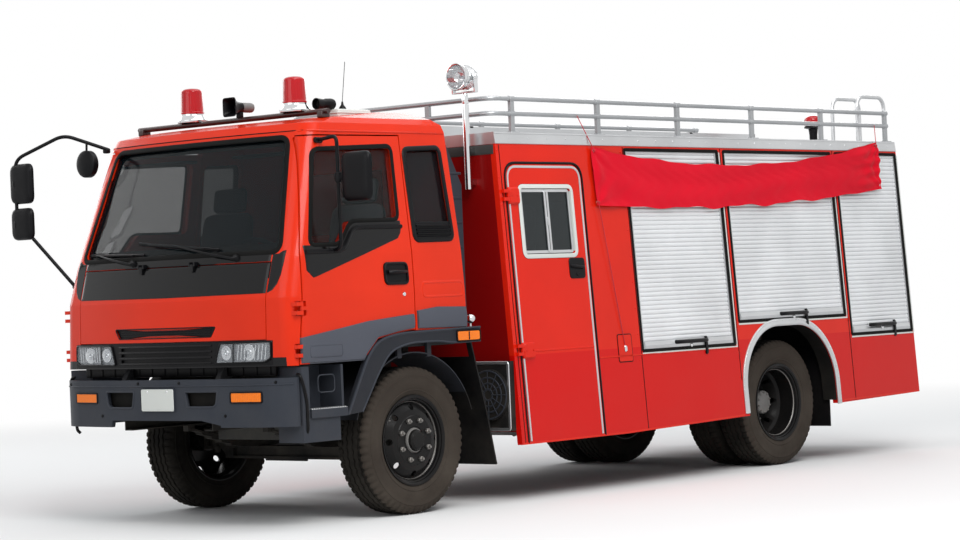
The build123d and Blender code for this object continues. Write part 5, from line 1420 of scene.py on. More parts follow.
@dataclass
class RoofBar(Assembly):
    """Bar on the cab roof with two beacons and a horn speaker, and the case beside it."""

    x: float = 2.965
    z: float = 2.68
    beacons: tuple[float, float] = (0.62, -0.38)

    def build(self) -> None:
        """Make the bar and what it carries."""
        rail = tube("roof_bar_rail", densify([(self.x, -0.929, self.z), (self.x, 0.929, self.z)], 0.08,
            False), 0.018, 16)
        plank = brick("roof_bar_plank", (self.x - 0.024, -0.925, self.z - 0.006),
            (self.x + 0.024, 0.925, self.z + 0.01), 0.004)
        feet = [brick("foot", (self.x - 0.038, s * 0.88 - 0.024, 2.636),
            (self.x + 0.038, s * 0.88 + 0.024, 2.68), 0.008) for s in (-1, 1)]
        self.join("roof_bar_rail", [rail, plank] + feet, BAR_BROWN, "cab", "roof_bar")
        for number, y in enumerate(self.beacons):
            self._beacon(number, y)
        self._horn()
        self._case()

    def _case(self) -> None:
        """White case on the roof's left edge with its lid line and the second speaker."""
        x0, x1, y0, y1, top = self.x - 0.545, self.x - 0.225, 0.6, 0.8, self.z + 0.03
        case = [brick("case", (x0, y0, 2.6), (x1, y1, top), 0.012), brick("case_lid",
            (x0 - 0.004, y0 - 0.004, top - 0.03), (x1 + 0.004, y1 + 0.004, top - 0.022), 0.003)]
        self.join("roof_case", case, PLATE_WHITE, "cab")
        self.dress(turned("second_speaker", [(0, 0.0), (0.028, 0.0), (0.036, 0.01), (0.038, 0.03),
            (0.036, 0.075), (0.03, 0.09), (0.034, 0.12), (0.038, 0.163), (0.034, 0.165), (0.028, 0.13),
            (0, 0.12)], (self.x - 0.26, 0.72, 2.745), (1, 0, 0), 36), BLACK_TRIM, "cab")

    def _beacon(self, number: int, y: float) -> None:
        """One rotating lamp: chrome skirt and a fluted red dome, whose top is a quarter of an ellipse.

        Args:
            number: Its number.
            y: Its place on the bar.
        """
        base = [(0, 0), (0.102, 0.0), (0.104, 0.006), (0.104, 0.016), (0.099, 0.022), (0.094, 0.03),
            (0.086, 0.044), (0.083, 0.05), (0.083, 0.058), (0, 0.058)]
        self.dress(turned(f"beacon_base_{number}", base, (self.x, y, 2.694), (0, 0, 1), 48), CHROME, "cab")
        h = np.linspace(0, 1, 40)
        top = 0.0723 * np.sqrt(np.maximum(1 - ((h - 0.86) / 0.14) ** 2, 0))
        outline = np.where(h < 0.86, 0.0775 - 0.006 * h, top)
        outline[-1] = 0.0
        turn = circle(96)
        ring = outline[:, None] * (1 + 0.012 * np.cos(24 * turn) * (h < 0.8)[:, None])
        points = xyz(self.x + ring * np.cos(turn), y + ring * np.sin(turn), (2.752 + 0.18 * h)[:, None])
        floor = np.broadcast_to((self.x, y, 2.752), (1, 96, 3))
        self.dress(surface(f"beacon_dome_{number}", np.concatenate([floor, points]), wrap_cols=True),
            RED_LENS, "cab")
        self.dress(turned(f"beacon_band_{number}", [(0.0785, 0), (0.0815, 0.003), (0.0815, 0.013),
            (0.0785, 0.016), (0.075, 0.016), (0.075, 0)], (self.x, y, 2.752), (0, 0, 1), 48), RED_LENS, "cab")

    def _horn(self) -> None:
        """Square-mouthed horn speaker with its driver behind.

        The shell's rings are superellipses, |cos|^p and |sin|^p of their size, with p falling from 0.9 at
        the throat to 0.28 at the mouth.
        """
        t = np.linspace(0, 1, 14)[:, None]
        size = 0.034 + 0.031 * t ** 2.2
        turn = circle(48)
        wide = power(np.cos(turn), 0.9 - 0.62 * t) * size
        high = power(np.sin(turn), 0.9 - 0.62 * t) * size
        x = self.x - 0.012 + 0.106 * t
        shell = xyz(x, 0.09 + wide, 2.765 + high)
        inner = xyz(x[::-1] + 0.0005, 0.09 + 0.9 * wide[::-1], 2.765 + 0.9 * high[::-1])
        caps = [np.broadcast_to((v, 0.09, 2.765), (1, 48, 3)) for v in (self.x - 0.014, self.x + 0.002)]
        horn = surface("horn_shell", np.concatenate([caps[0], shell, inner, caps[1]]), wrap_cols=True)
        cone = turned("horn_cone", [(0, 0.03), (0.012, 0.028), (0.016, 0.01), (0.03, 0), (0, 0)],
            (self.x + 0.01, 0.09, 2.765), (1, 0, 0), 24)
        stand = brick("horn_stand", (self.x - 0.018, 0.072, 2.69), (self.x + 0.018, 0.108, 2.745), 0.006)
        self.join("horn_speaker", [horn, cone, stand], BLACK_TRIM, "cab")
        self.dress(turned("horn_driver", [(0, 0), (0.022, 0.0), (0.031, 0.008), (0.0335, 0.02),
            (0.0335, 0.085), (0.026, 0.105), (0, 0.108)], (self.x - 0.119, 0.09, 2.765), (1, 0, 0), 36),
            HUB_GREY, "cab")


@dataclass
class Tyre(Assembly):
    """One tyre: sidewalls with rings, and a tread of wavy ribs."""

    x: float = X_FRONT
    middle: float = 0.945
    name: str = "tyre"
    sides: int = 300

    def mesh(self) -> Thing:
        """Make the tyre's mesh.

        The cross section goes from bead to bead. On the tread, each groove's four points are shifted
        sideways by a triangle wave of the angle, and the groove floor lies 11 mm under the ribs. The
        shoulders carry short cross cuts: the radius drops where a square wave of the angle is low.

        Returns:
            The mesh object.
        """
        half = 0.14
        wall = [(0.2955, 0.112), (0.304, 0.1165), (0.318, 0.126), (0.33, 0.13), (0.333, 0.1335),
            (0.337, 0.1335), (0.34, 0.131), (0.356, 0.1375), (0.4, 0.1398), (0.424, 0.1375), (0.428, 0.1395),
            (0.434, 0.1388), (0.437, 0.135), (0.448, 0.1335), (0.462, 0.1295), (0.474, 0.1225),
            (0.482, 0.114), (0.4872, 0.106)]
        grooves = (0.068, 0.024, -0.024, -0.068)
        tread: list[tuple[float, float, float]] = [(0.4885, 0.098, 0.0), (0.4893, 0.084, 0.0)]
        for at in grooves:
            crown = 0.49 - 0.0012 * (at / 0.1) ** 2
            tread += [(crown, at + 0.0075, 1.0), (crown - 0.011, at + 0.0045, 1.0),
                (crown - 0.011, at - 0.0045, 1.0), (crown, at - 0.0075, 1.0), (crown, at - 0.022, 0.35)]
        tread = tread[:-1] + [(0.4893, -0.084, 0.0), (0.4885, -0.098, 0.0)]
        rows = [(r, y, 0.0) for r, y in wall] + tread + [(r, -y, 0.0) for r, y in reversed(wall)]
        reach, across, share = np.array(rows).T[..., None]
        turn = circle(self.sides)
        shoulder = (np.abs(across) > 0.075) & (reach > 0.455) & (np.abs(across) < 0.131)
        radius = reach - (np.sin(60 * turn) < -0.25) * shoulder * 0.0105
        across = across + share * (0.0062 * (2 / np.pi) * np.arcsin(np.sin(50 * turn)))
        points = xyz(self.x + radius * np.cos(turn), self.middle + np.clip(across, -half, half),
            np.maximum(Z_AXLE + radius * np.sin(turn), 0.0))
        return surface(self.name, points, wrap_rows=True, wrap_cols=True, angle=38)


@dataclass
class Wheels(Assembly):
    """All six tyres, and the studs, hubs and valves of their wheels."""

    front_y: float = 0.945
    rear_y: tuple[float, float] = (0.925, 0.615)

    def build(self) -> None:
        """Make the tyres and the wheel details."""
        for side in Side:
            s, word = side.value, side.word
            self.dress(Tyre(self.shop, X_FRONT, s * self.front_y, f"front_tyre_mesh_{word}").mesh(), TYRE,
                f"{word}_front_wheel", f"front_tyre_{word}")
            pair = [Tyre(self.shop, X_REAR, s * y, "rear_tyre_mesh", 240).mesh() for y in self.rear_y]
            self.join(f"rear_tyre_meshes_{word}", pair, TYRE, f"{word}_rear_wheels", f"rear_tyres_{word}")
            self._front_details(s, word)
            self._rear_details(s, word)

    def _ring_of(self, name: str, count: int, x: float, radius: float, y: float, s: float, size: float,
            height: float) -> Thing:
        """Ring of nuts on their studs, at even angles.

        Args:
            name: Piece name.
            count: Number of nuts.
            x: Axle's x.
            radius: Radius of the ring.
            y: Face that they stand on.
            s: Sign of the side.
            size: Radius of a nut.
            height: Height of a stud.

        Returns:
            The new object.
        """
        nuts = []
        for k in range(count):
            a = 2 * math.pi * (k + 0.5) / count
            at = (x + radius * math.cos(a), y, Z_AXLE + radius * math.sin(a))
            nuts.append(bolt("nut", at, (0, s, 0), size, height * 0.62))
            nuts.append(turned("stud", [(0, height), (size * 0.42, height * 0.97), (size * 0.5, height * 0.9),
                (size * 0.5, 0), (0, 0)], at, (0, s, 0), 10))
        return merge(name, nuts)

    def _front_details(self, s: float, word: str) -> None:
        """Studs, hub ring, dust cap and rim edge of a front wheel.

        Args:
            s: Sign of the side.
            word: Name of the side.
        """
        body = f"{word}_front_wheel"
        y = s * 1.0665
        self.dress(self._ring_of(f"front_nuts_{word}", 8, X_FRONT, 0.1375, y, s, 0.019, 0.036), RIM_STEEL,
            body)
        self.dress(turned(f"front_stud_plate_{word}", [(0.092, 0), (0.094, 0.004), (0.162, 0.004), (0.167, 0),
            (0.167, -0.004), (0.092, -0.004)], (X_FRONT, y, Z_AXLE), (0, s, 0), 64), RIM, body)
        self.dress(turned(f"front_hub_cap_{word}", [(0, 0.0435), (0.03, 0.0428), (0.046, 0.039),
            (0.052, 0.03), (0.054, 0.02), (0.07, 0.018), (0.0795, 0.012), (0.0835, 0.002), (0.0835, -0.004),
            (0, -0.004)], (X_FRONT, y, Z_AXLE), (0, s, 0), 48), HUB_GREY, body)
        self.dress(self._ring_of(f"front_hub_bolts_{word}", 6, X_FRONT, 0.064, y + s * 0.0165, s, 0.0075,
            0.01), RIM_STEEL, body)
        self._rim_edges(s, word, "front", X_FRONT, self.front_y, body)

    def _rear_details(self, s: float, word: str) -> None:
        """Studs, axle flange and rim edge of a rear pair.

        Args:
            s: Sign of the side.
            word: Name of the side.
        """
        body = f"{word}_rear_wheels"
        face, tip = s * 0.7842, s * 0.8985
        self.dress(self._ring_of(f"rear_nuts_{word}", 8, X_REAR, 0.145, face, s, 0.02, 0.04), RIM_STEEL, body)
        self.dress(turned(f"rear_hub_flange_{word}", [(0, 0.011), (0.03, 0.01), (0.038, 0.006),
            (0.068, 0.005), (0.084, 0.004), (0.0905, -0.002), (0.092, -0.016), (0.0905, -0.03), (0, -0.03)],
            (X_REAR, tip, Z_AXLE), (0, s, 0), 48), HUB_GREY, body)
        self.dress(self._ring_of(f"rear_hub_bolts_{word}", 10, X_REAR, 0.0765, tip + s * 0.0035, s, 0.008,
            0.014), RIM_STEEL, body)
        self._rim_edges(s, word, "rear", X_REAR, self.rear_y[0], body)

    def _rim_edges(self, s: float, word: str, which: str, x: float, y: float, body: str) -> None:
        """Rolled edge, lock ring and valve of a wheel's outer rim.

        Args:
            s: Sign of the side.
            word: Name of the side.
            which: Front or rear.
            x: Axle's x.
            y: Distance of the rim's middle from the vehicle's.
            body: CAD body it rides on.
        """
        at = (x, s * (y + 0.1), Z_AXLE)
        self.dress(turned(f"{which}_rim_edge_{word}", [(0.2635, -0.012), (0.269, 0.0035), (0.281, 0.0115),
            (0.293, 0.0135), (0.3, 0.0085), (0.3005, 0.001), (0.293, 0.006), (0.282, 0.004), (0.274, -0.004),
            (0.27, -0.014)], at, (0, s, 0), 96), RIM, body)
        self.dress(turned(f"{which}_lock_ring_{word}", [(0.2575, -0.03), (0.2625, -0.026), (0.2635, -0.02),
            (0.259, -0.014), (0.2545, -0.02)], at, (0, s, 0), 96), RIM_STEEL, body)
        inner = y + 0.045 if which == "front" else y - 0.02
        path = [(x + 0.19, s * inner, Z_AXLE + 0.135), (x + 0.196, s * (inner + 0.03), Z_AXLE + 0.139),
            (x + 0.2, s * (inner + 0.052), Z_AXLE + 0.142)]
        self.dress(tube(f"{which}_valve_{word}", densify(path, 0.012, False), 0.0045, 10), RIM_STEEL, body)


SHUTTER_ROWS = ((-1.104, 0.041, 0.973, 2.451), (-2.635, -1.179, 1.142, 2.451), (-3.605, -2.705, 0.983, 2.451))
SHUTTER_HANDLES = ((-0.746, -0.353, 1.022), (-2.098, -1.73, 1.184), (-3.353, -2.966, 1.05))


def on_rear(y: Reals, z: Reals, out: Reals) -> Array:
    """Point on the body's upright rear wall, an offset behind it."""
    return xyz(BODY_REAR - out, y, z)


def rolled_bar(name: str, place: Place, a: Spot, b: Spot, lift: float, radius: float) -> Thing:
    """Pull bar on a surface: a tube that rises at one end, runs level and comes back down at the other.

    Args:
        name: Piece name.
        place: Surface function.
        a: One end, in the surface's coordinates.
        b: Other end.
        lift: Height of the run above the surface.
        radius: Tube radius.

    Returns:
        The new object.
    """
    flat = np.linspace(np.asarray(a, float), np.asarray(b, float), 24)
    share = np.linspace(0, 1, 24)
    rise = lift * (1 - np.abs(2 * share - 1) ** 10) - 0.004
    return tube(name, place(flat[:, 0], flat[:, 1], rise), radius, 10)


@dataclass
class Shutters(Assembly):
    """Slatted shutters with bottom bars, pulls, guides and seals on both sides and the rear."""

    pitch: float = 0.033
    columns: int = 16
    foot: float = -0.0165
    crown: float = 0.0085
    back: float = -0.026

    def build(self) -> None:
        """Make all seven shutters."""
        for side in Side:
            place = on_body(side)
            curtains = []
            for number, (rear, front, low, high) in enumerate(SHUTTER_ROWS):
                curtains.append(self._curtain(place, rear + 0.001, front - 0.001, low, high, number))
                self._guides(f"{side.word}_{number}", place, rear, front, low, high)
                self._bottom(f"{side.word}_{number}", place, rear, front, low, SHUTTER_HANDLES[number])
            self.join(f"shutter_slats_{side.word}", curtains, SHUTTER, "vehicle", "roller_shutters")
        self.join("shutter_slats_rear", [self._curtain(on_rear, -0.699, 0.699, 0.961, 2.35, 5)], SHUTTER)
        self._guides("rear", on_rear, -0.7, 0.7, 0.961, 2.351)
        self._bottom("rear", on_rear, -0.7, 0.7, 0.961, (-0.2, 0.2, 1.012))

    def _curtain(self, place: Place, start: float, end: float, low: float, high: float, seed: int) -> Thing:
        """Slats as one sheet: each slat's face is an arc, out = d + c sqrt(1 - (2t - 1)^2) over its pitch.

        The sheet also waves by less than a millimetre, two sines of the position, as a used shutter does.

        Args:
            place: Surface function.
            start: Lower first coordinate.
            end: Upper first coordinate.
            low: Foot.
            high: Top.
            seed: Start of the waves.

        Returns:
            The new object.
        """
        count = int(round((high - low) / self.pitch))
        share = np.array([0.0, 0.05, 0.16, 0.34, 0.5, 0.66, 0.84, 0.95])
        z = low + (high - low) * (np.arange(count)[:, None] + share).reshape(-1, 1) / count
        arc = np.tile(self.crown * np.sqrt(np.maximum(1 - (2 * share - 1) ** 2, 0.0)), count)[:, None]
        a = np.linspace(start, end, self.columns)
        out = self.foot + arc + 0.0008 * np.sin(5.3 * a + seed) * np.sin(4.1 * z + 2 * seed)
        face, back = place(a, z, out), place(a, z, self.back)
        return surface("slats", capped(np.concatenate([face, back[:, ::-1]], axis=1)), wrap_cols=True,
            angle=50)

    def _guides(self, word: str, place: Place, start: float, end: float, low: float, high: float) -> None:
        """Black brush seal all round, a pale edge and an aluminium guide each side.

        Args:
            word: End of the pieces' names.
            place: Surface function.
            start: Lower first coordinate.
            end: Upper first coordinate.
            low: Foot.
            high: Top.
        """
        loop = oblong(start, end, low, high, 0.004, 2)
        self.dress(strip(f"shutter_seal_{word}", loop, place, [(-0.012, -0.002), (-0.012, 0.003),
            (0.012, 0.003), (0.012, -0.016), (-0.004, -0.016)], step=0.4), SEAL)
        edge = [(end + 0.006, low - 0.019), (start - 0.019, low - 0.019), (start - 0.019, high - 0.01)]
        self.dress(strip(f"shutter_edge_{word}", edge, place, band(0.013, 0.004), closed=False, step=0.3),
            PLATE_WHITE)
        rails = [strip("guide", [(x, low + 0.01), (x, high - 0.01)], place, ridge(0.01, -0.016, 0.01, -0.005),
            closed=False, step=0.5) for x in (start + 0.022, end - 0.022)]
        self.join(f"shutter_guides_{word}", rails, ALUMINIUM)

    def _bottom(self, word: str, place: Place, start: float, end: float, low: float,
            handle: tuple[float, float, float]) -> None:
        """Bottom bar, pull bar with its feet, and the lock.

        Args:
            word: End of the pieces' names.
            place: Surface function.
            start: Lower first coordinate.
            end: Upper first coordinate.
            low: Foot.
            handle: First coordinates of the pull's ends, and its height.
        """
        sill = strip("sill", [(start + 0.03, low + 0.036), (end - 0.03, low + 0.036)], place,
            [(-0.03, -0.018), (-0.03, -0.003), (-0.024, 0.001), (-0.004, 0.0015), (0.0, 0.004),
            (0.004, 0.0015), (0.024, 0.001), (0.03, -0.003), (0.03, -0.018)], closed=False, step=0.4)
        first, last, z = handle
        pull = rolled_bar("pull", place, (first, z), (last, z), 0.028, 0.0155)
        hasp = plate("hasp", oblong(first + 0.004, first + 0.03, z - 0.105, z + 0.03, 0.01), place, 0.013,
            0.004, 0.0)
        self.join(f"shutter_pull_{word}", [pull, hasp], BLACK_TRIM)
        feet = [plate("foot", oblong(x - 0.026, x + 0.026, z - 0.018, z + 0.018, 0.008), place, 0.005, 0.002,
            -0.002) for x in (first + 0.012, last - 0.012)]
        self.join(f"shutter_bar_{word}", [sill] + feet, ALUMINIUM)
        middle = (first + last) / 2
        outward = place(middle, z, 1.0) - place(middle, z, 0.0)
        self.dress(turned(f"shutter_lock_{word}", [(0, 0.011), (0.011, 0.01), (0.016, 0.006), (0.017, 0.0),
            (0.017, -0.004), (0, -0.004)], place(middle, z - 0.028, 0.0), outward, 24), CHROME)


@dataclass
class BodyTrim(Assembly):
    """Seams, mouldings, rivets and hatch on the body's skin, and the dressing of its front wall."""

    def build(self) -> None:
        """Make the trims of both sides, the roof edge, the hatch and the front wall."""
        for side in Side:
            place, word = on_body(side), side.word
            seams = [strip("seam", [(x, low), (x, 2.47)], place, ridge(0.0035, -0.001, 0.002, 0.0025),
                closed=False, step=0.4) for x, low in ((0.06, 0.395), (-1.141, 0.7), (-2.67, 0.455),
                (1.44, 0.395))]
            self.dress(strip(f"body_sill_line_{word}", [(0.545, 0.948), (-1.12, 0.948)], place,
                ridge(0.006, -0.001, 0.004, 0.004), closed=False, step=0.3), BODY_RED)
            self.join(f"body_seams_{word}", seams, SEAL)
            lips = [strip("skirt_lip", run, place, ridge(0.007, -0.006, 0.007, 0.0035), closed=False,
                step=0.3) for run in ([(1.47, 0.397), (0.575, 0.397), (0.3, 0.397), (-1.13, 0.4307)],
                [(-2.48, 0.466), (-3.615, 0.477)])]
            self.join(f"skirt_lip_{word}", lips, BODY_RED)
            self._arch_rivets(side, place)
            self._roof_edge(side)
            rivets = [turned("rivet", [(0, 0.004), (0.004, 0.0035), (0.0065, 0.0015), (0.007, 0),
                (0.007, -0.001), (0, -0.001)], place(x, z, 0.0), (0, side.value, 0), 8)
                for x in (0.085, -1.128, -1.154, -2.657, -2.683, 1.462) for z in np.arange(0.72, 2.45, 0.19)]
            self.join(f"skin_rivets_{word}", rivets, BODY_RED)
        self._hatch()
        self._front_wall()

    def _arch_rivets(self, side: Side, place: Place) -> None:
        """Rolled trim round the wheel opening, its rivets, and the dark liner inside the opening.

        The outline is two quarter circles joined by straight lines: centre plus radius times the cosine
        and sine of an angle from 0 to a right angle.

        Args:
            side: The side.
            place: Its surface function.
        """
        def outline(grow: float) -> Array:
            """Outline of the opening.

            Args:
                grow: How far it lies outside the opening's edge.

            Returns:
                Open path from the rear foot to the front foot.
            """
            half, top, radius = 0.6 + grow, 1.09 + grow, 0.47 + grow
            turn = np.linspace(0, np.pi / 2, 26)
            in_cos, in_sin = radius * (1 - np.cos(turn)), radius * (1 - np.sin(turn))
            rear = np.stack([X_REAR - half + in_cos, top - in_sin], axis=-1)
            front = np.stack([X_REAR + half - in_sin, top - in_cos], axis=-1)
            return np.concatenate([[(X_REAR - half, 0.472)], rear, front, [(X_REAR + half, 0.446)]])
        word = side.word
        roll = strip("roll", outline(0.0), place, [(0.001, 0.004), (0.001, 0.008), (0.006, 0.0125),
            (0.014, 0.0145), (0.022, 0.0125), (0.028, 0.0085), (0.034, 0.0072), (0.052, 0.0068),
            (0.0545, 0.004)], closed=False)
        heads = [turned("rivet", [(0, 0.0045), (0.004, 0.004), (0.007, 0.001), (0.007, -0.001), (0, -0.001)],
            place(x, z, 0.0065), (0, side.value, 0), 10) for x, z in densify(outline(0.044), 0.085, False)]
        self.join(f"arch_roll_{word}", [roll] + heads, ALUMINIUM)
        self.dress(strip(f"arch_liner_{word}", outline(-0.003), place,
            [(-0.002, -0.13), (-0.002, -0.003), (0.001, -0.003), (0.001, -0.13)], closed=False), SEAL)

    def _roof_edge(self, side: Side) -> None:
        """Two rolled lines along the roof's deep edge, which leans by 12 mm in 82, and its rivets.

        Args:
            side: The side.
        """
        s = side.value
        edge: Place = lambda x, z, out: xyz(x, s * (1.064 - 0.012 * (z - 2.477) / 0.082 + out), z)
        lines = [strip("roll", [(1.47, z), (-3.618, z)], edge, ridge(0.006, -0.002, 0.004, 0.004),
            closed=False, step=0.3) for z in (2.484, 2.552)]
        self.join(f"roof_edge_{side.word}", lines, ALUMINIUM)
        studs = [turned("rivet", [(0, 0.004), (0.005, 0.003), (0.007, 0), (0, 0)], (x, s * 1.0575, 2.518),
            (0, s, 0), 8) for x in np.arange(-3.5, 1.45, 0.21)]
        self.join(f"roof_edge_rivets_{side.word}", studs, ALUMINIUM)

    def _hatch(self) -> None:
        """Small access hatch below the shutters, left side."""
        place = on_body(Side.LEFT)
        loop = oblong(0.169, 0.326, 0.906, 1.102, 0.014)
        self.dress(plate("hatch_plate", loop, place, 0.004, 0.003, -0.001), BODY_RED)
        self.dress(strip("hatch_edge", loop, place, ridge(0.005, -0.001, 0.004, 0.003)), SEAL)
        self.dress(plate("hatch_latch", oblong(0.236, 0.262, 0.978, 1.022, 0.008), place, 0.014, 0.004, 0.0),
            CHROME)

    def _front_wall(self) -> None:
        """Dark band and pressings on the wall behind the cab, and the intake duct's ribs and slats."""
        wall = upright_x(BODY_FRONT)
        self.dress(strip("front_wall_band", [(-1.045, 2.44), (1.045, 2.44)], wall, band(0.068, 0.006),
            closed=False, step=0.3), UNDER_GREY)
        ribs = [strip("rib", [(y, 1.02), (y, 2.34)], wall, ridge(0.014, -0.001, 0.006, 0.006), closed=False,
            step=0.3) for y in (-0.72, -0.36, 0.0, 0.36)]
        self.join("front_wall_ribs", ribs, DARK_RED)
        duct = [brick("duct_rib", (1.646, 0.776, z), (1.919, 0.894, z + 0.018), 0.004)
            for z in np.arange(1.42, 2.44, 0.17)]
        self.join("duct_ribs", duct, CHARCOAL, "cab")
        hood = [brick("duct_slat", (1.912, 0.786, z), (1.921, 0.884, z + 0.012), 0.003)
            for z in np.arange(2.28, 2.46, 0.024)]
        self.join("duct_mouth", hood, BLACK_TRIM, "cab")


@dataclass
class CrewDoor(Assembly):
    """Crew door's trims, window frame, sashes, paddle handle and hinge covers."""

    side: Side = Side.LEFT

    def build(self) -> None:
        """Make the pieces of one crew door."""
        place, word = on_body(self.side), self.side.word
        body = f"{word}_crew_door"
        outer = rounded([(0.562, 0.4), (0.562, 2.346), (1.406, 2.346), (1.406, 0.4)], 0.118, 8, closed=False)
        self.dress(strip(f"crew_door_seal_{word}", outer, place, [(-0.008, -0.002), (-0.007, 0.005),
            (0.0, 0.008), (0.007, 0.005), (0.008, -0.002)], closed=False, step=0.25), BLACK_TRIM)
        inner = rounded([(0.59, 0.41), (0.59, 2.318), (1.378, 2.318), (1.378, 0.41)], 0.095, 8, closed=False)
        self.dress(strip(f"crew_door_trim_{word}", inner, place, ridge(0.009, -0.001, 0.008, 0.003),
            closed=False, step=0.25), ALUMINIUM, body)
        self._window(place, word, body)
        paddle = plate("dish", oblong(0.622, 0.796, 1.522, 1.669, 0.028), place, 0.007, 0.004, -0.002)
        grip = rolled_bar("grip", place, (0.64, 1.6), (0.78, 1.612), 0.024, 0.011)
        lock = plate("crew_lock", oblong(0.69, 0.726, 1.538, 1.566, 0.01), place, 0.013, 0.004, 0.0)
        self.join(f"crew_handle_{word}", [paddle, grip, lock], BLACK_TRIM, body)
        for number, (x0, x1, z0, z1) in enumerate(((1.278, 1.4, 2.055, 2.174), (1.264, 1.398, 0.98, 1.092))):
            self.dress(plate(f"crew_hinge_cover_{word}_{number}", oblong(x0, x1, z0, z1, 0.022), place, 0.024,
                0.012, -0.001), BODY_RED, body)
            pin = [bolt("cover_bolt", place(x, (z0 + z1) / 2, 0.0235), (0, self.side.value, 0), 0.007, 0.005)
                for x in (x0 + 0.03, x1 - 0.03)]
            self.join(f"crew_hinge_bolts_{word}_{number}", pin, BODY_RED, body)
        self.dress(strip(f"crew_kick_line_{word}", [(0.6, 1.03), (1.37, 1.03)], place,
            ridge(0.008, -0.001, 0.004, 0.004), closed=False, step=0.3), BODY_RED, body)

    def _window(self, place: Place, word: str, body: str) -> None:
        """White frame, rubber and the overlapping sliding sashes.

        Args:
            place: Surface function.
            word: Name of the side.
            body: CAD body it rides on.
        """
        loop = oblong(0.7, 1.262, 1.695, 2.172, 0.036)
        self.dress(strip(f"crew_window_frame_{word}", loop, place, [(-0.024, -0.012), (-0.022, 0.003),
            (-0.01, 0.007), (0.006, 0.006), (0.008, -0.012)]), PLATE_WHITE, body)
        self.dress(strip(f"crew_window_rubber_{word}", loop, place, [(-0.026, -0.016), (-0.024, 0.001),
            (-0.015, 0.002), (-0.015, -0.016)]), SEAL, body)
        sashes = [strip("sash", oblong(x0, x1, 1.718, 2.15, 0.018), place,
            ridge(0.01, out - 0.004, 0.01, out + 0.003))
            for x0, x1, out in ((0.724, 0.985, -0.01), (0.953, 1.24, -0.014))]
        sashes.append(plate("sash_pull", oblong(0.958, 0.978, 1.9, 1.96, 0.006), place, -0.001, 0.003,
            -0.012))
        self.join(f"crew_window_sashes_{word}", sashes, ALUMINIUM, body)


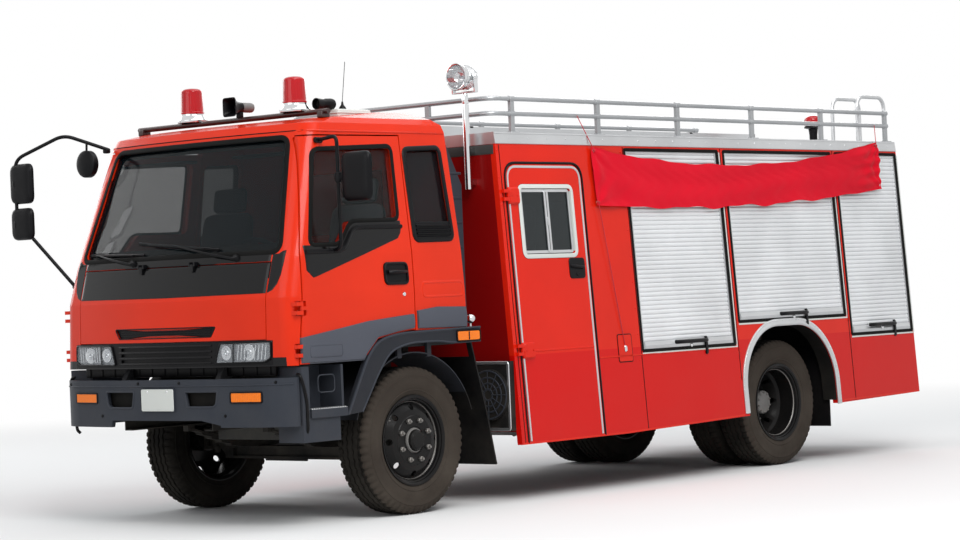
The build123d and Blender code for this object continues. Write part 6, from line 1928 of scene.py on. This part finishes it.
@dataclass
class RoofGear(Assembly):
    """Search lamp, rail fittings, ladder fittings, antenna and cab roof vent."""

    rail_y: float = 0.985

    def build(self) -> None:
        """Make the pieces on the roofs."""
        self._search_lamp()
        clamps = []
        for s in (-1, 1):
            for x in (1.2, 0.24, -0.72, -1.68, -2.64, -3.59):
                clamps.append(brick("post_foot", (x - 0.045, s * self.rail_y - 0.038, 2.5595),
                    (x + 0.045, s * self.rail_y + 0.038, 2.568), 0.003))
                clamps += [turned("collar", [(0.0165, -0.026), (0.0215, -0.024), (0.0215, 0.024),
                    (0.0165, 0.026)], (x, s * self.rail_y, z), (1, 0, 0), 18) for z in (2.8, 2.695)]
                clamps += [bolt("foot_bolt", (x + d, s * self.rail_y, 2.568), (0, 0, 1), 0.007, 0.006)
                    for d in (-0.033, 0.033)]
        self.join("rail_fittings", clamps, RAIL_STEEL)
        feet = [brick("ladder_foot", (-3.702, y - 0.022, 0.606), (-3.66, y + 0.022, 0.63), 0.005)
            for y in (0.67, 0.915)]
        grips = [turned("rung_ring", [(0.0128, -0.003), (0.0146, -0.002), (0.0146, 0.002), (0.0128, 0.003)],
            (-3.695, y, z), (0, 1, 0), 12) for z in np.arange(0.7, 2.5, 0.3)
            for y in np.arange(0.7, 0.89, 0.024)]
        self.join("rear_ladder_grips", feet + grips, BLACK_TRIM)
        ends = [brick("ladder_cap", (x - 0.012, y - 0.02, 2.617), (x + 0.012, y + 0.02, 2.703), 0.005)
            for x in (-3.296, 0.896) for y in (-0.56, -0.16)]
        straps = [brick("strap", (x - 0.02, -0.582, 2.69), (x + 0.02, -0.138, 2.7035), 0.003)
            for x in (-2.4, 0.35)]
        self.join("roof_ladder_caps", ends + straps, BLACK_TRIM)
        mast = [turned("antenna_base", [(0, 0.055), (0.006, 0.052), (0.01, 0.03), (0.024, 0.012), (0.026, 0),
            (0, 0)], (2.66, 0.76, 2.708), (0, 0, 1), 20), bar("antenna", (2.66, 0.76, 2.755),
            (2.6, 0.74, 3.03), 0.0022, 8)]
        self.join("antenna", mast, BLACK_TRIM, "cab")
        self.dress(brick("roof_vent", (2.52, -0.26, 2.612), (2.88, 0.26, 2.65), 0.02), CAB_RED, "cab")

    def _search_lamp(self) -> None:
        """Drum lamp with a bright rim, glass, bowl, fork and its locking knobs."""
        at, body = (1.54, 0.86, 2.95), "lamp_head"
        self.dress(turned("search_lamp_drum", [(0, -0.08), (0.02, -0.08), (0.045, -0.076), (0.07, -0.066),
            (0.084, -0.048), (0.0875, -0.028), (0.0875, 0.06), (0.092, 0.066), (0.0955, 0.072),
            (0.0955, 0.088), (0.09, 0.0915), (0.084, 0.088), (0.083, 0.078), (0.06, 0.03), (0.03, 0.004),
            (0.012, 0.0), (0, 0.0)], at, (1, 0, 0), 56), CHROME, body, "search_lamp")
        self.dress(turned("search_lamp_lens", [(0, 0.0905), (0.03, 0.09), (0.06, 0.0875), (0.0835, 0.0825),
            (0.0835, 0.08), (0.05, 0.082), (0, 0.0835)], at, (1, 0, 0), 56), CLEAR_LENS, body)
        self.dress(turned("search_lamp_bulb", [(0, 0.046), (0.01, 0.043), (0.014, 0.03), (0.01, 0.012),
            (0.01, 0.0), (0, 0)], at, (1, 0, 0), 20), REFLECTOR, body)
        x, y, z = at
        fork = [brick("fork", (x - 0.018, y + s * 0.102 - 0.0055, 2.84),
            (x + 0.018, y + s * 0.102 + 0.0055, 2.968), 0.003) for s in (-1, 1)]
        fork.append(brick("fork_base", (x - 0.019, y - 0.107, 2.838), (x + 0.019, y + 0.107, 2.85), 0.003))
        fork.append(turned("fork_socket", [(0.0135, 0), (0.0225, 0.001), (0.024, 0.006), (0.024, 0.06),
            (0.02, 0.074), (0, 0.074), (0, 0.072), (0.0135, 0.072)], (x, y, 2.765), (0, 0, 1), 28))
        fork += [turned("knob", [(0, 0.006), (0.015, 0.0055), (0.018, 0.002), (0.018, -0.006), (0, -0.006)],
            (x, y + s * 0.108, z), (0, s, 0), 18) for s in (-1, 1)]
        fork += [turned("cooling_ring", [(0.0872, r - 0.003), (0.0895, r - 0.002), (0.0895, r + 0.002),
            (0.0872, r + 0.003)], at, (1, 0, 0), 48) for r in (-0.012, 0.004, 0.02, 0.036)]
        self.join("search_lamp_fork", fork, CHROME, body)


@dataclass
class RearEnd(Assembly):
    """Tail lamps, rear beacon, plate, tread, flaps and the siren box at the front wall."""

    lamp_y: float = 1.025

    def build(self) -> None:
        """Make the pieces."""
        for side in Side:
            s, word = side.value, side.word
            y = s * self.lamp_y
            self.dress(brick(f"tail_lamp_case_{word}", (-3.638, y - 0.063, 0.622),
                (-3.6255, y + 0.063, 0.858), 0.006), BLACK_TRIM, "vehicle", "road_lamps")
            for number, (low, high, finish) in enumerate(((0.632, 0.7, CLEAR_LENS), (0.706, 0.774, AMBER),
                    (0.78, 0.848, RED_LENS))):
                self.dress(plate(f"tail_lens_{word}_{number}", oblong(y - 0.053, y + 0.053, low, high, 0.01),
                    lambda a, b, out: xyz(-3.636 - out, a, b), 0.0085, 0.005, -0.003), finish)
            flap = [brick("flap_rib", (-2.4465, s * 0.785 - 0.3, z), (-2.4395, s * 0.785 + 0.3, z + 0.012),
                0.003) for z in np.arange(0.3, 0.8, 0.06)]
            self.join(f"flap_ribs_{word}", flap, BLACK_TRIM)
            self._chequer(s, word)
        self.dress(turned("rear_beacon_base", [(0, 0.18), (0.06, 0.18), (0.074, 0.174), (0.076, 0.16),
            (0.04, 0.15), (0.034, 0.1), (0.034, 0), (0, 0)], (-3.425, 0.38, 2.5595), (0, 0, 1), 36),
            BLACK_TRIM)
        t = np.linspace(0, np.pi / 2, 10)
        dome = [(0.0, 0.0), (0.072, 0.0)] + [(0.073 * math.cos(a), 0.045 + 0.045 * math.sin(a)) for a in t]
        self.dress(turned("rear_beacon_dome", dome, (-3.425, 0.38, 2.7395), (0, 0, 1), 40), RED_LENS)
        self.dress(plate("rear_plate_blank", oblong(-0.16, 0.16, 0.8, 0.94, 0.01), on_rear, 0.005, 0.003,
            0.0), PLATE_WHITE)
        seams = [strip("seam", [(y, 0.5), (y, 2.47)], on_rear, band(0.008, 0.003), closed=False, step=0.4)
            for y in (-0.76, 0.76)]
        self.join("rear_wall_seams", seams, BODY_RED)
        self._siren_box()

    def _chequer(self, s: float, word: str) -> None:
        """Raised lozenges on the rear tread, in alternating directions.

        Args:
            s: Sign of the side.
            word: Name of the side.
        """
        teeth, half, tilt = [], 0.012, 0.6
        for i, x in enumerate(np.linspace(-3.712, -3.642, 3)):
            for j, y in enumerate(np.arange(0.2, 0.98, 0.052)):
                dx, dy = half * math.sin(tilt) * (1 if (i + j) % 2 else -1), half * math.cos(tilt)
                teeth.append(bar("tooth", (x - dx, s * y - dy, 0.5305), (x + dx, s * y + dy, 0.5305), 0.0035,
                    8))
        self.join(f"tread_teeth_{word}", teeth, TREAD_PLATE)

    def _siren_box(self) -> None:
        """Aluminium edge frame, dark face and a round speaker with rings and a mesh of bars."""
        self.dress(strip("siren_box_edge", oblong(0.79, 1.14, 0.5, 0.96, 0.014), upright_x(1.528),
            band(0.022, 0.006)), ALUMINIUM)
        rings = [turned("speaker_ring", [(r - 0.006, 0.0), (r - 0.004, 0.0035), (r + 0.004, 0.0035),
            (r + 0.006, 0.0)], (1.552, 0.97, 0.74), (1, 0, 0), 56) for r in (0.04, 0.08, 0.12, 0.166)]
        spokes = [bar("spoke", (1.553, 0.97 + 0.03 * math.cos(a), 0.74 + 0.03 * math.sin(a)),
            (1.553, 0.97 + 0.16 * math.cos(a), 0.74 + 0.16 * math.sin(a)), 0.0035, 8) for a in circle(12)]
        self.join("siren_speaker_grille", rings + spokes, CHARCOAL)


@dataclass
class UnderBody(Assembly):
    """Bolts on the frame and pipes along it."""

    def build(self) -> None:
        """Make the pieces below the body."""
        bolts = [bolt("frame_bolt", (x, s * 0.4302, z), (0, s, 0), 0.012, 0.012) for s in (-1, 1)
            for x in np.arange(-3.3, 3.2, 0.32) for z in (0.68, 0.8)]
        self.join("frame_bolts", bolts, FRAME_BLACK)
        pipes = [tube("pipe", smooth_bend([(2.9, s * 0.395, 0.74), (1.2, s * 0.395, 0.74),
            (1.0, s * 0.395, 0.7), (-1.5, s * 0.395, 0.7)], 0.08, 6), 0.007, 8) for s in (-1, 1)]
        self.join("brake_pipes", pipes, FRAME_BLACK)


def pad(name: str, centre: Spot, half: Spot, crown: float, channels: Spot = (), tilt: float = 0.0,
        facing: int = 2, cord_radius: float = 0.005) -> list[Thing]:
    """Crowned upholstery pad with sewn channels and piping round its widest line.

    The form is a superellipsoid: each coordinate is its half size times sgn(c)|c|^p of the angles, with
    p = 0.34 towards the edge, 0.26 round it and 0.5 through the thickness. The face side rises by the
    crown times (1 - a^2)(1 - b^2), and each channel draws it in by a bell curve across the width.

    Args:
        name: Piece name.
        centre: Middle of the pad.
        half: Half sizes along the pad's own length, width and thickness.
        crown: Rise of the face.
        channels: Places of the sewn lines across the width, from -1 to 1.
        tilt: Angle of the pad's length above the level, in radians.
        facing: 2 where the face looks up, 0 where it looks forwards.
        cord_radius: Radius of the piping.

    Returns:
        The pad and its piping.
    """
    u = circle(88)
    v = np.linspace(-np.pi / 2, np.pi / 2, 41)[:, None]
    a = power(np.cos(v), 0.34) * power(np.cos(u), 0.26)
    b = power(np.cos(v), 0.34) * power(np.sin(u), 0.26)
    c = power(np.sin(v), 0.5)
    rise = crown * (1 - a ** 2) * (1 - b ** 2)
    for at in channels:
        rise = rise - 0.55 * crown * np.exp(-((b - at) / 0.035) ** 2) * (1 - a ** 4)
    depth = half[2] * c + np.where(c > 0, rise, 0)
    turn_c, turn_s = math.cos(tilt), math.sin(tilt)

    def world(length: Array, width: Array, thick: Reals) -> Array:
        """Points of the pad in the vehicle's frame.

        Args:
            length: Coordinate along the pad.
            width: Coordinate across it.
            thick: Coordinate through it.

        Returns:
            Points.
        """
        if facing == 2:
            x, z = length * turn_c - thick * turn_s, length * turn_s + thick * turn_c
        else:
            x, z = thick * turn_s + length * turn_c, length * turn_s - thick * turn_c
        return xyz(centre[0] + x, centre[1] + width, centre[2] + z)

    body = surface(name, world(half[0] * a, half[1] * b, depth if facing == 2 else -depth), wrap_cols=True)
    ring = world(half[0] * 1.003 * power(np.cos(u), 0.26), half[1] * 1.003 * power(np.sin(u), 0.26), 0.0)
    return [body, tube(f"{name}_piping", ring, cord_radius, 8, closed=True)]


@dataclass
class Seats(Assembly):
    """Cab seats and the crew's bench: pads with channels and piping on their bases."""

    def build(self) -> None:
        """Make the padded pieces and the bases."""
        lean, rake = math.atan2(0.03, 0.53), math.atan2(0.725, -0.125)
        for word, y in (("driver", 0.64), ("commander", -0.64)):
            self._padded(pad(f"{word}_cushion", (2.685, y, 1.49), (0.262, 0.246, 0.052), 0.016,
                (-0.5, 0.0, 0.5), lean), "cab", "cab_seats")
            self._padded(pad(f"{word}_back", (2.461, y, 1.812), (0.268, 0.24, 0.042), 0.014, (-0.45, 0.45),
                rake, 0), "cab")
            self._padded(pad(f"{word}_head_rest", (2.398, y, 2.17), (0.082, 0.15, 0.036), 0.01, (), rake, 0),
                "cab")
            base = [brick("seat_base", (2.482, y - 0.188, 1.1505), (2.898, y + 0.188, 1.428), 0.012),
                brick("seat_slide", (2.47, y - 0.2, 1.4), (2.9, y - 0.17, 1.43), 0.004),
                brick("seat_slide", (2.47, y + 0.17, 1.4), (2.9, y + 0.2, 1.43), 0.004)]
            self.join(f"{word}_seat_base", base, CHARCOAL, "cab")
        self._bench()

    def _padded(self, pieces: list[Thing], body: str, *nodes: str) -> None:
        """Args:
            pieces: The pad and its piping.
            body: CAD body they ride on.
            *nodes: CAD nodes that the pad stands for.
        """
        self.dress(pieces[0], SEAT_CLOTH, body, *nodes)
        self.dress(pieces[1], BLACK_TRIM, body)

    def _bench(self) -> None:
        """Crew's bench against the partition: three cushions and three backs on a locker base."""
        self.dress(brick("crew_bench_base", (0.0905, -0.819, 0.9605), (0.519, 0.819, 1.334), 0.008), CHARCOAL,
            "vehicle", "crew_seat")
        rake = math.atan2(0.66, -0.03)
        for number, y in enumerate((-0.567, 0.0, 0.567)):
            self._padded(pad(f"crew_cushion_{number}", (0.341, y, 1.381), (0.247, 0.28, 0.046), 0.012,
                (0.0,)), "vehicle")
            self._padded(pad(f"crew_back_{number}", (0.15, y, 1.765), (0.325, 0.28, 0.04), 0.012, (-0.4, 0.4),
                rake, 0), "vehicle")


@dataclass
class Interior(Assembly):
    """What shows through the cab's windows: dials' hood, vents, lid, stalks, door cards and visors."""

    desk_low: float = 1.5
    desk_x: float = 3.3
    desk_rise: float = 0.2143

    def build(self) -> None:
        """Make the pieces inside the cab."""
        self._dashboard()
        for side in Side:
            self._door_card(side)
        visors = [brick("visor", (3.06, y - 0.27, 2.405), (3.2, y + 0.27, 2.425), 0.008) for y in (-0.5, 0.5)]
        self.join("sun_visors", visors, SEAT_CLOTH, "cab")

    def _on_desk(self, y: Reals, z: Reals, out: Reals) -> Array:
        """Point on the dashboard's rear face, which leans forwards by a fifth of its height."""
        return xyz(self.desk_x + (z - self.desk_low) * self.desk_rise - out, y, z)

    def _dashboard(self) -> None:
        """Hood over blank dials, four vents with bars, a lid's outline, a switch row and two stalks."""
        self.dress(brick("dial_hood", (3.275, 0.37, 1.66), (3.4, 0.75, 1.742), 0.026), BLACK_TRIM, "cab")
        dials = [turned("dial", [(0, 0.004), (0.03, 0.004), (0.034, 0.007), (0.038, 0.006), (0.038, 0),
            (0, 0)], (3.2755, y, 1.702), (-1, 0, 0), 28) for y in (0.455, 0.56, 0.665)]
        self.join("dials_blank", dials, CHARCOAL, "cab")
        parts = []
        for y in (-0.8, -0.28, 0.24, 0.85):
            parts.append(strip("vent_bezel", oblong(y - 0.06, y + 0.06, 1.56, 1.622, 0.012), self._on_desk,
                [(-0.006, 0.0), (-0.004, 0.007), (0.003, 0.007), (0.005, 0.0)]))
            parts += [strip("vent_bar", [(y - 0.055, z), (y + 0.055, z)], self._on_desk, band(0.005, 0.004),
                closed=False) for z in (1.574, 1.586, 1.598, 1.61)]
        parts.append(strip("lid_outline", oblong(-0.76, -0.34, 1.512, 1.548, 0.01), self._on_desk,
            bead(0.003, 0.0)))
        parts += [brick("switch", (3.288, y - 0.013, 1.52), (3.312, y + 0.013, 1.545), 0.003)
            for y in np.arange(-0.16, 0.2, 0.036)]
        self.join("dash_fittings", parts, BLACK_TRIM, "cab")
        stalks = [bar("stalk", (3.205, 0.56 + s * 0.03, 1.685), (3.195, 0.56 + s * 0.175, 1.715), 0.007, 10)
            for s in (-1, 1)]
        self.join("column_stalks", stalks, BLACK_TRIM, "cab")

    def _door_card(self, side: Side) -> None:
        """Lining inside a cab door, with its arm rest and pocket.

        Args:
            side: The side.
        """
        place, word = on_cab_side(side), side.word
        inner: Place = lambda x, z, out: place(x, z, -0.045 - out)
        self.dress(panel(f"door_card_{word}", [(2.53, 1.3), (3.34, 1.3)],
            [(2.53, 1.78), (2.96, 1.78), (3.06, 1.7), (3.34, 1.69)], inner, 0.006, back=-0.002, columns=30),
            FLOOR_LINER, f"{word}_cab_door")
        self.dress(panel(f"door_arm_rest_{word}", [(2.6, 1.59), (3.06, 1.59)], [(2.6, 1.64), (3.06, 1.65)],
            inner, 0.045, back=0.002, columns=20, crown=0.004), SEAT_CLOTH, f"{word}_cab_door")
        self.dress(panel(f"door_pocket_{word}", [(2.62, 1.33), (3.2, 1.33)], [(2.62, 1.44), (3.2, 1.44)],
            inner, 0.026, back=0.002, columns=20), BLACK_TRIM, f"{word}_cab_door")


@dataclass
class Banner(Assembly):
    """Plain red cloth hung along the left side, with its eyelets, knots and cords."""

    front: float = 0.446
    rear: float = -3.31
    columns: int = 300
    rows: int = 52
    thick: float = 0.0012

    def build(self) -> None:
        """Make the cloth, its eyelets and the cords."""
        cloth, flat = self._cloth()
        self.dress(cloth, BANNER_RED, "vehicle", "banner")
        place = on_body(Side.LEFT)
        eyelets = [turned("eyelet", [(0.006, -0.01), (0.012, -0.008), (0.012, 0.004), (0.006, 0.006)],
            place(x, z, 0.02), (0, 1, 0), 20) for x, z in ((0.425, 2.44), (0.428, 2.062), (-3.285, 2.52),
            (-3.3, 2.19))]
        ring = self.join("banner_eyelets", eyelets, CHROME)
        self._cord("banner_cord_low", (0.249, 1.166, 0.997), (0.428, 1.116, 2.062))
        self._cord("banner_cord_front", (0.5, 1.006, 2.695), (0.425, 1.092, 2.44))
        self._cord("banner_cord_rear", (-3.4, 1.006, 2.695), (-3.285, 1.09, 2.52))

    def _cloth(self) -> tuple[Thing, tuple[float, float]]:
        """Cloth as a grid between a sagging top and bottom line.

        With u along and v up, each line is straight plus a sag 4 u (1 - u). The offset from the body sums
        three waves: creases that fan out of each tied corner and die away with distance, slow upright
        folds, and swags that follow the top's sag.

        Returns:
            The cloth and its flat width and length.
        """
        u = np.linspace(0, 1, self.columns)[:, None]
        v = np.linspace(0, 1, self.rows)[None]
        ripple = 0.01 * np.sin(2 * np.pi * 5.5 * u + 0.8) + 0.006 * np.sin(2 * np.pi * 11.3 * u)
        top = 2.459 + 0.091 * u - 0.156 * 4 * u * (1 - u) + 0.5 * ripple
        low = 2.042 + 0.12 * u - 0.07 * 4 * u * (1 - u) - ripple * np.sin(np.pi * u)
        x = self.front + (self.rear - self.front) * u + 0.012 * np.sin(2 * np.pi * v) * (u - 0.5)
        z = low + (top - low) * v
        wave = 0.3 * np.sin(2 * np.pi * (7.3 * u + 0.35 * np.sin(2 * np.pi * 1.7 * u) - 0.25 * v)) * (1.1 - v)
        slow = 0.55 * np.sin(2 * np.pi * 0.9 * u + 0.4)
        wave = wave + 0.45 * np.sin(2 * np.pi * (1.7 * v + slow + 1.3 * u))
        wave = wave + 0.12 * np.sin(2 * np.pi * (23.0 * u + 1.1 * v + 0.6 * np.sin(9 * v)))
        for corner_x, corner_z, sharp in ((0.446, 2.46, 9.0), (0.446, 2.04, 8.0), (-3.31, 2.55, 11.0),
                (-3.31, 2.16, 9.0)):
            reach = np.hypot(x - corner_x, z - corner_z)
            angle = np.arctan2(z - corner_z, x - corner_x)
            wave = wave + 0.9 * np.sin(sharp * angle) * np.exp(-reach / 0.42) * np.tanh(reach / 0.08)
        gather = 1 / (1 + np.exp((-u + 0.93) / 0.02))
        wave = wave + 0.9 * gather * np.sin(2 * np.pi * 4.5 * v + 3 * u)
        out = 0.008 + 0.036 * (wave - wave.min()) / (wave.max() - wave.min())
        place = on_body(Side.LEFT)
        face = place(x, z, out)
        thin = np.full_like(out, self.thick)
        thin[[0, -1]] = 0.0
        back = place(x, z, out - thin)
        width = np.linalg.norm(np.diff(face, axis=1), axis=-1).sum(axis=1).mean()
        length = np.linalg.norm(np.diff(face, axis=0), axis=-1).sum(axis=0).mean()
        ring = np.concatenate([face, back[:, ::-1]], axis=1)
        return surface("banner_cloth", ring, wrap_cols=True, angle=80), (float(width), float(length))

    def _cord(self, name: str, start: Spot, end: Spot) -> None:
        """Taut straight cord from a fixing on the body to an eyelet, ending in a knot.

        Args:
            name: Piece name.
            start: Point where it leaves the body.
            end: Point where it is knotted.
        """
        a, b = np.asarray(start, float), np.asarray(end, float)
        points = a + (b - a) * np.linspace(0, 1, 13)[:, None]
        curve = bpy.data.curves.new(name, "CURVE")
        curve.dimensions = "3D"
        curve.bevel_depth = 0.003
        curve.bevel_resolution = 4
        spline = curve.splines.new("NURBS")
        spline.points.add(len(points) - 1)
        spline.points.foreach_set("co", np.concatenate([points, np.ones((13, 1))], axis=1).ravel())
        spline.order_u = 3
        spline.use_endpoint_u = True
        line = bpy.data.objects.new(name, curve)
        bpy.context.scene.collection.objects.link(line)
        knot = turned(f"{name}_knot", [(0, -0.011), (0.007, -0.01), (0.011, -0.004), (0.008, 0.0),
            (0.011, 0.004), (0.007, 0.01), (0, 0.011)], b, b - a, 14)
        self.dress(line, CORD_RED)
        self.dress(knot, CORD_RED)


@dataclass
class UnderCab(Assembly):
    """Dark apron behind the bumper and the radiator in front of the engine."""

    def build(self) -> None:
        """Make the apron and the radiator."""
        apron = [brick("apron", (3.512, -0.93, 0.978), (3.54, 0.93, 1.075), 0.006)]
        apron += [brick("apron_rib", (3.538, y - 0.006, 0.984), (3.545, y + 0.006, 1.07), 0.002)
            for y in np.linspace(-0.88, 0.88, 15)]
        self.join("front_apron", apron, BLACK_TRIM, "cab")
        core = [brick("radiator_frame", (3.3, -0.385, 0.7), (3.35, 0.385, 0.985), 0.008)]
        core += [brick("radiator_fin", (3.349, -0.37, z), (3.354, 0.37, z + 0.006), 0.001)
            for z in np.arange(0.715, 0.975, 0.014)]
        self.join("radiator", core, FRAME_BLACK)


def seen_rays(wire: Wiring) -> bpy.types.NodeSocket:
    """Mask of the rays that show the surroundings as white: camera, transmission and glossy rays.

    Args:
        wire: Wiring of the tree that uses it.

    Returns:
        The mask.
    """
    path = wire.add("LightPath").outputs
    either = wire.math("MAXIMUM", path["Is Camera Ray"], path["Is Transmission Ray"])
    return wire.math("MAXIMUM", either, path["Is Glossy Ray"])


@dataclass
class Studio:
    """Camera, floor, world and soft lamps."""

    eye: tuple[float, float, float] = (15.269, 13.057, 1.4825)
    yaw: float = -138.55
    pitch: float = 0.388
    roll: float = -2.391
    focal_px: float = 2642.39
    sensor: float = 36.0
    picture_width: float = 960.0

    def build(self) -> None:
        """Make the camera, lamps, world and floor."""
        self._camera()
        self._lamps()
        self._world()
        self._floor()
        bpy.context.scene.view_settings.view_transform = "Standard"

    def _camera(self) -> None:
        """Camera at the photograph's viewing angle.

        The axes are built from yaw, pitch and roll: forward from yaw and pitch, right across it on the
        level, up from their cross product, and then right and up turned by the roll.
        """
        yaw, pitch, roll = (math.radians(v) for v in (self.yaw, self.pitch, self.roll))
        ahead = Vector((math.cos(yaw) * math.cos(pitch), math.sin(yaw) * math.cos(pitch), math.sin(pitch)))
        right = Vector((math.sin(yaw), -math.cos(yaw), 0.0))
        above = right.cross(ahead)
        right_turned = math.cos(roll) * right + math.sin(roll) * above
        above_turned = -math.sin(roll) * right + math.cos(roll) * above
        lens = bpy.data.cameras.new("camera")
        lens.sensor_width = self.sensor
        lens.lens = self.focal_px * self.sensor / self.picture_width
        lens.clip_start, lens.clip_end = 0.5, 400.0
        eye = bpy.data.objects.new("camera", lens)
        axes = Matrix((right_turned, above_turned, -ahead)).transposed().to_4x4()
        axes.translation = Vector(self.eye)
        eye.matrix_world = axes
        bpy.context.scene.collection.objects.link(eye)
        bpy.context.scene.camera = eye

    def _lamps(self) -> None:
        """A broad key lamp high on the left front, a fill from the front and soft ones round the rest."""
        aim = Vector((0.0, 0.0, 1.2))
        rows = (("key", (7.0, 10.0, 10.5), 7.0, 1420.0), ("fill", (13.0, 0.0, 6.0), 7.0, 250.0),
            ("above", (-1.0, 3.0, 12.0), 10.0, 640.0), ("rear", (-11.0, -6.0, 7.0), 6.0, 380.0),
            ("right", (1.0, -12.0, 6.5), 7.0, 420.0))
        for name, place, size, watts in rows:
            lamp = bpy.data.lights.new(name, "AREA")
            lamp.shape, lamp.size, lamp.energy = "SQUARE", size, watts
            thing = bpy.data.objects.new(name, lamp)
            thing.location = place
            thing.rotation_euler = (aim - Vector(place)).to_track_quat("-Z", "Y").to_euler()
            bpy.context.scene.collection.objects.link(thing)

    def _world(self) -> None:
        """Soft sky: white to the camera and in reflections, dimmer as a light."""
        world = bpy.data.worlds.new("soft_sky")
        world.use_nodes = True
        wire = Wiring(world.node_tree)
        sky = wire.feed(wire.tree.nodes["Background"], {"Color": (0.8, 0.86, 0.95, 1.0), "Strength": 0.3})
        plain = wire.add("Background", {"Color": (1.0, 1.0, 1.0, 1.0), "Strength": 1.0})
        both = wire.add("MixShader", {"Fac": seen_rays(wire), 1: sky.outputs[0], 2: plain.outputs[0]})
        wire.feed(wire.tree.nodes["World Output"], {"Surface": both.outputs[0]})
        bpy.context.scene.world = world

    def _floor(self) -> None:
        """Plain pale floor that keeps the vehicle's shadow and fades to white far from it."""
        x, y = np.meshgrid([-60.0, 0.0, 60.0], [-60.0, 0.0, 60.0], indexing="ij")
        floor = surface("studio_floor", np.stack([x, y, np.full_like(x, -0.001)], axis=-1))
        material = bpy.data.materials.new("studio_floor")
        material.use_nodes = True
        wire = Wiring(material.node_tree)
        shader = wire.tree.nodes["Principled BSDF"]
        wire.feed(shader, {"Base Color": (0.8, 0.8, 0.79, 1.0), "Roughness": 0.85})
        away = wire.add("VectorMath", {0: wire.place()}, operation="LENGTH").outputs["Value"]
        fade = wire.add("MapRange", {"Value": away, "From Min": 6.0, "From Max": 16.0},
            interpolation_type="SMOOTHSTEP").outputs["Result"]
        share = wire.math("MULTIPLY", fade, seen_rays(wire))
        white = wire.add("Emission", {"Strength": 1.0})
        both = wire.add("MixShader", {"Fac": share, 1: shader.outputs[0], 2: white.outputs[0]})
        wire.feed(wire.tree.nodes["Material Output"], {"Surface": both.outputs[0]})
        floor.data.materials.append(material)


def main() -> None:
    """Build every sub-assembly, in order, and report each."""
    logging.basicConfig(level=logging.INFO, format="%(name)s: %(message)s")
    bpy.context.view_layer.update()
    shop = Paintshop()
    Studio().build()
    CarriedNodes(shop).build(frame["nodes"])
    CabFront(shop).build()
    for side in Side:
        CabDoor(shop, side).build()
        HeadLamp(shop, side).build()
        SideSkirt(shop, side).build()
        CrewDoor(shop, side).build()
    Bumper(shop).build()
    Mirrors(shop).build()
    RoofBar(shop).build()
    Wheels(shop).build()
    Shutters(shop).build()
    BodyTrim(shop).build()
    RoofGear(shop).build()
    RearEnd(shop).build()
    UnderBody(shop).build()
    UnderCab(shop).build()
    Seats(shop).build()
    Interior(shop).build()
    Banner(shop).build()


if __name__ == "__main__":
    main()
